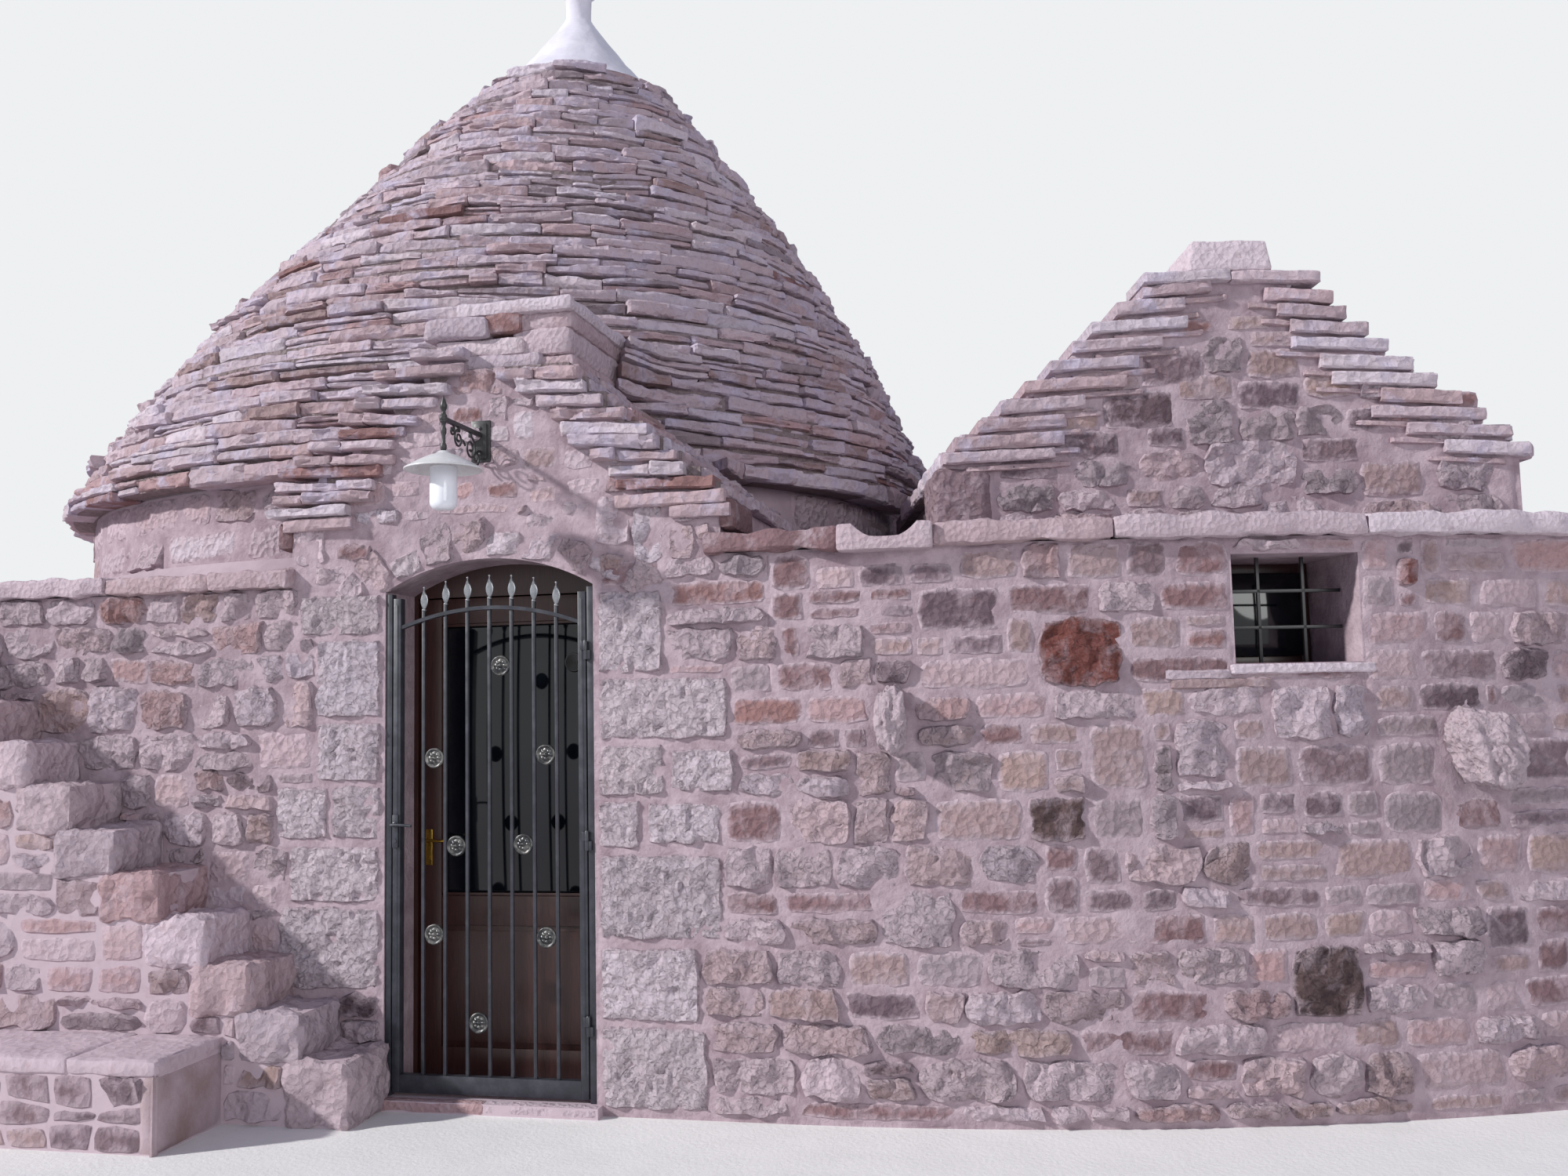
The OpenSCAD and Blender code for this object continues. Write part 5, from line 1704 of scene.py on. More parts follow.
@dataclass
class Portal:
    """The gabled portal: ragged ring stones, smeared tympanum, stepped slabs and a rough cap."""

    # The doorway's arch: its circle's middle and radius
    arch: ArchFace = ArchFace(PLAN.door_x, PLAN.front_y, 1.379, 0.951)
    # Slab ends from the eave up: left end's place and underside, right end's place and top
    right_rows: tuple = (
        (1.657, 2.596, 2.046, 2.634), (1.622, 2.658, 1.919, 2.695), (1.549, 2.725, 1.886, 2.761),
        (1.455, 2.793, 1.804, 2.815), (1.418, 2.843, 1.761, 2.873), (1.374, 2.912, 1.654, 2.955),
        (1.300, 2.978, 1.552, 3.018), (1.211, 3.047, 1.479, 3.083), (1.120, 3.108, 1.457, 3.138))
    # The same on the left: left end's place and underside, right end's place and top
    left_rows: tuple = (
        (0.068, 2.547, 0.419, 2.595), (0.092, 2.605, 0.536, 2.654), (0.091, 2.664, 0.544, 2.704),
        (0.106, 2.736, 0.575, 2.761), (0.194, 2.775, 0.637, 2.815), (0.258, 2.845, 0.633, 2.881),
        (0.401, 2.895, 0.686, 2.935), (0.408, 2.961, 0.753, 2.982), (0.495, 3.021, 0.838, 3.056),
        (0.518, 3.090, 0.899, 3.110), (0.573, 3.148, 0.976, 3.191), (0.760, 3.222, 0.976, 3.264))
    # Joints of the ring stones, along the arch from its crown
    ring: tuple[float, ...] = (-0.70, -0.57, -0.44, -0.29, -0.145, -0.005, 0.145, 0.295, 0.45, 0.60, 0.74)
    # Flush stones of the tympanum: from and to across, from and to up, colour
    stones: tuple = (
        (0.89, 1.06, 2.92, 3.01, TERRACOTTA), (1.18, 1.30, 2.83, 2.98, WHITE),
        (1.30, 1.38, 2.87, 2.96, PINK), (1.22, 1.40, 2.70, 2.81, TAN), (1.41, 1.56, 2.69, 2.79, PALE),
        (1.05, 1.22, 2.58, 2.67, TERRACOTTA), (0.90, 1.02, 2.58, 2.68, PINK),
        (0.80, 1.19, 2.52, 2.575, WARM), (0.63, 0.80, 2.72, 2.80, PALE), (0.60, 0.76, 2.61, 2.70, WARM),
        (1.42, 1.60, 2.58, 2.66, PALE), (1.25, 1.40, 2.55, 2.64, WARM))
    # Rough stones on both sides of the arch
    rough_stones: tuple = (
        (1.56, 1.72, 2.35, 2.58, PALE), (1.72, 1.87, 2.27, 2.53, WHITE), (1.88, 2.00, 2.28, 2.44, WARM),
        (1.58, 1.69, 2.23, 2.33, TAN), (0.13, 0.30, 2.33, 2.52, PALE), (0.34, 0.52, 2.34, 2.43, BROWN),
        (0.18, 0.40, 2.24, 2.33, PALE), (1.90, 2.08, 2.44, 2.52, PALE))

    def build(self) -> None:
        """Lays the front, the slopes and the cap."""
        self.front()
        self.slabs()
        self.cap()
        self.flanks()

    def front(self) -> None:
        """Ring stones over the arch, tympanum stones, and mortar between them."""
        work = Masonry("portal_stones", 51, 0.018)
        for k, (a, b) in enumerate(zip(self.ring, self.ring[1:])):
            high = 0.17 + 0.05 * math.sin(k * 2.3)
            foot = 0.05 if abs(a + b) / 2 > 0.52 else 0.004
            corners = ((a, foot), (b, foot), (b, high), (a, high * 0.95))
            kind = (PALE, WARM, WHITE)[k % 3]
            work.lay(self.arch, Stone(corners, kind, BROKEN, 0.006, 0.3), 0.004)
        for a, b, low, high, kind in self.stones:
            work.lay(FRONT, Stone.filling(Patch(a, b, low, high), kind, FLUSH, 0.006, 0.6), 0.006)
        for a, b, low, high, kind in self.rough_stones:
            work.lay(FRONT, Stone.filling(Patch(a, b, low, high), kind, BROKEN, 0.006, 0.5), 0.006)
        arch = Patch(0.42, 1.72, 2.2, 2.50)
        kept = [arch, *(Patch(*spot[:4]) for spot in (*self.stones, *self.rough_stones))]
        coursing = Coursing(work.rng, Patch(0.13, 2.11, 2.245, 3.17), PORTAL_KINDS, kept=kept,
                            course=(0.10, 0.15), length=(0.12, 0.30), ends_at=self.ends, flush=0.35,
                            proud=(0.004, 0.012))
        for stone in coursing.stones():
            if stone.corners[0][0] < 1.55 or stone.corners[0][1] > 2.305:
                work.lay(FRONT, stone, 0.010)
        work.finish(RUBBLE, "limestone_wall")

        def lower(x: float) -> float:
            """The arch, or its springing beside it."""
            dx = abs(x - self.arch.x)
            return self.arch.z + math.sqrt(self.arch.radius ** 2 - dx ** 2) + 0.002 if dx < 0.482 else 2.2

        def upper(x: float) -> float:
            """The stepped slope's underside."""
            rise = PLAN.portal_slab_h / PLAN.portal_run
            return min(3.17, PLAN.portal_eave_z + rise * (PLAN.portal_half - abs(x - PLAN.portal_x)) - 0.02)

        skin = bmesh.new()
        left, right = PLAN.portal_x - PLAN.portal_half, PLAN.portal_x + PLAN.portal_half
        mortar_skin(skin, WarpedFace(FRONT, lower, upper), Patch(left, right, 0.0, 1.0), 0.022, 0.001,
                    0.006, rows=30)
        spread(skin, "portal_mortar")

    def ends(self, z: float) -> tuple[float, float]:
        """Left and right end of the tympanum at a height.

        Args:
            z: The height.

        Returns:
            Both places across.
        """
        rise = max(0.0, z + 0.06 - PLAN.portal_eave_z) / PLAN.portal_slab_h
        half = PLAN.portal_half - rise * PLAN.portal_run - 0.02
        return PLAN.portal_x - half, PLAN.portal_x + half

    def slabs(self) -> None:
        """The slab ends on the front, tilted up towards the middle."""
        work = Masonry("portal_slab_ends", 52)
        kinds = (PALE, WHITE, WARM)
        for n, (a, low, b, high) in enumerate(self.right_rows):
            kind = TERRACOTTA if n == 0 else kinds[n % 3]
            self.slab_row(work, a, b + 0.05, (low, high - 0.057), (low + 0.057, high), kind)
        for n, (a, low, b, high) in enumerate(self.left_rows):
            kind = TERRACOTTA if n in (3, 6) else kinds[(n + 1) % 3]
            self.slab_row(work, a - 0.04, b, (low, high - 0.05), (low + 0.05, high), kind)
        for a, b, z in ((1.66, 2.14, 2.545), (0.10, 0.44, 2.515), (1.90, 2.16, 2.49)):
            work.lay_slab(FRONT, a, b, (z - 0.03, z - 0.03), (z + 0.022, z + 0.026), 0.045, 0.12, WARM,
                          0.008)
        work.finish(ROOF_SLAB, "limestone_slab")

    def slab_row(self, work: Masonry, a: float, b: float, low: tuple[float, float],
                 high: tuple[float, float], kind: StoneKind) -> None:
        """One or two slabs side by side in a row.

        Args:
            work: The masonry that takes the slabs.
            a: Where it begins along the face.
            b: Where it ends.
            low: Underside at both ends.
            high: Top at both ends.
            kind: Colour.
        """
        cuts = [a, b]
        if b - a > 0.34 and work.rng.random() < 0.65:
            cuts.insert(1, a + (b - a) * work.rng.uniform(0.25, 0.75))
        for start, stop in zip(cuts, cuts[1:]):
            share = [(x - a) / (b - a) for x in (start, stop)]
            lows = tuple(low[0] + (low[1] - low[0]) * t for t in share)
            highs = tuple(high[0] + (high[1] - high[0]) * t + work.rng.uniform(-0.012, 0.004)
                          for t in share)
            work.lay_slab(FRONT, start + 0.002, stop - 0.002, lows, highs, work.rng.uniform(0.024, 0.058),
                          0.14, kind, work.rng.uniform(0.014, 0.024), 0.030)

    def cap(self) -> None:
        """The rough layered cap, which takes the place of the frame's plain block."""
        work = Masonry("portal_cap_stones", 53)
        back = -1.40
        layers = ((Patch(0.77, 1.30, 3.165, 3.235), -0.02, PALE),
                  (Patch(1.25, 1.45, 3.150, 3.22), -0.04, WARM),
                  (Patch(0.80, 1.22, 3.232, 3.315), -0.03, WHITE),
                  (Patch(1.16, 1.43, 3.225, 3.345), -0.05, PALE),
                  (Patch(0.76, 1.06, 3.315, 3.410), 0.0, PALE),
                  (Patch(1.03, 1.21, 3.330, 3.425), -0.02, TERRACOTTA),
                  (Patch(1.19, 1.44, 3.340, 3.425), -0.05, WARM),
                  (Patch(0.91, 1.45, 3.412, 3.475), -0.015, WHITE))
        for patch, front, kind in layers:
            work.lay_block(FRONT, patch, back, front, kind, 0.022, 0.012, 0.045)
        obj = work.finish(HEWN, "dressed_stone")
        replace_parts(obj, "portal_cap")
        seats = Masonry("portal_kneeler_stones", 54)
        for a, b in ((0.060, 0.135), (2.105, 2.170)):
            seats.lay_block(FRONT, Patch(a, b, 2.41, 2.535), -0.33, 0.012, BROWN, 0.02, 0.008, 0.04)
        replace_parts(seats.finish(HEWN, "dressed_stone"), "portal_kneelers")

    def flanks(self) -> None:
        """Slab edges along both slopes."""
        work = Masonry("portal_flank_slabs", 55)
        kinds, weights = zip(*SLAB_KINDS)
        for k in range(PLAN.portal_courses):
            low = PLAN.portal_eave_z + k * PLAN.portal_slab_h
            for side in (-1, 1):
                x = PLAN.portal_x + side * PLAN.portal_w(k)
                length = self.run(x, low)
                start = StraightFace(x, PLAN.front_y, math.pi / 2)
                if side < 0:
                    start = StraightFace(x, PLAN.front_y + length, -math.pi / 2)
                s = 0.02
                while s < length - 0.05:
                    stop = min(length, s + work.rng.uniform(0.25, 0.5))
                    kind = work.rng.choices(kinds, weights)[0]
                    z = low + 0.004
                    work.lay_slab(start, s, stop - 0.004, (z, z), (z + 0.062, z + 0.060),
                                  work.rng.uniform(0.010, 0.045), 0.14, kind, 0.016)
                    s = stop
        work.finish(ROOF_SLAB, "limestone_slab")

    def run(self, x: float, z: float) -> float:
        """How far a flank runs back from the front before it meets the drum or cone.

        Args:
            x: The flank's place across.
            z: The height.

        Returns:
            The length.
        """
        course = (z - PLAN.eave_z) / PLAN.course_h
        r = PLAN.course_r(max(course, 0)) if z > PLAN.eave_z - 0.1 else PLAN.drum_r
        dx = x - PLAN.course_x(course)
        return -math.sqrt(max(r * r - dx * dx, 0.01)) - PLAN.front_y + 0.06


@dataclass
class WingRoof:
    """The wing's stepped roof: gable stones in wide mortar, slab ends, slopes and capstones."""

    # Slab ends of the gable from the eave up: outer end along the wing's chord, and top
    left_tops: tuple = (
        (0.779, 2.754), (0.832, 2.822), (0.938, 2.896), (1.037, 2.982), (1.147, 3.067), (1.260, 3.153),
        (1.364, 3.239), (1.450, 3.325), (1.565, 3.412), (1.683, 3.480))
    right_tops: tuple = (
        (3.345, 2.754), (3.27, 2.832), (3.16, 2.91), (3.06, 2.988), (2.955, 3.066), (2.855, 3.144),
        (2.751, 3.225), (2.668, 3.302), (2.572, 3.375), (2.520, 3.447))
    # Gable stones: from and to along the chord, from and to up, colour
    marks: tuple = (
        (1.03, 1.28, 2.63, 2.72, DARK), (1.24, 1.56, 2.72, 2.83, DARK), (1.50, 1.80, 2.84, 3.01, DARK),
        (1.69, 1.83, 2.76, 2.84, DARK), (1.67, 1.93, 3.03, 3.20, UMBER), (1.95, 2.10, 3.09, 3.24, GREY),
        (2.14, 2.36, 3.06, 3.18, TAN), (2.09, 2.35, 2.92, 3.04, DARK), (1.87, 2.04, 2.77, 2.96, GREY),
        (2.09, 2.32, 2.78, 2.91, GREY), (2.35, 2.52, 2.80, 2.92, GREY), (2.57, 2.71, 2.82, 2.91, DARK),
        (2.39, 2.58, 2.97, 3.06, OCHRE), (1.82, 2.06, 2.97, 3.07, TAN), (1.37, 1.59, 2.59, 2.70, GREY),
        (1.65, 1.89, 2.60, 2.73, WARM), (1.94, 2.31, 2.58, 2.77, PALE), (2.35, 2.60, 2.68, 2.78, UMBER),
        (2.36, 2.58, 2.54, 2.64, GREY), (2.61, 2.87, 2.52, 2.68, TAN), (1.03, 1.26, 2.49, 2.61, GREY),
        (1.30, 1.52, 2.49, 2.57, PALE), (1.59, 1.73, 2.50, 2.57, TAN), (1.77, 1.90, 2.49, 2.58, GREY),
        (1.95, 2.15, 2.49, 2.58, PALE), (2.17, 2.42, 2.44, 2.53, PALE),
        (1.86, 1.98, 3.27, 3.32, TERRACOTTA), (2.07, 2.23, 3.28, 3.33, OCHRE),
        (2.15, 2.37, 3.20, 3.26, TAN), (2.99, 3.13, 2.91, 2.97, TERRACOTTA),
        (2.75, 2.82, 2.82, 2.90, TERRACOTTA), (1.25, 1.46, 2.84, 2.93, OCHRE),
        (1.42, 1.65, 3.02, 3.10, TAN), (2.63, 2.85, 2.97, 3.05, PALE), (2.88, 3.10, 2.75, 2.86, PALE),
        (2.95, 3.2, 2.55, 2.68, PALE), (2.62, 2.90, 2.39, 2.50, WARM), (2.93, 3.2, 2.40, 2.52, GREY),
        (1.02, 1.22, 2.38, 2.47, PALE), (1.26, 1.5, 2.38, 2.47, WARM), (1.54, 1.75, 2.38, 2.47, PALE),
        (1.80, 2.10, 2.38, 2.47, GREY))

    def build(self) -> None:
        """Dresses gables, slopes and ridge."""
        self.gable()
        self.slopes()
        self.ridge()

    def outline(self, s: float) -> float:
        """Height of the stepped gable's slope at a place along the chord."""
        rise = PLAN.wing_slab_h / PLAN.wing_run
        return min(PLAN.wing_eave_z + rise * (PLAN.wing_half - abs(s - PLAN.wing_mid)) - 0.01,
                   PLAN.wing_eave_z + PLAN.wing_courses * PLAN.wing_slab_h - 0.01)

    def gable(self) -> None:
        """Set stones and mortar on the front gable, plainer rubble on the back one."""
        front = wing_face(0.0, PLAN.gable_d)
        work = Masonry("wing_gable_stones", 61, 0.02)
        for a, b, low, high, kind in self.marks:
            flush = kind in (PALE, WARM, GREY)
            dressing = BROKEN if flush else FLUSH
            patch = Patch(a - 0.022, b + 0.022, low - 0.016, high + 0.014)
            work.lay(front, Stone.filling(patch, kind, dressing, 0.016, work.rng.uniform(0.4, 0.8)), 0.004)
        work.lay_block(front, Patch(0.735, 0.985, 2.39, 2.675), -0.28, 0.03, UMBER, 0.03, 0.012, 0.03)
        back = wing_face(PLAN.wing_l, PLAN.roof_back, math.pi)
        mid = PLAN.wing_l - PLAN.wing_mid

        def ends(z: float) -> tuple[float, float]:
            """Both ends of the back gable at a height."""
            half = PLAN.wing_half - max(0.0, z + 0.1 - PLAN.wing_eave_z) * PLAN.wing_run / PLAN.wing_slab_h
            return mid - half + 0.06, mid + half - 0.06

        coursing = Coursing(work.rng, Patch(0.2, 2.7, 2.40, 3.45), FIELD_KINDS, ends_at=ends, flush=0.4,
                            proud=(0.006, 0.012))
        work.fill(back, coursing, 0.014)
        work.finish(GABLE_STONE, "limestone_wall")
        skin = bmesh.new()
        for face, a, b in ((front, 0.84, 3.29), (back, PLAN.wing_l - 3.29, PLAN.wing_l - 0.84)):
            line = self.outline if face is front else (lambda s: self.outline(PLAN.wing_l - s))
            warped = WarpedFace(face, lambda s: PLAN.wing_terrace_z - 0.01, line)
            mortar_skin(skin, warped, Patch(a, b, 0.0, 1.0), 0.025, 0.005, 0.010, rows=44)
        spread(skin, "wing_gable_mortar")

    def slopes(self) -> None:
        """Slab ends on the gables and slab edges along the slopes."""
        work = Masonry("wing_slabs", 62)
        front = wing_face(0.0, PLAN.gable_d)
        for tops, side in ((self.left_tops, -1), (self.right_tops, 1)):
            for n, (s, top) in enumerate(tops):
                length = work.rng.uniform(0.34, 0.50) if n < 8 else 0.3
                a, b = (s, s + length) if side < 0 else (s - length, s)
                thick = work.rng.uniform(0.050, 0.062)
                kind = work.rng.choice((PALE, WHITE, WARM))
                tilt = -0.010 * side
                self.end_slab(work, front, a, b, top, thick, tilt, kind, 0.040)
                inner = (a + 0.10, b + 0.07) if side < 0 else (a - 0.07, b - 0.10)
                self.end_slab(work, front, *inner, top - thick - 0.008, 0.026, tilt, WARM, 0.022)
        self.end_slab(work, front, 1.685, 2.07, 3.534, 0.052, 0.006, WHITE, 0.045)
        self.end_slab(work, front, 2.073, 2.467, 3.530, 0.052, -0.004, PALE, 0.042)
        self.slope_slabs(work)
        work.finish(ROOF_SLAB, "limestone_slab")

    def end_slab(self, work: Masonry, face: Face, a: float, b: float, top: float, thick: float, tilt: float,
                 kind: StoneKind, out: float) -> None:
        """One slab end on the gable, a little tilted."""
        work.lay_slab(face, a, b, (top - thick - tilt, top - thick + tilt), (top - tilt, top + tilt), out,
                      0.30, kind, 0.010, 0.035)

    def slope_slabs(self, work: Masonry) -> None:
        """The visible edges of the slabs along both slopes.

        Args:
            work: The masonry that takes the slabs.
        """
        kinds, weights = zip(*SLAB_KINDS)
        run = PLAN.roof_back - PLAN.gable_d
        for k in range(PLAN.wing_courses):
            z = PLAN.wing_eave_z + k * PLAN.wing_slab_h
            for side in (-1, 1):
                edge = PLAN.wing_mid + side * PLAN.wing_w(k)
                depth = PLAN.gable_d if side > 0 else PLAN.roof_back
                face = wing_face(edge, depth, side * math.pi / 2)
                s = 0.0
                while s < run - 0.01:
                    stop = min(run, s + work.rng.uniform(0.22, 0.55))
                    if run - stop < 0.12:
                        stop = run
                    low = z + 0.005
                    high = z + PLAN.wing_slab_h + work.rng.uniform(-0.003, 0.006)
                    if not self.in_cone(face.at((s + stop) / 2, z, 0.05)):
                        work.lay_slab(face, s + 0.002, stop - 0.002, (low, low), (high, high),
                                      work.rng.uniform(0.010, 0.028), 0.13,
                                      work.rng.choices(kinds, weights)[0], work.rng.uniform(0.008, 0.014))
                    s = stop

    def in_cone(self, spot: Vector) -> bool:
        """Whether a place lies inside the cone's slabs."""
        course = max(0.0, (spot.z - PLAN.eave_z) / PLAN.course_h)
        return math.hypot(spot.x - PLAN.course_x(course), spot.y) < PLAN.course_r(course) + 0.03

    def ridge(self) -> None:
        """Tooled capstones, narrower at the top."""
        work = Masonry("wing_ridge_stones", 63)
        z = PLAN.wing_eave_z + PLAN.wing_courses * PLAN.wing_slab_h
        half, lean = 0.188, 0.024
        front = wing_face(0.0, PLAN.gable_d)
        start = -0.04
        run = PLAN.roof_back - PLAN.gable_d + 0.04
        for length in (0.36, 0.47, 0.42, 0.45, run - 1.70 + 0.04):
            high = 0.136 + work.rng.uniform(-0.004, 0.004)

            def taper(at: Vector, high: float = high) -> Vector:
                """Leans the stone's sides inwards towards its top."""
                share = at.y / high
                return Vector((at.x + (half - at.x) / half * lean * share, at.y, at.z))

            patch = Patch(PLAN.wing_mid - half, PLAN.wing_mid + half, z, z + high)
            work.lay_block(front, patch, -(start + length - 0.006), -start, WHITE, 0.014, 0.004, 0.024,
                           taper)
            start += length
        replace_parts(work.finish(HEWN, "dressed_stone"), "wing_capstones")


@dataclass
class Copings:
    """Parapet stones, the gutter spout, and the terraces' edge."""

    front: float = 0.055
    back: float = -0.27
    lengths: tuple[float, float] = (0.45, 1.05)
    spout: tuple[float, float] = (0.310, 0.695)

    def build(self) -> None:
        """Lays each run of coping stones in place of the frame's plain ones."""
        p = PLAN
        low, high = p.wall_top + 0.001, p.wall_top + p.coping_t
        self.course("coping_front_stones", 71, "coping_front",
                    ((FRONT, p.left_x - 0.05, 0.135, low, high),), (PALE, WARM))
        self.course("coping_left_stones", 72, "coping_left",
                    ((StraightFace(p.left_x, p.back_y, -math.pi / 2), -0.05, 5.61, low, high),),
                    (PALE, WARM))
        self.course("coping_back_stones", 73, "coping_back",
                    ((StraightFace(p.right_x, p.back_y, math.pi), -0.05, 5.43, low, high),
                     (StraightFace(p.right_x, 0.2, math.pi / 2), 0.0, 2.48, low, high)),
                    (PALE, GREY))
        low, high = p.wing_wall_top + 0.001, p.wing_coping_top
        self.course("wing_coping_front_stones", 74, "wing_coping_front",
                    ((BOW, 2.05 - p.bend_x, self.spout[0] - 0.003, low, high),
                     (BOW, self.spout[1] + 0.003, 3.54, low, high)),
                    (PALE, WARM, WHITE), BROWN)
        self.course("wing_coping_side_stones", 75, "wing_coping_sides",
                    ((wing_face(p.wing_l, 0.06, math.pi / 2), 0.22, 2.70, low, high),
                     (wing_face(p.wing_l, p.wing_d, math.pi), 0.28, 3.10, low, high)),
                    (PALE, GREY))
        self.gutter()

    def course(self, name: str, seed: int, node: str, runs: tuple, kinds: tuple,
               first: StoneKind | None = None) -> None:
        """One frame node's coping as separate stones.

        Args:
            name: Name of the piece.
            seed: Seed of its random numbers.
            node: The frame's node that it replaces.
            runs: Face, from, to, lower and upper height of each run.
            kinds: Colours to choose from.
            first: Colour of the first stone, if it is set.
        """
        work = Masonry(name, seed)
        for face, a, b, low, high in runs:
            s = a
            while s < b - 0.01:
                stop = min(b, s + work.rng.uniform(*self.lengths))
                if b - stop < 0.3:
                    stop = b
                kind = first or work.rng.choice(kinds)
                first = None
                out = self.front + work.rng.uniform(-0.010, 0.008)
                top = high + work.rng.uniform(-0.006, 0.004)
                work.lay_block(face, Patch(s + 0.001, stop - 0.003, low, top), self.back, out, kind, 0.013,
                               0.017, 0.032)
                s = stop
        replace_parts(work.finish(HEWN, "dressed_stone"), node)

    def gutter(self) -> None:
        """The spout stone with its round channel."""
        work = Masonry("spout_stone", 76)
        a, b = self.spout
        width, depth = b - a, 0.33
        low, high = 2.285, PLAN.wing_coping_top + 0.004
        height = high - low
        radius, over = 0.160, 0.095

        def channel(at: Vector) -> Vector:
            """Presses the round channel into the block's top."""
            dx = at.x - width / 2
            if abs(dx) < 0.125 and at.y > height * 0.5:
                floor = height + over - math.sqrt(radius ** 2 - dx ** 2)
                share = (at.y - height * 0.5) / (height * 0.5)
                return Vector((at.x, height * 0.5 + (floor - height * 0.5) * share, at.z))
            return at

        work.lay_block(BOW, Patch(a, b, low, high), 0.09 - depth, 0.09, PALE, 0.012, 0.004, 0.022,
                       channel)
        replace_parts(work.finish(HEWN, "dressed_stone"), "gutter_spout")


@dataclass
class Stair:
    """Hewn steps against the door wall, the low bench, and the doorway's threshold."""

    face: StraightFace = StraightFace(0.0, PLAN.front_y - STAIR.width)
    bench_face: StraightFace = StraightFace(0.0, -3.67)
    bench: Patch = Patch(-1.60, 0.03, 0.0, 0.35)

    def build(self) -> None:
        """Lays steps, facing, bench and threshold."""
        self.steps()
        self.low_bench()
        self.threshold()

    def steps(self) -> None:
        """One block a step, and rubble below them and at the stair's end."""
        work = Masonry("stair_blocks", 81)
        kinds = (PALE, PALE, WARM, PALE, PINK, PALE)
        blocks = []
        for i in range(STAIR.steps):
            last = i == STAIR.steps - 1
            right = STAIR.x - i * STAIR.going
            left = right - STAIR.going - (0.10 if last else 0.06)
            top = STAIR.top(i) - (0.004 if last else 0.0)
            low = max(0.0, top - STAIR.rise - 0.008) if i else 0.0
            patch = Patch(left, right + 0.008, low, top + 0.004)
            work.lay_block(self.face, patch, -STAIR.width + 0.002, 0.016, kinds[i % len(kinds)], 0.022,
                           0.026, 0.024)
            blocks.append(Patch(left, right + 0.01, low, 3.0))
        area = Patch(STAIR.end, STAIR.x, 0.0, 2.2)
        coursing = Coursing(work.rng, area, FIELD_KINDS, kept=(*blocks, self.bench),
                            course=(0.14, 0.22), length=(0.18, 0.4), flush=0.3)
        work.fill(self.face, coursing, 0.012)
        end = StraightFace(STAIR.end, PLAN.front_y, -math.pi / 2)
        coursing = Coursing(work.rng, Patch(0.012, STAIR.width - 0.012, 0.01, STAIR.top(STAIR.steps - 2)),
                            FIELD_KINDS, course=(0.14, 0.22), length=(0.15, 0.3), flush=0.3)
        work.fill(end, coursing)
        work.finish(STEP_STONE, "dressed_stone")

    def low_bench(self) -> None:
        """Seat slab, crazy facing in front and plastered sides."""
        b = self.bench
        work = Masonry("bench_stones", 82)
        cuts = (b.a, -1.02, -0.36, b.b + 0.006)
        for start, stop in zip(cuts, cuts[1:]):
            patch = Patch(start, stop - 0.003, b.high - 0.055, b.high + 0.004)
            work.lay_block(self.bench_face, patch, -0.42, 0.012, PALE, 0.014, 0.008, 0.03,
                           relief=0.35)
        kinds = ((UMBER, 0.5), (DARK, 0.2), (TAN, 0.3))
        coursing = Coursing(work.rng, Patch(b.a, b.b - 0.05, 0.0, 0.295), kinds, course=(0.13, 0.17),
                            length=(0.14, 0.32), flush=0.8, wobble=0.07)
        work.fill(self.bench_face, coursing, 0.004)
        far = StraightFace(b.a, -3.25, -math.pi / 2)
        coursing = Coursing(work.rng, Patch(0.01, 0.41, 0.01, 0.29), kinds, course=(0.13, 0.17),
                            length=(0.14, 0.26), flush=0.8, wobble=0.05)
        work.fill(far, coursing, 0.004)
        work.finish(STEP_STONE, "dressed_stone")
        side = bmesh.new()
        end = StraightFace(b.b, self.bench_face.y, math.pi / 2)
        mortar_skin(side, end, Patch(-0.012, 0.42, 0.0, 0.296), 0.03, 0.008, 0.005)
        mortar_skin(side, self.bench_face, Patch(b.b - 0.07, b.b + 0.006, 0.0, 0.296), 0.03, 0.009, 0.004)
        spread(side, "bench_plaster", STAINED_PLASTER)

    def threshold(self) -> None:
        """Worn sill stones under the gate."""
        work = Masonry("threshold_stones", 83)
        work.lay_block(FRONT, Patch(0.602, 1.07, 0.001, 0.046), 0.0, 0.062, PINK, 0.010, 0.003, 0.04)
        work.lay_block(FRONT, Patch(1.072, 1.568, 0.001, 0.046), 0.0, 0.060, PALE, 0.010, 0.003, 0.04)
        work.finish(HEWN, "dressed_stone")


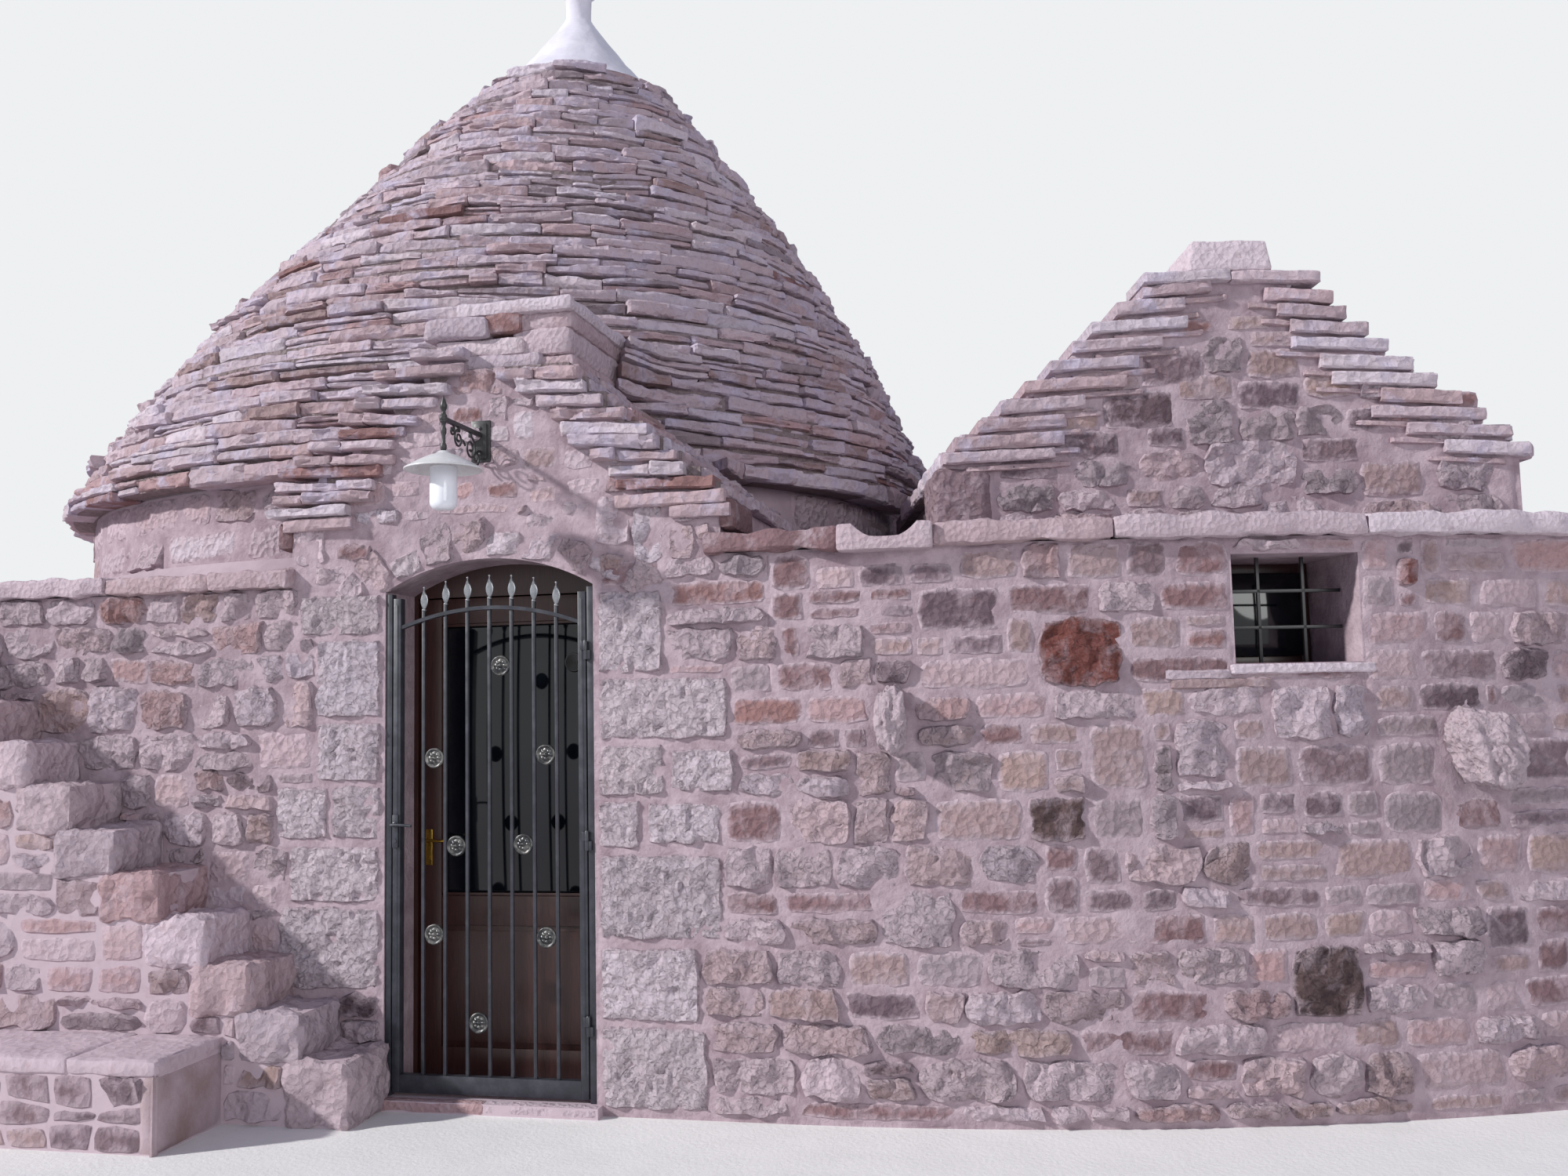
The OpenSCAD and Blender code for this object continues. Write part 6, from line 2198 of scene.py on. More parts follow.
@dataclass
class LooseStones:
    """Weathered stones that stand out of the bowed wall, full of holes."""

    # Place along the bow, foot, height, width, reach out of the wall, and lean
    spots: tuple = ((0.508, 1.476, 0.255, 0.125, 0.13, 0.0), (2.841, 1.275, 0.32, 0.225, 0.215, -0.35))

    def build(self) -> None:
        """Shapes both stones from spheres."""
        bm = bmesh.new()
        for n, (along, low, height, width, out, lean) in enumerate(self.spots):
            made = bmesh.ops.create_icosphere(bm, subdivisions=5, radius=1.0)["verts"]
            drift = Vector((7.3 * n + 2.0, 1.7, 4.1))
            for v in made:
                p = v.co.copy()
                square = max(abs(p.x), abs(p.y), abs(p.z)) ** 0.55
                rough = 1 + 0.26 * noise.noise(p * 1.7 + drift) + 0.10 * ridges(p * 4.0 + drift)
                holes = 0.16 * max(0.0, noise.noise(p * 3.1 + drift * 2) - 0.16) / 0.5
                p = p / square * (rough - holes) * 0.92
                s = along + p.x * width / 2 + p.z * lean * width / 2
                z = low + height / 2 + p.z * height / 2
                v.co = BOW.at(s, z, out * 0.42 - p.y * out * 0.58)
        bmesh.ops.recalc_face_normals(bm, faces=bm.faces)
        obj = as_piece(bm, "weathered_stones", HOLED_STONE, HOUSE)
        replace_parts(obj, "projecting_stones")


def lathe(bm: BMesh, profile: Sequence[tuple[float, float]], centre: Vector,
          steps: int = 32, axis: Vector = Vector((0, 0, 1))) -> list[BMVert]:
    """Spins a profile into a closed turned shape.

    Args:
        bm: The mesh that takes it.
        profile: Radius and height of each point, from one end of the axis to the other.
        centre: Where height 0 of the axis lies.
        steps: Steps round the axis.
        axis: Direction of the axis.

    Returns:
        The new points.
    """
    before = set(bm.verts)
    line = [bm.verts.new((max(r, 0.0), 0.0, z)) for r, z in profile]
    edges = [bm.edges.new(pair) for pair in zip(line, line[1:])]
    bmesh.ops.spin(bm, geom=line + edges, cent=(0, 0, 0), axis=(0, 0, 1), angle=2 * math.pi, steps=steps,
                   use_merge=True, use_duplicate=False)
    made = [v for v in bm.verts if v not in before]
    bmesh.ops.remove_doubles(bm, verts=made, dist=1e-6)
    made = [v for v in bm.verts if v not in before]
    faces = list({f for v in made for f in v.link_faces})
    bmesh.ops.recalc_face_normals(bm, faces=faces)
    turn = Vector((0, 0, 1)).rotation_difference(axis).to_matrix()
    for v in made:
        v.co = turn @ v.co + centre
    return made


def bar(bm: BMesh, low: Sequence[float], high: Sequence[float], round_: float = 0.0015) -> None:
    """Adds a box between two corners with softened edges.

    Args:
        bm: The mesh that takes it.
        low: Lowest corner.
        high: Highest corner.
        round_: Width of the softened edges.
    """
    made = bmesh.ops.create_cube(bm, size=1.0)["verts"]
    size = Vector(high) - Vector(low)
    middle = (Vector(high) + Vector(low)) / 2
    for v in made:
        v.co = Vector((v.co.x * size.x, v.co.y * size.y, v.co.z * size.z)) + middle
    edges = list({e for v in made for e in v.link_edges})
    bmesh.ops.bevel(bm, geom=edges, offset=min(round_, min(size) * 0.3), offset_type="OFFSET", segments=2,
                    profile=0.5, affect="EDGES", material=-1)


def rod(bm: BMesh, path: Sequence[Vector], radii: Sequence[float], sides: int = 10,
        flat: float = 1.0) -> None:
    """Sweeps a round or oval section along a path and closes its ends.

    Args:
        bm: The mesh that takes it.
        path: Points of the path.
        radii: Radius at each point.
        sides: Sides of the section.
        flat: Width of the section across X as a share of its height.
    """
    rings = []
    for k, spot in enumerate(path):
        ahead = path[min(k + 1, len(path) - 1)] - path[max(k - 1, 0)]
        turn = Vector((0, 0, 1)).rotation_difference(ahead.normalized()).to_matrix()
        ring = bmesh.ops.create_circle(bm, segments=sides, radius=radii[k])["verts"]
        for v in ring:
            v.co = turn @ v.co
            v.co.x *= flat
            v.co += spot
        rings.append(ring)
    for first, second in zip(rings, rings[1:]):
        edges = [e for ring in (first, second) for v in ring for e in v.link_edges
                 if all(w in ring for w in e.verts)]
        bmesh.ops.bridge_loops(bm, edges=list(dict.fromkeys(edges)))
    for ring in (rings[0], rings[-1]):
        bm.faces.new(ring)


def sleeve(bm: BMesh, sections: Sequence[Sequence[Vector]]) -> None:
    """Joins sections with the same number of corners, in order, into a closed shape.

    Args:
        bm: The mesh that takes it.
        sections: The corners of each section.
    """
    rings = [[bm.verts.new(corner) for corner in section] for section in sections]
    for first, second in zip(rings, rings[1:]):
        for k in range(len(first)):
            bm.faces.new((first[k - 1], first[k], second[k], second[k - 1]))
    bm.faces.new(rings[0][::-1])
    bm.faces.new(rings[-1])


@dataclass
class Pinnacle:
    """The white tip: a hand-plastered flare with a wavy skirt, a neck, a collar and a ball."""

    height: float = 0.60
    neck: float = 0.086
    flare: float = 1.12
    collar_up: float = 0.175
    ball: float = 0.080
    ball_up: float = 0.100

    def build(self) -> None:
        """Turns the profile and floats it by hand."""
        bm = bmesh.new()
        centre = Vector((PLAN.cone_lean, 0.0, PLAN.cone_top_z))
        base = PLAN.tip_r + 0.014
        steps = 26
        profile = [(0.0, -0.05), (base - 0.05, -0.05), (base, -0.035)]
        for k in range(steps + 1):
            u = k / steps
            profile.append((self.neck + (base - self.neck) * (1 - u) ** self.flare, u * self.height))
        top = self.height + self.collar_up
        profile += [(self.neck * 0.97, self.height + 0.05), (self.neck, top - 0.02), (0.10, top),
                    (0.12, top + 0.010), (0.124, top + 0.020), (0.12, top + 0.030), (0.09, top + 0.038),
                    (0.05, top + 0.042)]
        mid = top + self.ball_up
        for k in range(1, 13):
            a = math.pi * (0.14 + 0.86 * k / 12)
            profile.append((self.ball * math.sin(a), mid - self.ball * math.cos(a)))
        made = lathe(bm, profile, centre, 96)
        for v in made:
            p = v.co - centre
            around = math.atan2(p.y, p.x)
            away = Vector((math.cos(around), math.sin(around), 0.25))
            swell = noise.noise(p / 0.16) * 0.008 + noise.noise(p / 0.06) * 0.003
            if p.z < 0.05:
                swell += noise.noise(Vector((math.cos(around) * 2.4, math.sin(around) * 2.4, 1.0))) * 0.012
                v.co.z += noise.noise(Vector((math.cos(around) * 3.0, math.sin(around) * 3.0, 5.0))) * 0.018
            v.co += away * swell
        obj = as_piece(bm, "plastered_tip", WHITEWASH_WITH_PAINTED_SHADE, HOUSE)
        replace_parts(obj, "pinnacle")


@dataclass
class Window:
    """The small window: sill slabs, dark frame, glass and grille."""

    mid: float = math.radians(15.375)
    low: float = 1.795
    high: float = 2.235

    def place(self, bm: BMesh, depth: float) -> None:
        """Moves a shape made round x = 0, y = 0 into the window at a depth behind the bow.

        Args:
            bm: The shape.
            depth: Distance behind the bow.
        """
        r = PLAN.bow_r - depth
        turn = Matrix.Rotation(self.mid, 4, "Z")
        centre = Vector((PLAN.bend_x, PLAN.front_y + PLAN.bow_r, 0.0))
        bmesh.ops.transform(bm, verts=bm.verts, matrix=Matrix.Translation(centre) @ turn
                            @ Matrix.Translation(Vector((0.0, -r, 0.0))))

    def build(self) -> None:
        """Builds the window's pieces."""
        half, bead = 0.24, 0.042
        frame_bm = bmesh.new()
        for low, high in (((-half, 0, self.low + 0.001), (-half + bead, 0.045, self.high - 0.001)),
                          ((half - bead, 0, self.low + 0.001), (half, 0.045, self.high - 0.001)),
                          ((-half + bead, 0, self.low + 0.001), (half - bead, 0.045, self.low + bead)),
                          ((-half + bead, 0, self.high - bead), (half - bead, 0.045, self.high - 0.001))):
            bar(frame_bm, low, high, 0.003)
        self.place(frame_bm, 0.43)
        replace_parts(as_piece(frame_bm, "window_wood", DOOR_WOOD, HOUSE, False), "window_frame")
        # The pane's near-black colour is painted shade of the room behind it
        pane = bmesh.new()
        bar(pane, (-half + bead, 0.0, self.low + bead), (half - bead, 0.005, self.high - bead), 0.0004)
        self.place(pane, 0.41)
        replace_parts(as_piece(pane, "window_pane", GLASS_WITH_PAINTED_SHADE, HOUSE, False), "window_glass")
        grille = bmesh.new()
        for x in (-0.095, 0.095):
            bar(grille, (x - 0.007, 0.0, self.low + 0.001), (x + 0.007, 0.014, self.high - 0.001))
        for z in (0.15, 0.30):
            bar(grille, (-0.251, 0.0, self.low + z - 0.007), (0.251, 0.014, self.low + z + 0.007))
        self.place(grille, 0.15)
        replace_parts(as_piece(grille, "window_bars", BLACK_IRON, HOUSE, False), "window_grille")
        work = Masonry("window_sills", 84)
        for a, b, z, kind in ((1.86, 2.46, 1.770, WHITE), (1.60, 1.86, 1.752, PALE),
                              (1.62, 2.02, 1.716, TAN)):
            work.lay_slab(BOW, a, b, (z - 0.018, z - 0.018), (z + 0.022, z + 0.020), 0.014, 0.05, kind,
                          0.005, 0.03)
        work.finish(HEWN, "dressed_stone")


KNUCKLE = ((0.0, 0.0), (0.009, 0.0), (0.009, 0.038), (0.0, 0.038))  # outline of a hinge's sleeve
GATE_Y = PLAN.front_y + 0.005
GATE_X = (0.621, 1.509)
PIN = Vector((1.512, GATE_Y - 0.011, 0.0))


@dataclass
class Gate:
    """The iron gate: flat posts, square bars, spear tips with balls, rosettes and lock."""

    stile: float = 0.035
    depth: float = 0.040
    low: float = 0.060
    high: float = 2.170
    bars: int = 7
    rail: float = 2.050
    rise: float = 0.075
    rail_h: float = 0.016
    foot_h: float = 0.075
    hinges: tuple[float, ...] = (0.32, 1.08, 1.88)
    # Gap between two bars, counted from the left, and height
    rosettes: tuple = ((5, 1.864), (2, 1.472), (7, 1.480), (3, 1.096), (6, 1.103), (2, 0.721), (7, 0.715),
                       (4, 0.356))

    @property
    def pitch(self) -> float:
        """Distance between bars."""
        return (GATE_X[1] - GATE_X[0] - 2 * self.stile) / (self.bars + 1)

    @property
    def arc_r(self) -> float:
        """Radius of the arched rail's outside."""
        half = (GATE_X[1] - GATE_X[0]) / 2 - self.stile
        return (half * half + self.rise * self.rise) / (2 * self.rise)

    def drop(self, x: float) -> float:
        """How far the rail lies below its crown."""
        dx = x - sum(GATE_X) / 2
        return self.arc_r - math.sqrt(self.arc_r ** 2 - dx ** 2)

    def build(self) -> None:
        """Builds posts, leaf and rosettes."""
        self.posts()
        self.leaf()
        self.flowers()

    def posts(self) -> None:
        """The fixed posts with their hinge sleeves."""
        bm = bmesh.new()
        for x in (0.587, 1.515):
            bar(bm, (x, GATE_Y, 0.045), (x + 0.028, GATE_Y + self.depth, 2.190), 0.002)
        for z in self.hinges:
            lathe(bm, KNUCKLE, PIN + Vector((0, 0, z)), 20)
            bar(bm, (PIN.x, PIN.y - 0.004, z), (PIN.x + 0.022, GATE_Y + 0.001, z + 0.038))
        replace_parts(as_piece(bm, "gate_post_bars", SLATE_IRON, HOUSE, False), "gate_posts")

    def leaf(self) -> None:
        """Stiles, rails, bars, spears, hinges and lock."""
        bm = bmesh.new()
        heads = bmesh.new()
        left, right = GATE_X
        for x in (left, right - self.stile):
            bar(bm, (x, GATE_Y, self.low), (x + self.stile, GATE_Y + self.depth, self.high), 0.002)
            bar(bm, (x + 0.012, GATE_Y - 0.0015, self.low + 0.10),
                (x + 0.023, GATE_Y + 0.002, self.high - 0.03), 0.0005)
        bar(bm, (left + self.stile, GATE_Y + 0.001, self.low),
            (right - self.stile, GATE_Y + self.depth - 0.001, self.low + self.foot_h), 0.002)
        self.arched_rail(bm)
        for k in range(1, self.bars + 1):
            x = left + self.stile + k * self.pitch
            top = self.rail + self.rise - self.drop(x) + 0.038
            bar(bm, (x - 0.007, GATE_Y + 0.009, self.low + self.foot_h - 0.002),
                (x + 0.007, GATE_Y + 0.023, top), 0.0012)
            self.spear(heads, x, top)
        for z in self.hinges:
            lathe(bm, ((0.0, 0.0), (0.009, 0.0), (0.009, 0.038), (0.006, 0.043), (0.0, 0.044)),
                  PIN + Vector((0, 0, z + 0.039)), 20)
            bar(bm, (PIN.x - 0.022, PIN.y - 0.004, z + 0.039), (PIN.x, GATE_Y + 0.001, z + 0.077))
        self.lock(bm)
        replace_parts(as_piece(bm, "gate_leaf_bars", SLATE_IRON, GATE, False), "gate_leaf")
        bmesh.ops.recalc_face_normals(heads, faces=heads.faces)
        as_piece(heads, "gate_spear_heads", SPEAR_METAL, GATE)

    def arched_rail(self, bm: BMesh) -> None:
        """The flat arched rail under the spears.

        Args:
            bm: The leaf's mesh.
        """
        inner = [GATE_X[0] + self.stile, GATE_X[1] - self.stile]
        left, right = inner[0] - 0.002, inner[1] + 0.002
        half_y, half_z, count = 0.012, self.rail_h / 2, 28
        corners = [Vector((0, y, z)) for y, z in (
            (-half_y, -half_z), (half_y, -half_z), (half_y, half_z), (-half_y, half_z))]
        sections = []
        for k in range(count + 1):
            x = left + (right - left) * k / count
            z = self.rail + self.rise - self.drop(min(max(x, inner[0]), inner[1])) - half_z
            sections.append([Vector((x, GATE_Y + 0.016, z)) + corner for corner in corners])
        sleeve(bm, sections)

    def spear(self, bm: BMesh, x: float, low: float) -> None:
        """A flat leaf-shaped tip with a hollow face, a neck and a ball.

        Args:
            bm: The mesh that takes it.
            x: Place across.
            low: Height of its foot.
        """
        half = ((0.0, 0.006), (0.012, 0.0115), (0.026, 0.0165), (0.042, 0.0175), (0.058, 0.013),
                (0.072, 0.0075), (0.082, 0.0035))
        y = GATE_Y + 0.016
        section = ((-1.0, 0.0), (-0.55, -0.0045), (0.0, -0.0015), (0.55, -0.0045), (1.0, 0.0),
                   (0.55, 0.0045), (0.0, 0.0055), (-0.55, 0.0045))
        sleeve(bm, [[Vector((x + dx * w, y + dy, low + z)) for dx, dy in section] for z, w in half])
        lathe(bm, ((0.0, -0.004), (0.003, -0.003), (0.0028, 0.006), (0.0045, 0.0085), (0.005, 0.0115),
                   (0.0035, 0.015), (0.0, 0.0165)), Vector((x, y, low + 0.082)), 12)
        lathe(bm, ((0.0, -0.008), (0.0095, -0.008), (0.0105, -0.005), (0.0095, -0.002), (0.0, -0.002)),
              Vector((x, y, low)), 12)

    def lock(self, bm: BMesh) -> None:
        """Lock case, cylinder and lever.

        Args:
            bm: The leaf's mesh.
        """
        x = GATE_X[0] + self.stile / 2
        bar(bm, (GATE_X[0] + 0.004, GATE_Y - 0.014, 1.090),
            (GATE_X[0] + self.stile - 0.004, GATE_Y + 0.001, 1.230), 0.002)
        lathe(bm, ((0.0, -0.004), (0.011, -0.004), (0.011, 0.006), (0.007, 0.008), (0.007, 0.036),
                   (0.0, 0.036)), Vector((x, GATE_Y - 0.014, 1.190)), 20, TO_FRONT)
        path = [Vector((x, GATE_Y - 0.052, 1.190)), Vector((x + 0.03, GATE_Y - 0.054, 1.191)),
                Vector((x + 0.07, GATE_Y - 0.054, 1.189)), Vector((x + 0.095, GATE_Y - 0.052, 1.186))]
        rod(bm, path, (0.007, 0.0065, 0.0065, 0.006), 12)
        lathe(bm, ((0.0, -0.002), (0.009, -0.002), (0.008, 0.003), (0.0, 0.003)),
              Vector((x, GATE_Y - 0.014, 1.120)), 16, TO_FRONT)

    def flowers(self) -> None:
        """Cast rosettes between the bars, petals within a ring."""
        bm = bmesh.new()
        r = (self.pitch - 0.014) / 2 - 0.0003
        for gap, z in self.rosettes:
            x = GATE_X[0] + self.stile + (gap - 0.5) * self.pitch
            centre = Vector((x, GATE_Y + 0.017, z))
            profile = ((0.0, -0.003), (r, -0.003), (r, 0.006), (r - 0.004, 0.009), (r - 0.009, 0.0075),
                       (r - 0.012, 0.002), (r - 0.015, 0.002), (r - 0.020, 0.006), (0.017, 0.009),
                       (0.013, 0.004), (0.010, 0.004), (0.008, 0.009), (0.004, 0.0125), (0.0, 0.013))
            made = lathe(bm, profile, Vector((0, 0, 0)), 40)
            for v in made:
                d = math.hypot(v.co.x, v.co.y)
                a = math.atan2(v.co.y, v.co.x)
                if 0.012 < d < r - 0.011 and v.co.z > 0.0:
                    v.co.z *= 0.45 + 0.75 * abs(math.cos(4 * a))
                flat = v.co.copy()
                v.co = centre + Vector((flat.x, -flat.z, flat.y))
        bmesh.ops.recalc_face_normals(bm, faces=bm.faces)
        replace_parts(as_piece(bm, "gate_rosette_castings", CAST_METAL_WITH_PAINTED_GLINTS, GATE), "gate_rosettes")


@dataclass
class Door:
    """The dark wooden door behind the gate: moulded leaf, glass painted near-black as shade of the room
    behind, brass lever and vent.
    """

    y: float = PLAN.front_y + PLAN.reveal
    left: float = 0.610
    right: float = 1.520
    low: float = 0.058
    high: float = 2.185
    stile: float = 0.105
    glass_low: float = 0.850
    glass_high: float = 2.070
    thick: float = 0.050
    frame: float = 0.060
    hinges: tuple[float, ...] = (0.330, 1.900)
    pin: tuple[float, float] = (1.5225, PLAN.front_y + PLAN.reveal + 0.071)

    def build(self) -> None:
        """Builds leaf, glass, handle and vent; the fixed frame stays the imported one."""
        self.leaf()
        self.glass()
        self.handle()
        self.vent()

    def leaf(self) -> None:
        """Stiles, rails, sunk panel with a bead, and hinges."""
        bm = bmesh.new()
        y0, y1 = self.y + self.frame - self.thick, self.y + self.frame
        inner_l, inner_r = self.left + self.stile, self.right - self.stile
        foot, head = self.low + 0.13, self.glass_low - 0.13
        for x0, x1, z0, z1 in ((self.left, inner_l, self.low, self.high),
                               (inner_r, self.right, self.low, self.high),
                               (inner_l, inner_r, self.glass_high, self.high),
                               (inner_l, inner_r, head, self.glass_low),
                               (inner_l, inner_r, self.low, foot)):
            bar(bm, (x0, y0, z0), (x1, y1, z1), 0.003)
        bar(bm, (inner_l, y0 + 0.012, foot), (inner_r, y1 - 0.012, head), 0.001)
        self.raised(bm, inner_l, inner_r, foot, head, y0)
        for side, face in ((-1, y0), (1, y1)):
            for x0, x1, z0, z1 in ((inner_l, inner_r, self.glass_low, self.glass_low + 0.014),
                                   (inner_l, inner_r, self.glass_high - 0.014, self.glass_high),
                                   (inner_l, inner_l + 0.014, self.glass_low, self.glass_high),
                                   (inner_r - 0.014, inner_r, self.glass_low, self.glass_high)):
                a, b = (face + 0.003, face + 0.016) if side < 0 else (face - 0.016, face - 0.003)
                bar(bm, (x0, a, z0), (x1, b, z1), 0.004)
        for z in self.hinges:
            lathe(bm, KNUCKLE, Vector((*self.pin, z + 0.039)), 20)
            bar(bm, (self.pin[0] - 0.022, y1 - 0.001, z + 0.039),
                (self.pin[0], self.pin[1] + 0.004, z + 0.077))
        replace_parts(as_piece(bm, "door_leaf_boards", DOOR_WOOD, DOOR, False), "door_leaf")

    def raised(self, bm: BMesh, left: float, right: float, low: float, high: float, y: float) -> None:
        """The raised field of the panel, its edges sloped by an inset.

        Args:
            bm: The leaf's mesh.
            left: Left edge of the panel.
            right: Its right edge.
            low: Its lower edge.
            high: Its upper edge.
            y: The leaf's face.
        """
        made = bmesh.ops.create_cube(bm, size=1.0)["verts"]
        size = Vector((right - left - 0.05, 0.010, high - low - 0.05))
        middle = Vector(((left + right) / 2, y + 0.012, (low + high) / 2))
        for v in made:
            v.co = Vector((v.co.x * size.x, v.co.y * size.y, v.co.z * size.z)) + middle
        front = [f for f in {f for v in made for f in v.link_faces}
                 if all(v.co.y < middle.y for v in f.verts)]
        bmesh.ops.inset_region(bm, faces=front, thickness=0.03, depth=0.006, use_even_offset=True)

    def glass(self) -> None:
        """One pane that mirrors the yard; its near-black colour is painted shade of the room behind."""
        bm = bmesh.new()
        y = self.y + self.frame - self.thick / 2
        bar(bm, (self.left + self.stile, y - 0.005, self.glass_low),
            (self.right - self.stile, y + 0.005, self.glass_high), 0.0005)
        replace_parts(as_piece(bm, "door_pane", GLASS_WITH_PAINTED_SHADE, DOOR, False), "door_glass")

    def handle(self) -> None:
        """Brass plates with keyhole and lever on both sides."""
        bm = bmesh.new()
        x = self.left + 0.045
        for side, face in ((-1, self.y + self.frame - self.thick), (1, self.y + self.frame)):
            a, b = sorted((face, face + side * 0.006))
            bar(bm, (x - 0.018, a, 0.985), (x + 0.018, b, 1.145), 0.003)
            out = Vector((0, side, 0))
            lathe(bm, ((0.0, 0.0), (0.013, 0.0), (0.011, 0.004), (0.008, 0.007), (0.008, 0.042),
                       (0.0, 0.044)), Vector((x, face + side * 0.005, 1.0955)), 20, out)
            y = face + side * 0.042
            path = [Vector((x - 0.004, y, 1.0955)), Vector((x + 0.03, y, 1.098)),
                    Vector((x + 0.07, y, 1.094)), Vector((x + 0.10, y, 1.097)),
                    Vector((x + 0.105, y, 1.099))]
            rod(bm, path, (0.007, 0.0068, 0.0055, 0.006, 0.004), 12)
            lathe(bm, ((0.0, 0.0), (0.008, 0.0), (0.008, 0.003), (0.0, 0.003)),
                  Vector((x, face + side * 0.006, 1.02)), 16, out)
        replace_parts(as_piece(bm, "door_lever", BRASS, DOOR), "door_handle")

    def vent(self) -> None:
        """The round vent in the glass, with rings of slots."""
        bm = bmesh.new()
        y = self.y + self.frame - self.thick / 2 - 0.005
        r = 0.043
        profile = [(0.0, 0.0), (r, 0.0), (r, 0.006), (r - 0.003, 0.010)]
        for k in range(5):
            d = r - 0.008 - k * 0.007
            profile += [(d, 0.010), (d - 0.001, 0.007), (d - 0.003, 0.007), (d - 0.004, 0.010)]
        profile += [(0.0, 0.012)]
        lathe(bm, profile, Vector((self.right - self.stile - r - 0.025, y, 1.88)), 40, TO_FRONT)
        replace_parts(as_piece(bm, "door_vent_disc", BLACK_PLASTIC, DOOR, False), "door_vent")


@dataclass
class Lantern:
    """The wrought bracket with scrolls, the enamelled shade and the opal glass."""

    x: float = 1.040
    out: float = 0.370
    z: float = 2.655
    arm_z: float = 2.870

    def build(self) -> None:
        """Builds bracket, shade and glass."""
        self.bracket()
        self.shade()
        self.globe()

    def scroll(self, bm: BMesh, y: float, z: float, size: float, turns: float, start: float,
               way: float) -> None:
        """A bar wound into a spiral, in the plane of the arm.

        Args:
            bm: The mesh that takes it.
            y: Place of the spiral's middle along the arm.
            z: Its height.
            size: Radius at which the spiral begins.
            turns: Number of turns.
            start: Angle at which it begins.
            way: 1 to turn up first, -1 to turn down.
        """
        path, radii = [], []
        count = int(26 * turns)
        for k in range(count + 1):
            u = k / count
            a = start + way * u * turns * 2 * math.pi
            r = size * (1 - 0.80 * u)
            path.append(Vector((self.x, y + r * math.cos(a), z + r * math.sin(a))))
            radii.append(0.0045 if u < 0.96 else 0.0065)
        rod(bm, path, radii, 8)

    def bracket(self) -> None:
        """Wall plate, square arm, turned post, scrolls and finial."""
        bm = bmesh.new()
        wall = PLAN.front_y
        bar(bm, (self.x - 0.045, wall - 0.012, 2.750), (self.x + 0.045, wall, 2.935), 0.004)
        bar(bm, (self.x - 0.030, wall - 0.018, 2.765), (self.x + 0.030, wall - 0.010, 2.920), 0.003)
        for z in (2.785, 2.900):
            lathe(bm, ((0.0, 0.0), (0.008, 0.0), (0.006, 0.004), (0.0, 0.006)),
                  Vector((self.x, wall - 0.018, z)), 12, TO_FRONT)
        bar(bm, (self.x - 0.009, wall - self.out - 0.009, self.arm_z - 0.009),
            (self.x + 0.009, wall - 0.011, self.arm_z + 0.009), 0.002)
        post = Vector((self.x, wall - self.out, 0.0))
        lathe(bm, ((0.0, 2.735), (0.009, 2.735), (0.013, 2.745), (0.013, 2.760), (0.008, 2.770),
                   (0.008, 2.800), (0.012, 2.812), (0.012, 2.826), (0.008, 2.838), (0.009, 2.850),
                   (0.015, 2.858), (0.015, 2.884), (0.009, 2.892), (0.008, 2.902), (0.014, 2.914),
                   (0.015, 2.926), (0.010, 2.942), (0.005, 2.956), (0.0, 2.971)), post, 20)
        lathe(bm, ((0.0, -0.014), (0.012, -0.012), (0.013, 0.0), (0.0, 0.012)),
              Vector((self.x, wall - self.out - 0.012, self.arm_z)), 16, TO_FRONT)
        self.scroll(bm, wall - 0.115, 2.795, 0.052, 1.6, math.pi / 2, -1)
        self.scroll(bm, wall - 0.060, 2.700 + 0.062, 0.034, 1.4, -math.pi / 2, 1)
        self.scroll(bm, wall - 0.232, 2.812, 0.040, 1.6, math.pi / 2, 1)
        self.scroll(bm, wall - 0.290, 2.838, 0.024, 1.3, math.pi / 2, -1)
        links = ((wall - 0.012, 2.800, wall - 0.070, 2.776), (wall - 0.167, 2.795, wall - 0.196, 2.815))
        for y0, z0, y1, z1 in links:
            rod(bm, [Vector((self.x, y0, z0)), Vector((self.x, (y0 + y1) / 2, (z0 + z1) / 2 + 0.006)),
                     Vector((self.x, y1, z1))], (0.0045, 0.0045, 0.0045), 8)
        for y in (wall - 0.115, wall - 0.232):
            bar(bm, (self.x - 0.007, y - 0.006, self.arm_z - 0.030),
                (self.x + 0.007, y + 0.006, self.arm_z - 0.006), 0.001)
        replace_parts(as_piece(bm, "lantern_bracket_iron", BLACK_IRON, HOUSE, False),
                    "lantern_bracket")

    def shade(self) -> None:
        """A shallow enamelled cone with a rolled rim and a cap."""
        bm = bmesh.new()
        centre = Vector((self.x, PLAN.front_y - self.out, 0.0))
        box_low, box_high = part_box("lantern_shade")
        z0, z1 = box_low[2], box_high[2]
        r = (box_high[0] - box_low[0]) / 2
        t = 0.002
        profile = [(0.0, z1), (0.020, z1), (0.026, z1 - 0.006), (0.040, z1 - 0.014)]
        for k in range(1, 9):
            u = k / 8
            profile.append((0.040 + (r - 0.044) * u, z1 - 0.014 - (z1 - z0 - 0.022) * u ** 1.25))
        profile += [(r - 0.001, z0 + 0.007), (r, z0 + 0.004), (r - 0.001, z0 + 0.001), (r - 0.004, z0),
                    (r - 0.006, z0 + 0.003)]
        for k in range(8, 0, -1):
            u = k / 8
            profile.append((0.036 + (r - 0.044) * u, z1 - 0.014 - t - (z1 - z0 - 0.022) * u ** 1.25))
        profile += [(0.0, z1 - 0.012)]
        lathe(bm, profile, centre, 64)
        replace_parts(as_piece(bm, "lantern_enamel_shade", ENAMEL, HOUSE), "lantern_shade")

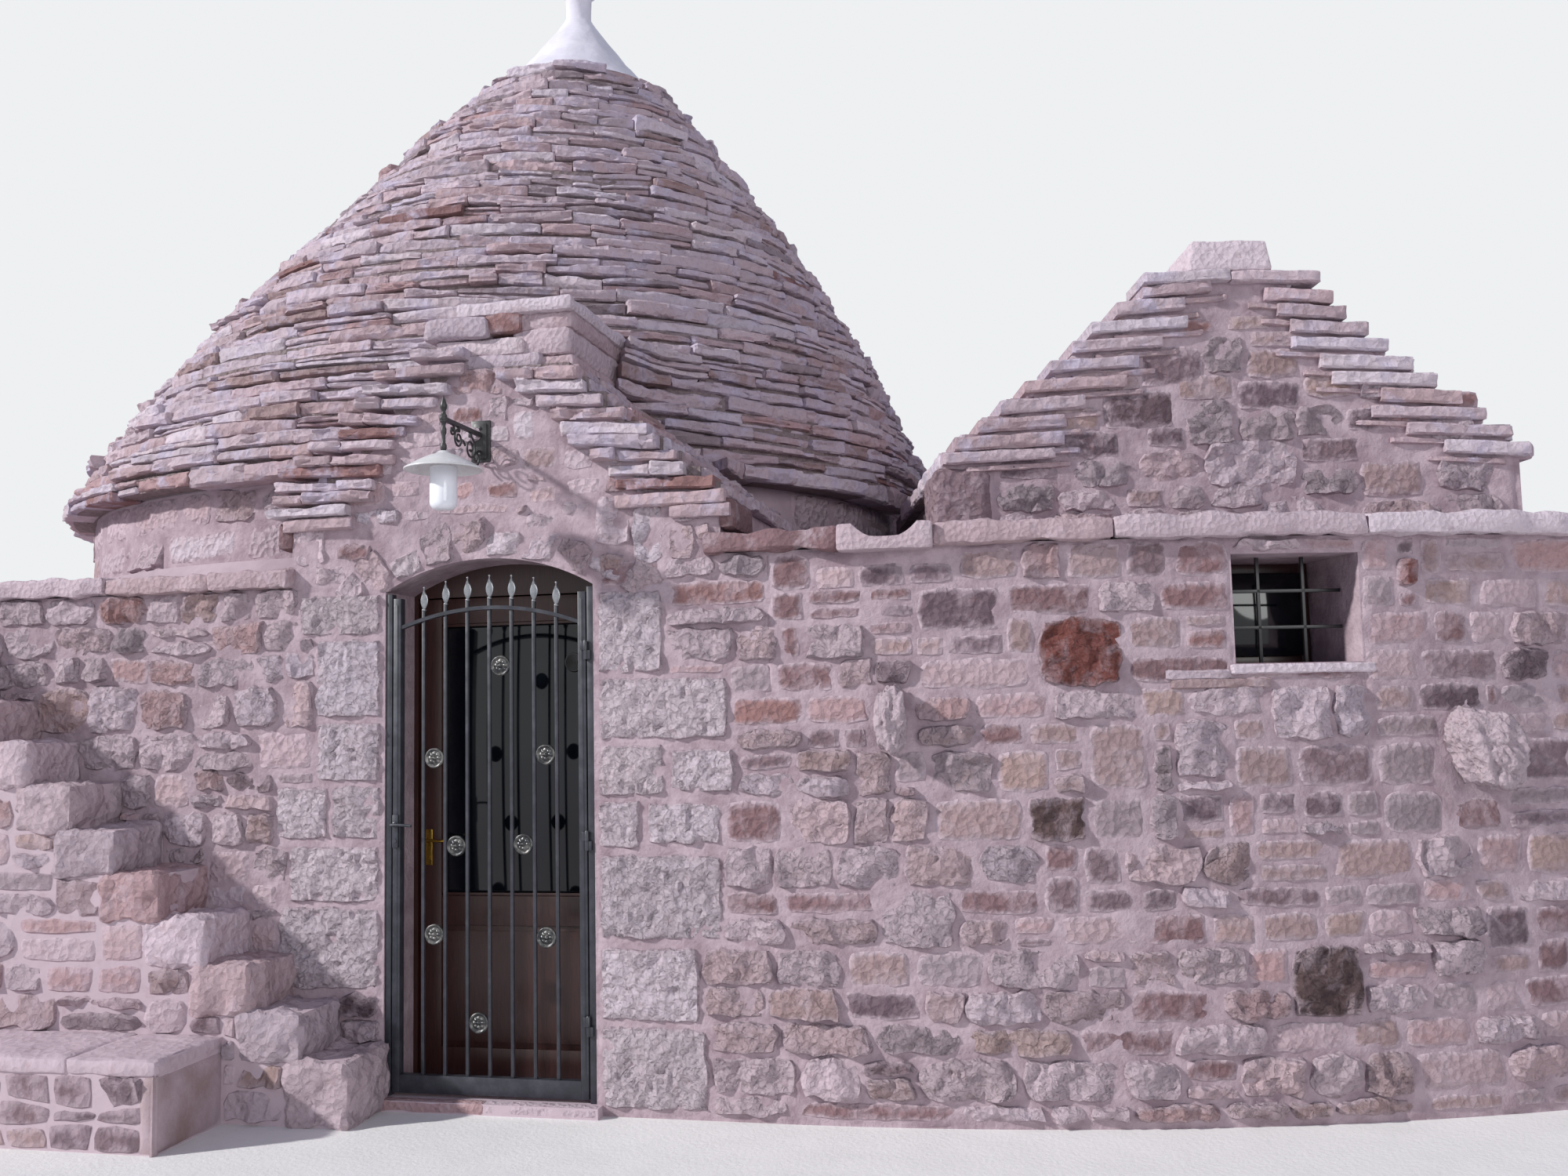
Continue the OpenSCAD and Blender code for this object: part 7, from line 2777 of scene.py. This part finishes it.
    def globe(self) -> None:
        """The opal cylinder with a round foot."""
        bm = bmesh.new()
        box_low, box_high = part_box("lantern_glass")
        r = (box_high[0] - box_low[0]) / 2
        z0, z1 = box_low[2], box_high[2]
        turn = 0.034
        profile = [(0.0, z0), (r - turn, z0)]
        for k in range(1, 8):
            a = math.pi / 2 * k / 8
            profile.append((r - turn + turn * math.sin(a), z0 + turn - turn * math.cos(a)))
        profile += [(r, z0 + turn), (r, z1 - 0.004), (r - 0.003, z1), (0.0, z1)]
        lathe(bm, profile, Vector((self.x, PLAN.front_y - self.out, 0.0)), 48)
        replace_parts(as_piece(bm, "lantern_opal_glass", OPAL_GLASS, HOUSE), "lantern_glass")


def dress_frame() -> None:
    """Gives every shown node of the frame its finish."""
    finishes = {"limestone_wall": MORTAR, "limestone_slab": ROOF_CORE_PAINTED_SHADE, "dressed_stone": PAVING,
                "lime_mortar": SCREED, "white_plaster": WHITEWASH_WITH_PAINTED_SHADE, "dark_iron": SLATE_IRON,
                "dark_wood": DOOR_WOOD, "window_glass": GLASS_WITH_PAINTED_SHADE, "brass": BRASS,
                "dark_plastic": BLACK_PLASTIC, "pale_metal": ENAMEL, "opal_glass": OPAL_GLASS}
    slots = {part["node"]: part["material_slot"] for part in frame["record"]["subparts"]}
    for node, obj in frame["nodes"].items():
        finish = finishes.get(slots.get(node, ""))
        if finish:
            for k in range(len(obj.material_slots)):
                obj.material_slots[k].material = finish.make()


@dataclass(frozen=True)
class Studio:
    """Plain pale floor, soft lights and the camera."""

    eye: tuple[float, float, float] = (3.55, -8.447, 1.65)
    heading: float = 12.0
    pitch: float = 5.06
    roll: float = 1.2
    lens: float = 31.5
    floor: str = "#e9e7e4"
    sky: str = "#eef0f2"

    def build(self) -> None:
        """Makes floor, lights, world and camera."""
        self.make_floor()
        self.make_world()
        self.sun("key", spot=(-11.9, -7.0, 7.8), strength=3.75, width=0.045)
        self.sun("fill", spot=(7.5, -9.5, 3.0), strength=0.85, width=0.46)
        self.sun("back", spot=(-3.0, 15.0, 9.5), strength=0.57, width=0.46)
        self.make_camera()
        bpy.context.scene.view_settings.view_transform = "Standard"

    def make_floor(self) -> None:
        """A wide pale floor."""
        bm = bmesh.new()
        bmesh.ops.create_circle(bm, cap_ends=True, segments=96, radius=60.0)
        mesh = bpy.data.meshes.new("floor")
        bm.to_mesh(mesh)
        bm.free()
        floor = add_object("floor", mesh)
        mesh.materials.append(LimePlaster("pale floor", self.floor, "#e4e2df", wave_depth_mm=0.1,
                                          grit_depth_mm=0.05).make())

    def make_world(self) -> None:
        """Even pale light from all round."""
        world = bpy.data.worlds.new("studio")
        bpy.context.scene.world = world
        world.use_nodes = True
        tree = world.node_tree
        tree.nodes.clear()
        rays = add_node(tree, "ShaderNodeLightPath").outputs
        direct = add_node(tree, "ShaderNodeMath", {0: rays["Is Camera Ray"], 1: rays["Is Glossy Ray"]},
                          operation="MAXIMUM")
        seen = add_node(tree, "ShaderNodeMath", {0: direct.outputs[0], 1: rays["Is Transmission Ray"]},
                        operation="MAXIMUM")
        light = add_node(tree, "ShaderNodeBackground", {"Color": linear("#c8d1fb"), "Strength": 0.33})
        sight = add_node(tree, "ShaderNodeBackground", {"Color": linear(self.sky), "Strength": 1.0})
        mix = add_node(tree, "ShaderNodeMixShader", {0: seen.outputs[0], 1: light.outputs[0],
                                                     2: sight.outputs[0]})
        add_node(tree, "ShaderNodeOutputWorld", {"Surface": mix.outputs[0]})

    def sun(self, name: str, spot: tuple[float, float, float], strength: float, width: float) -> None:
        """Adds a lamp that lights house and floor evenly.

        Args:
            name: The lamp's name.
            spot: A point the light comes from, seen from the house.
            strength: Its strength in watts per square metre.
            width: How wide the lamp looks, in radians, which softens its shadows.
        """
        data = bpy.data.lights.new(name, "SUN")
        data.angle = width
        data.energy = strength
        obj = add_object(name, data)
        obj.rotation_mode = "QUATERNION"
        obj.rotation_quaternion = (-Vector(spot)).to_track_quat("-Z", "Y")

    def make_camera(self) -> None:
        """The camera at the photograph's place and angle."""
        data = bpy.data.cameras.new("camera")
        data.sensor_width = 36.0
        data.lens = self.lens
        data.clip_end = 200.0
        camera = add_object("camera", data)
        turn, pitch, roll = (math.radians(x) for x in (self.heading, self.pitch, self.roll))
        level = Vector((-math.sin(turn), math.cos(turn), 0.0))
        right = level.cross(Vector((0, 0, 1)))
        ahead = level * math.cos(pitch) + Vector((0, 0, math.sin(pitch)))
        up = right.cross(ahead)
        side = right * math.cos(roll) - up * math.sin(roll)
        top = up * math.cos(roll) + right * math.sin(roll)
        placed = Matrix((side, top, -ahead)).transposed().to_4x4()
        placed.translation = Vector(self.eye)
        camera.matrix_world = placed
        bpy.context.scene.camera = camera


def main() -> None:
    """Builds every sub-assembly in order."""
    logging.basicConfig(level=logging.INFO, format="%(name)s %(message)s")
    dress_frame()
    FrontWalls().build()
    PlainWalls().build()
    ConeRoof().build()
    Drum().build()
    Portal().build()
    WingRoof().build()
    Copings().build()
    Stair().build()
    LooseStones().build()
    Pinnacle().build()
    Window().build()
    Gate().build()
    Door().build()
    Lantern().build()
    Studio().build()


if __name__ == "__main__":
    main()
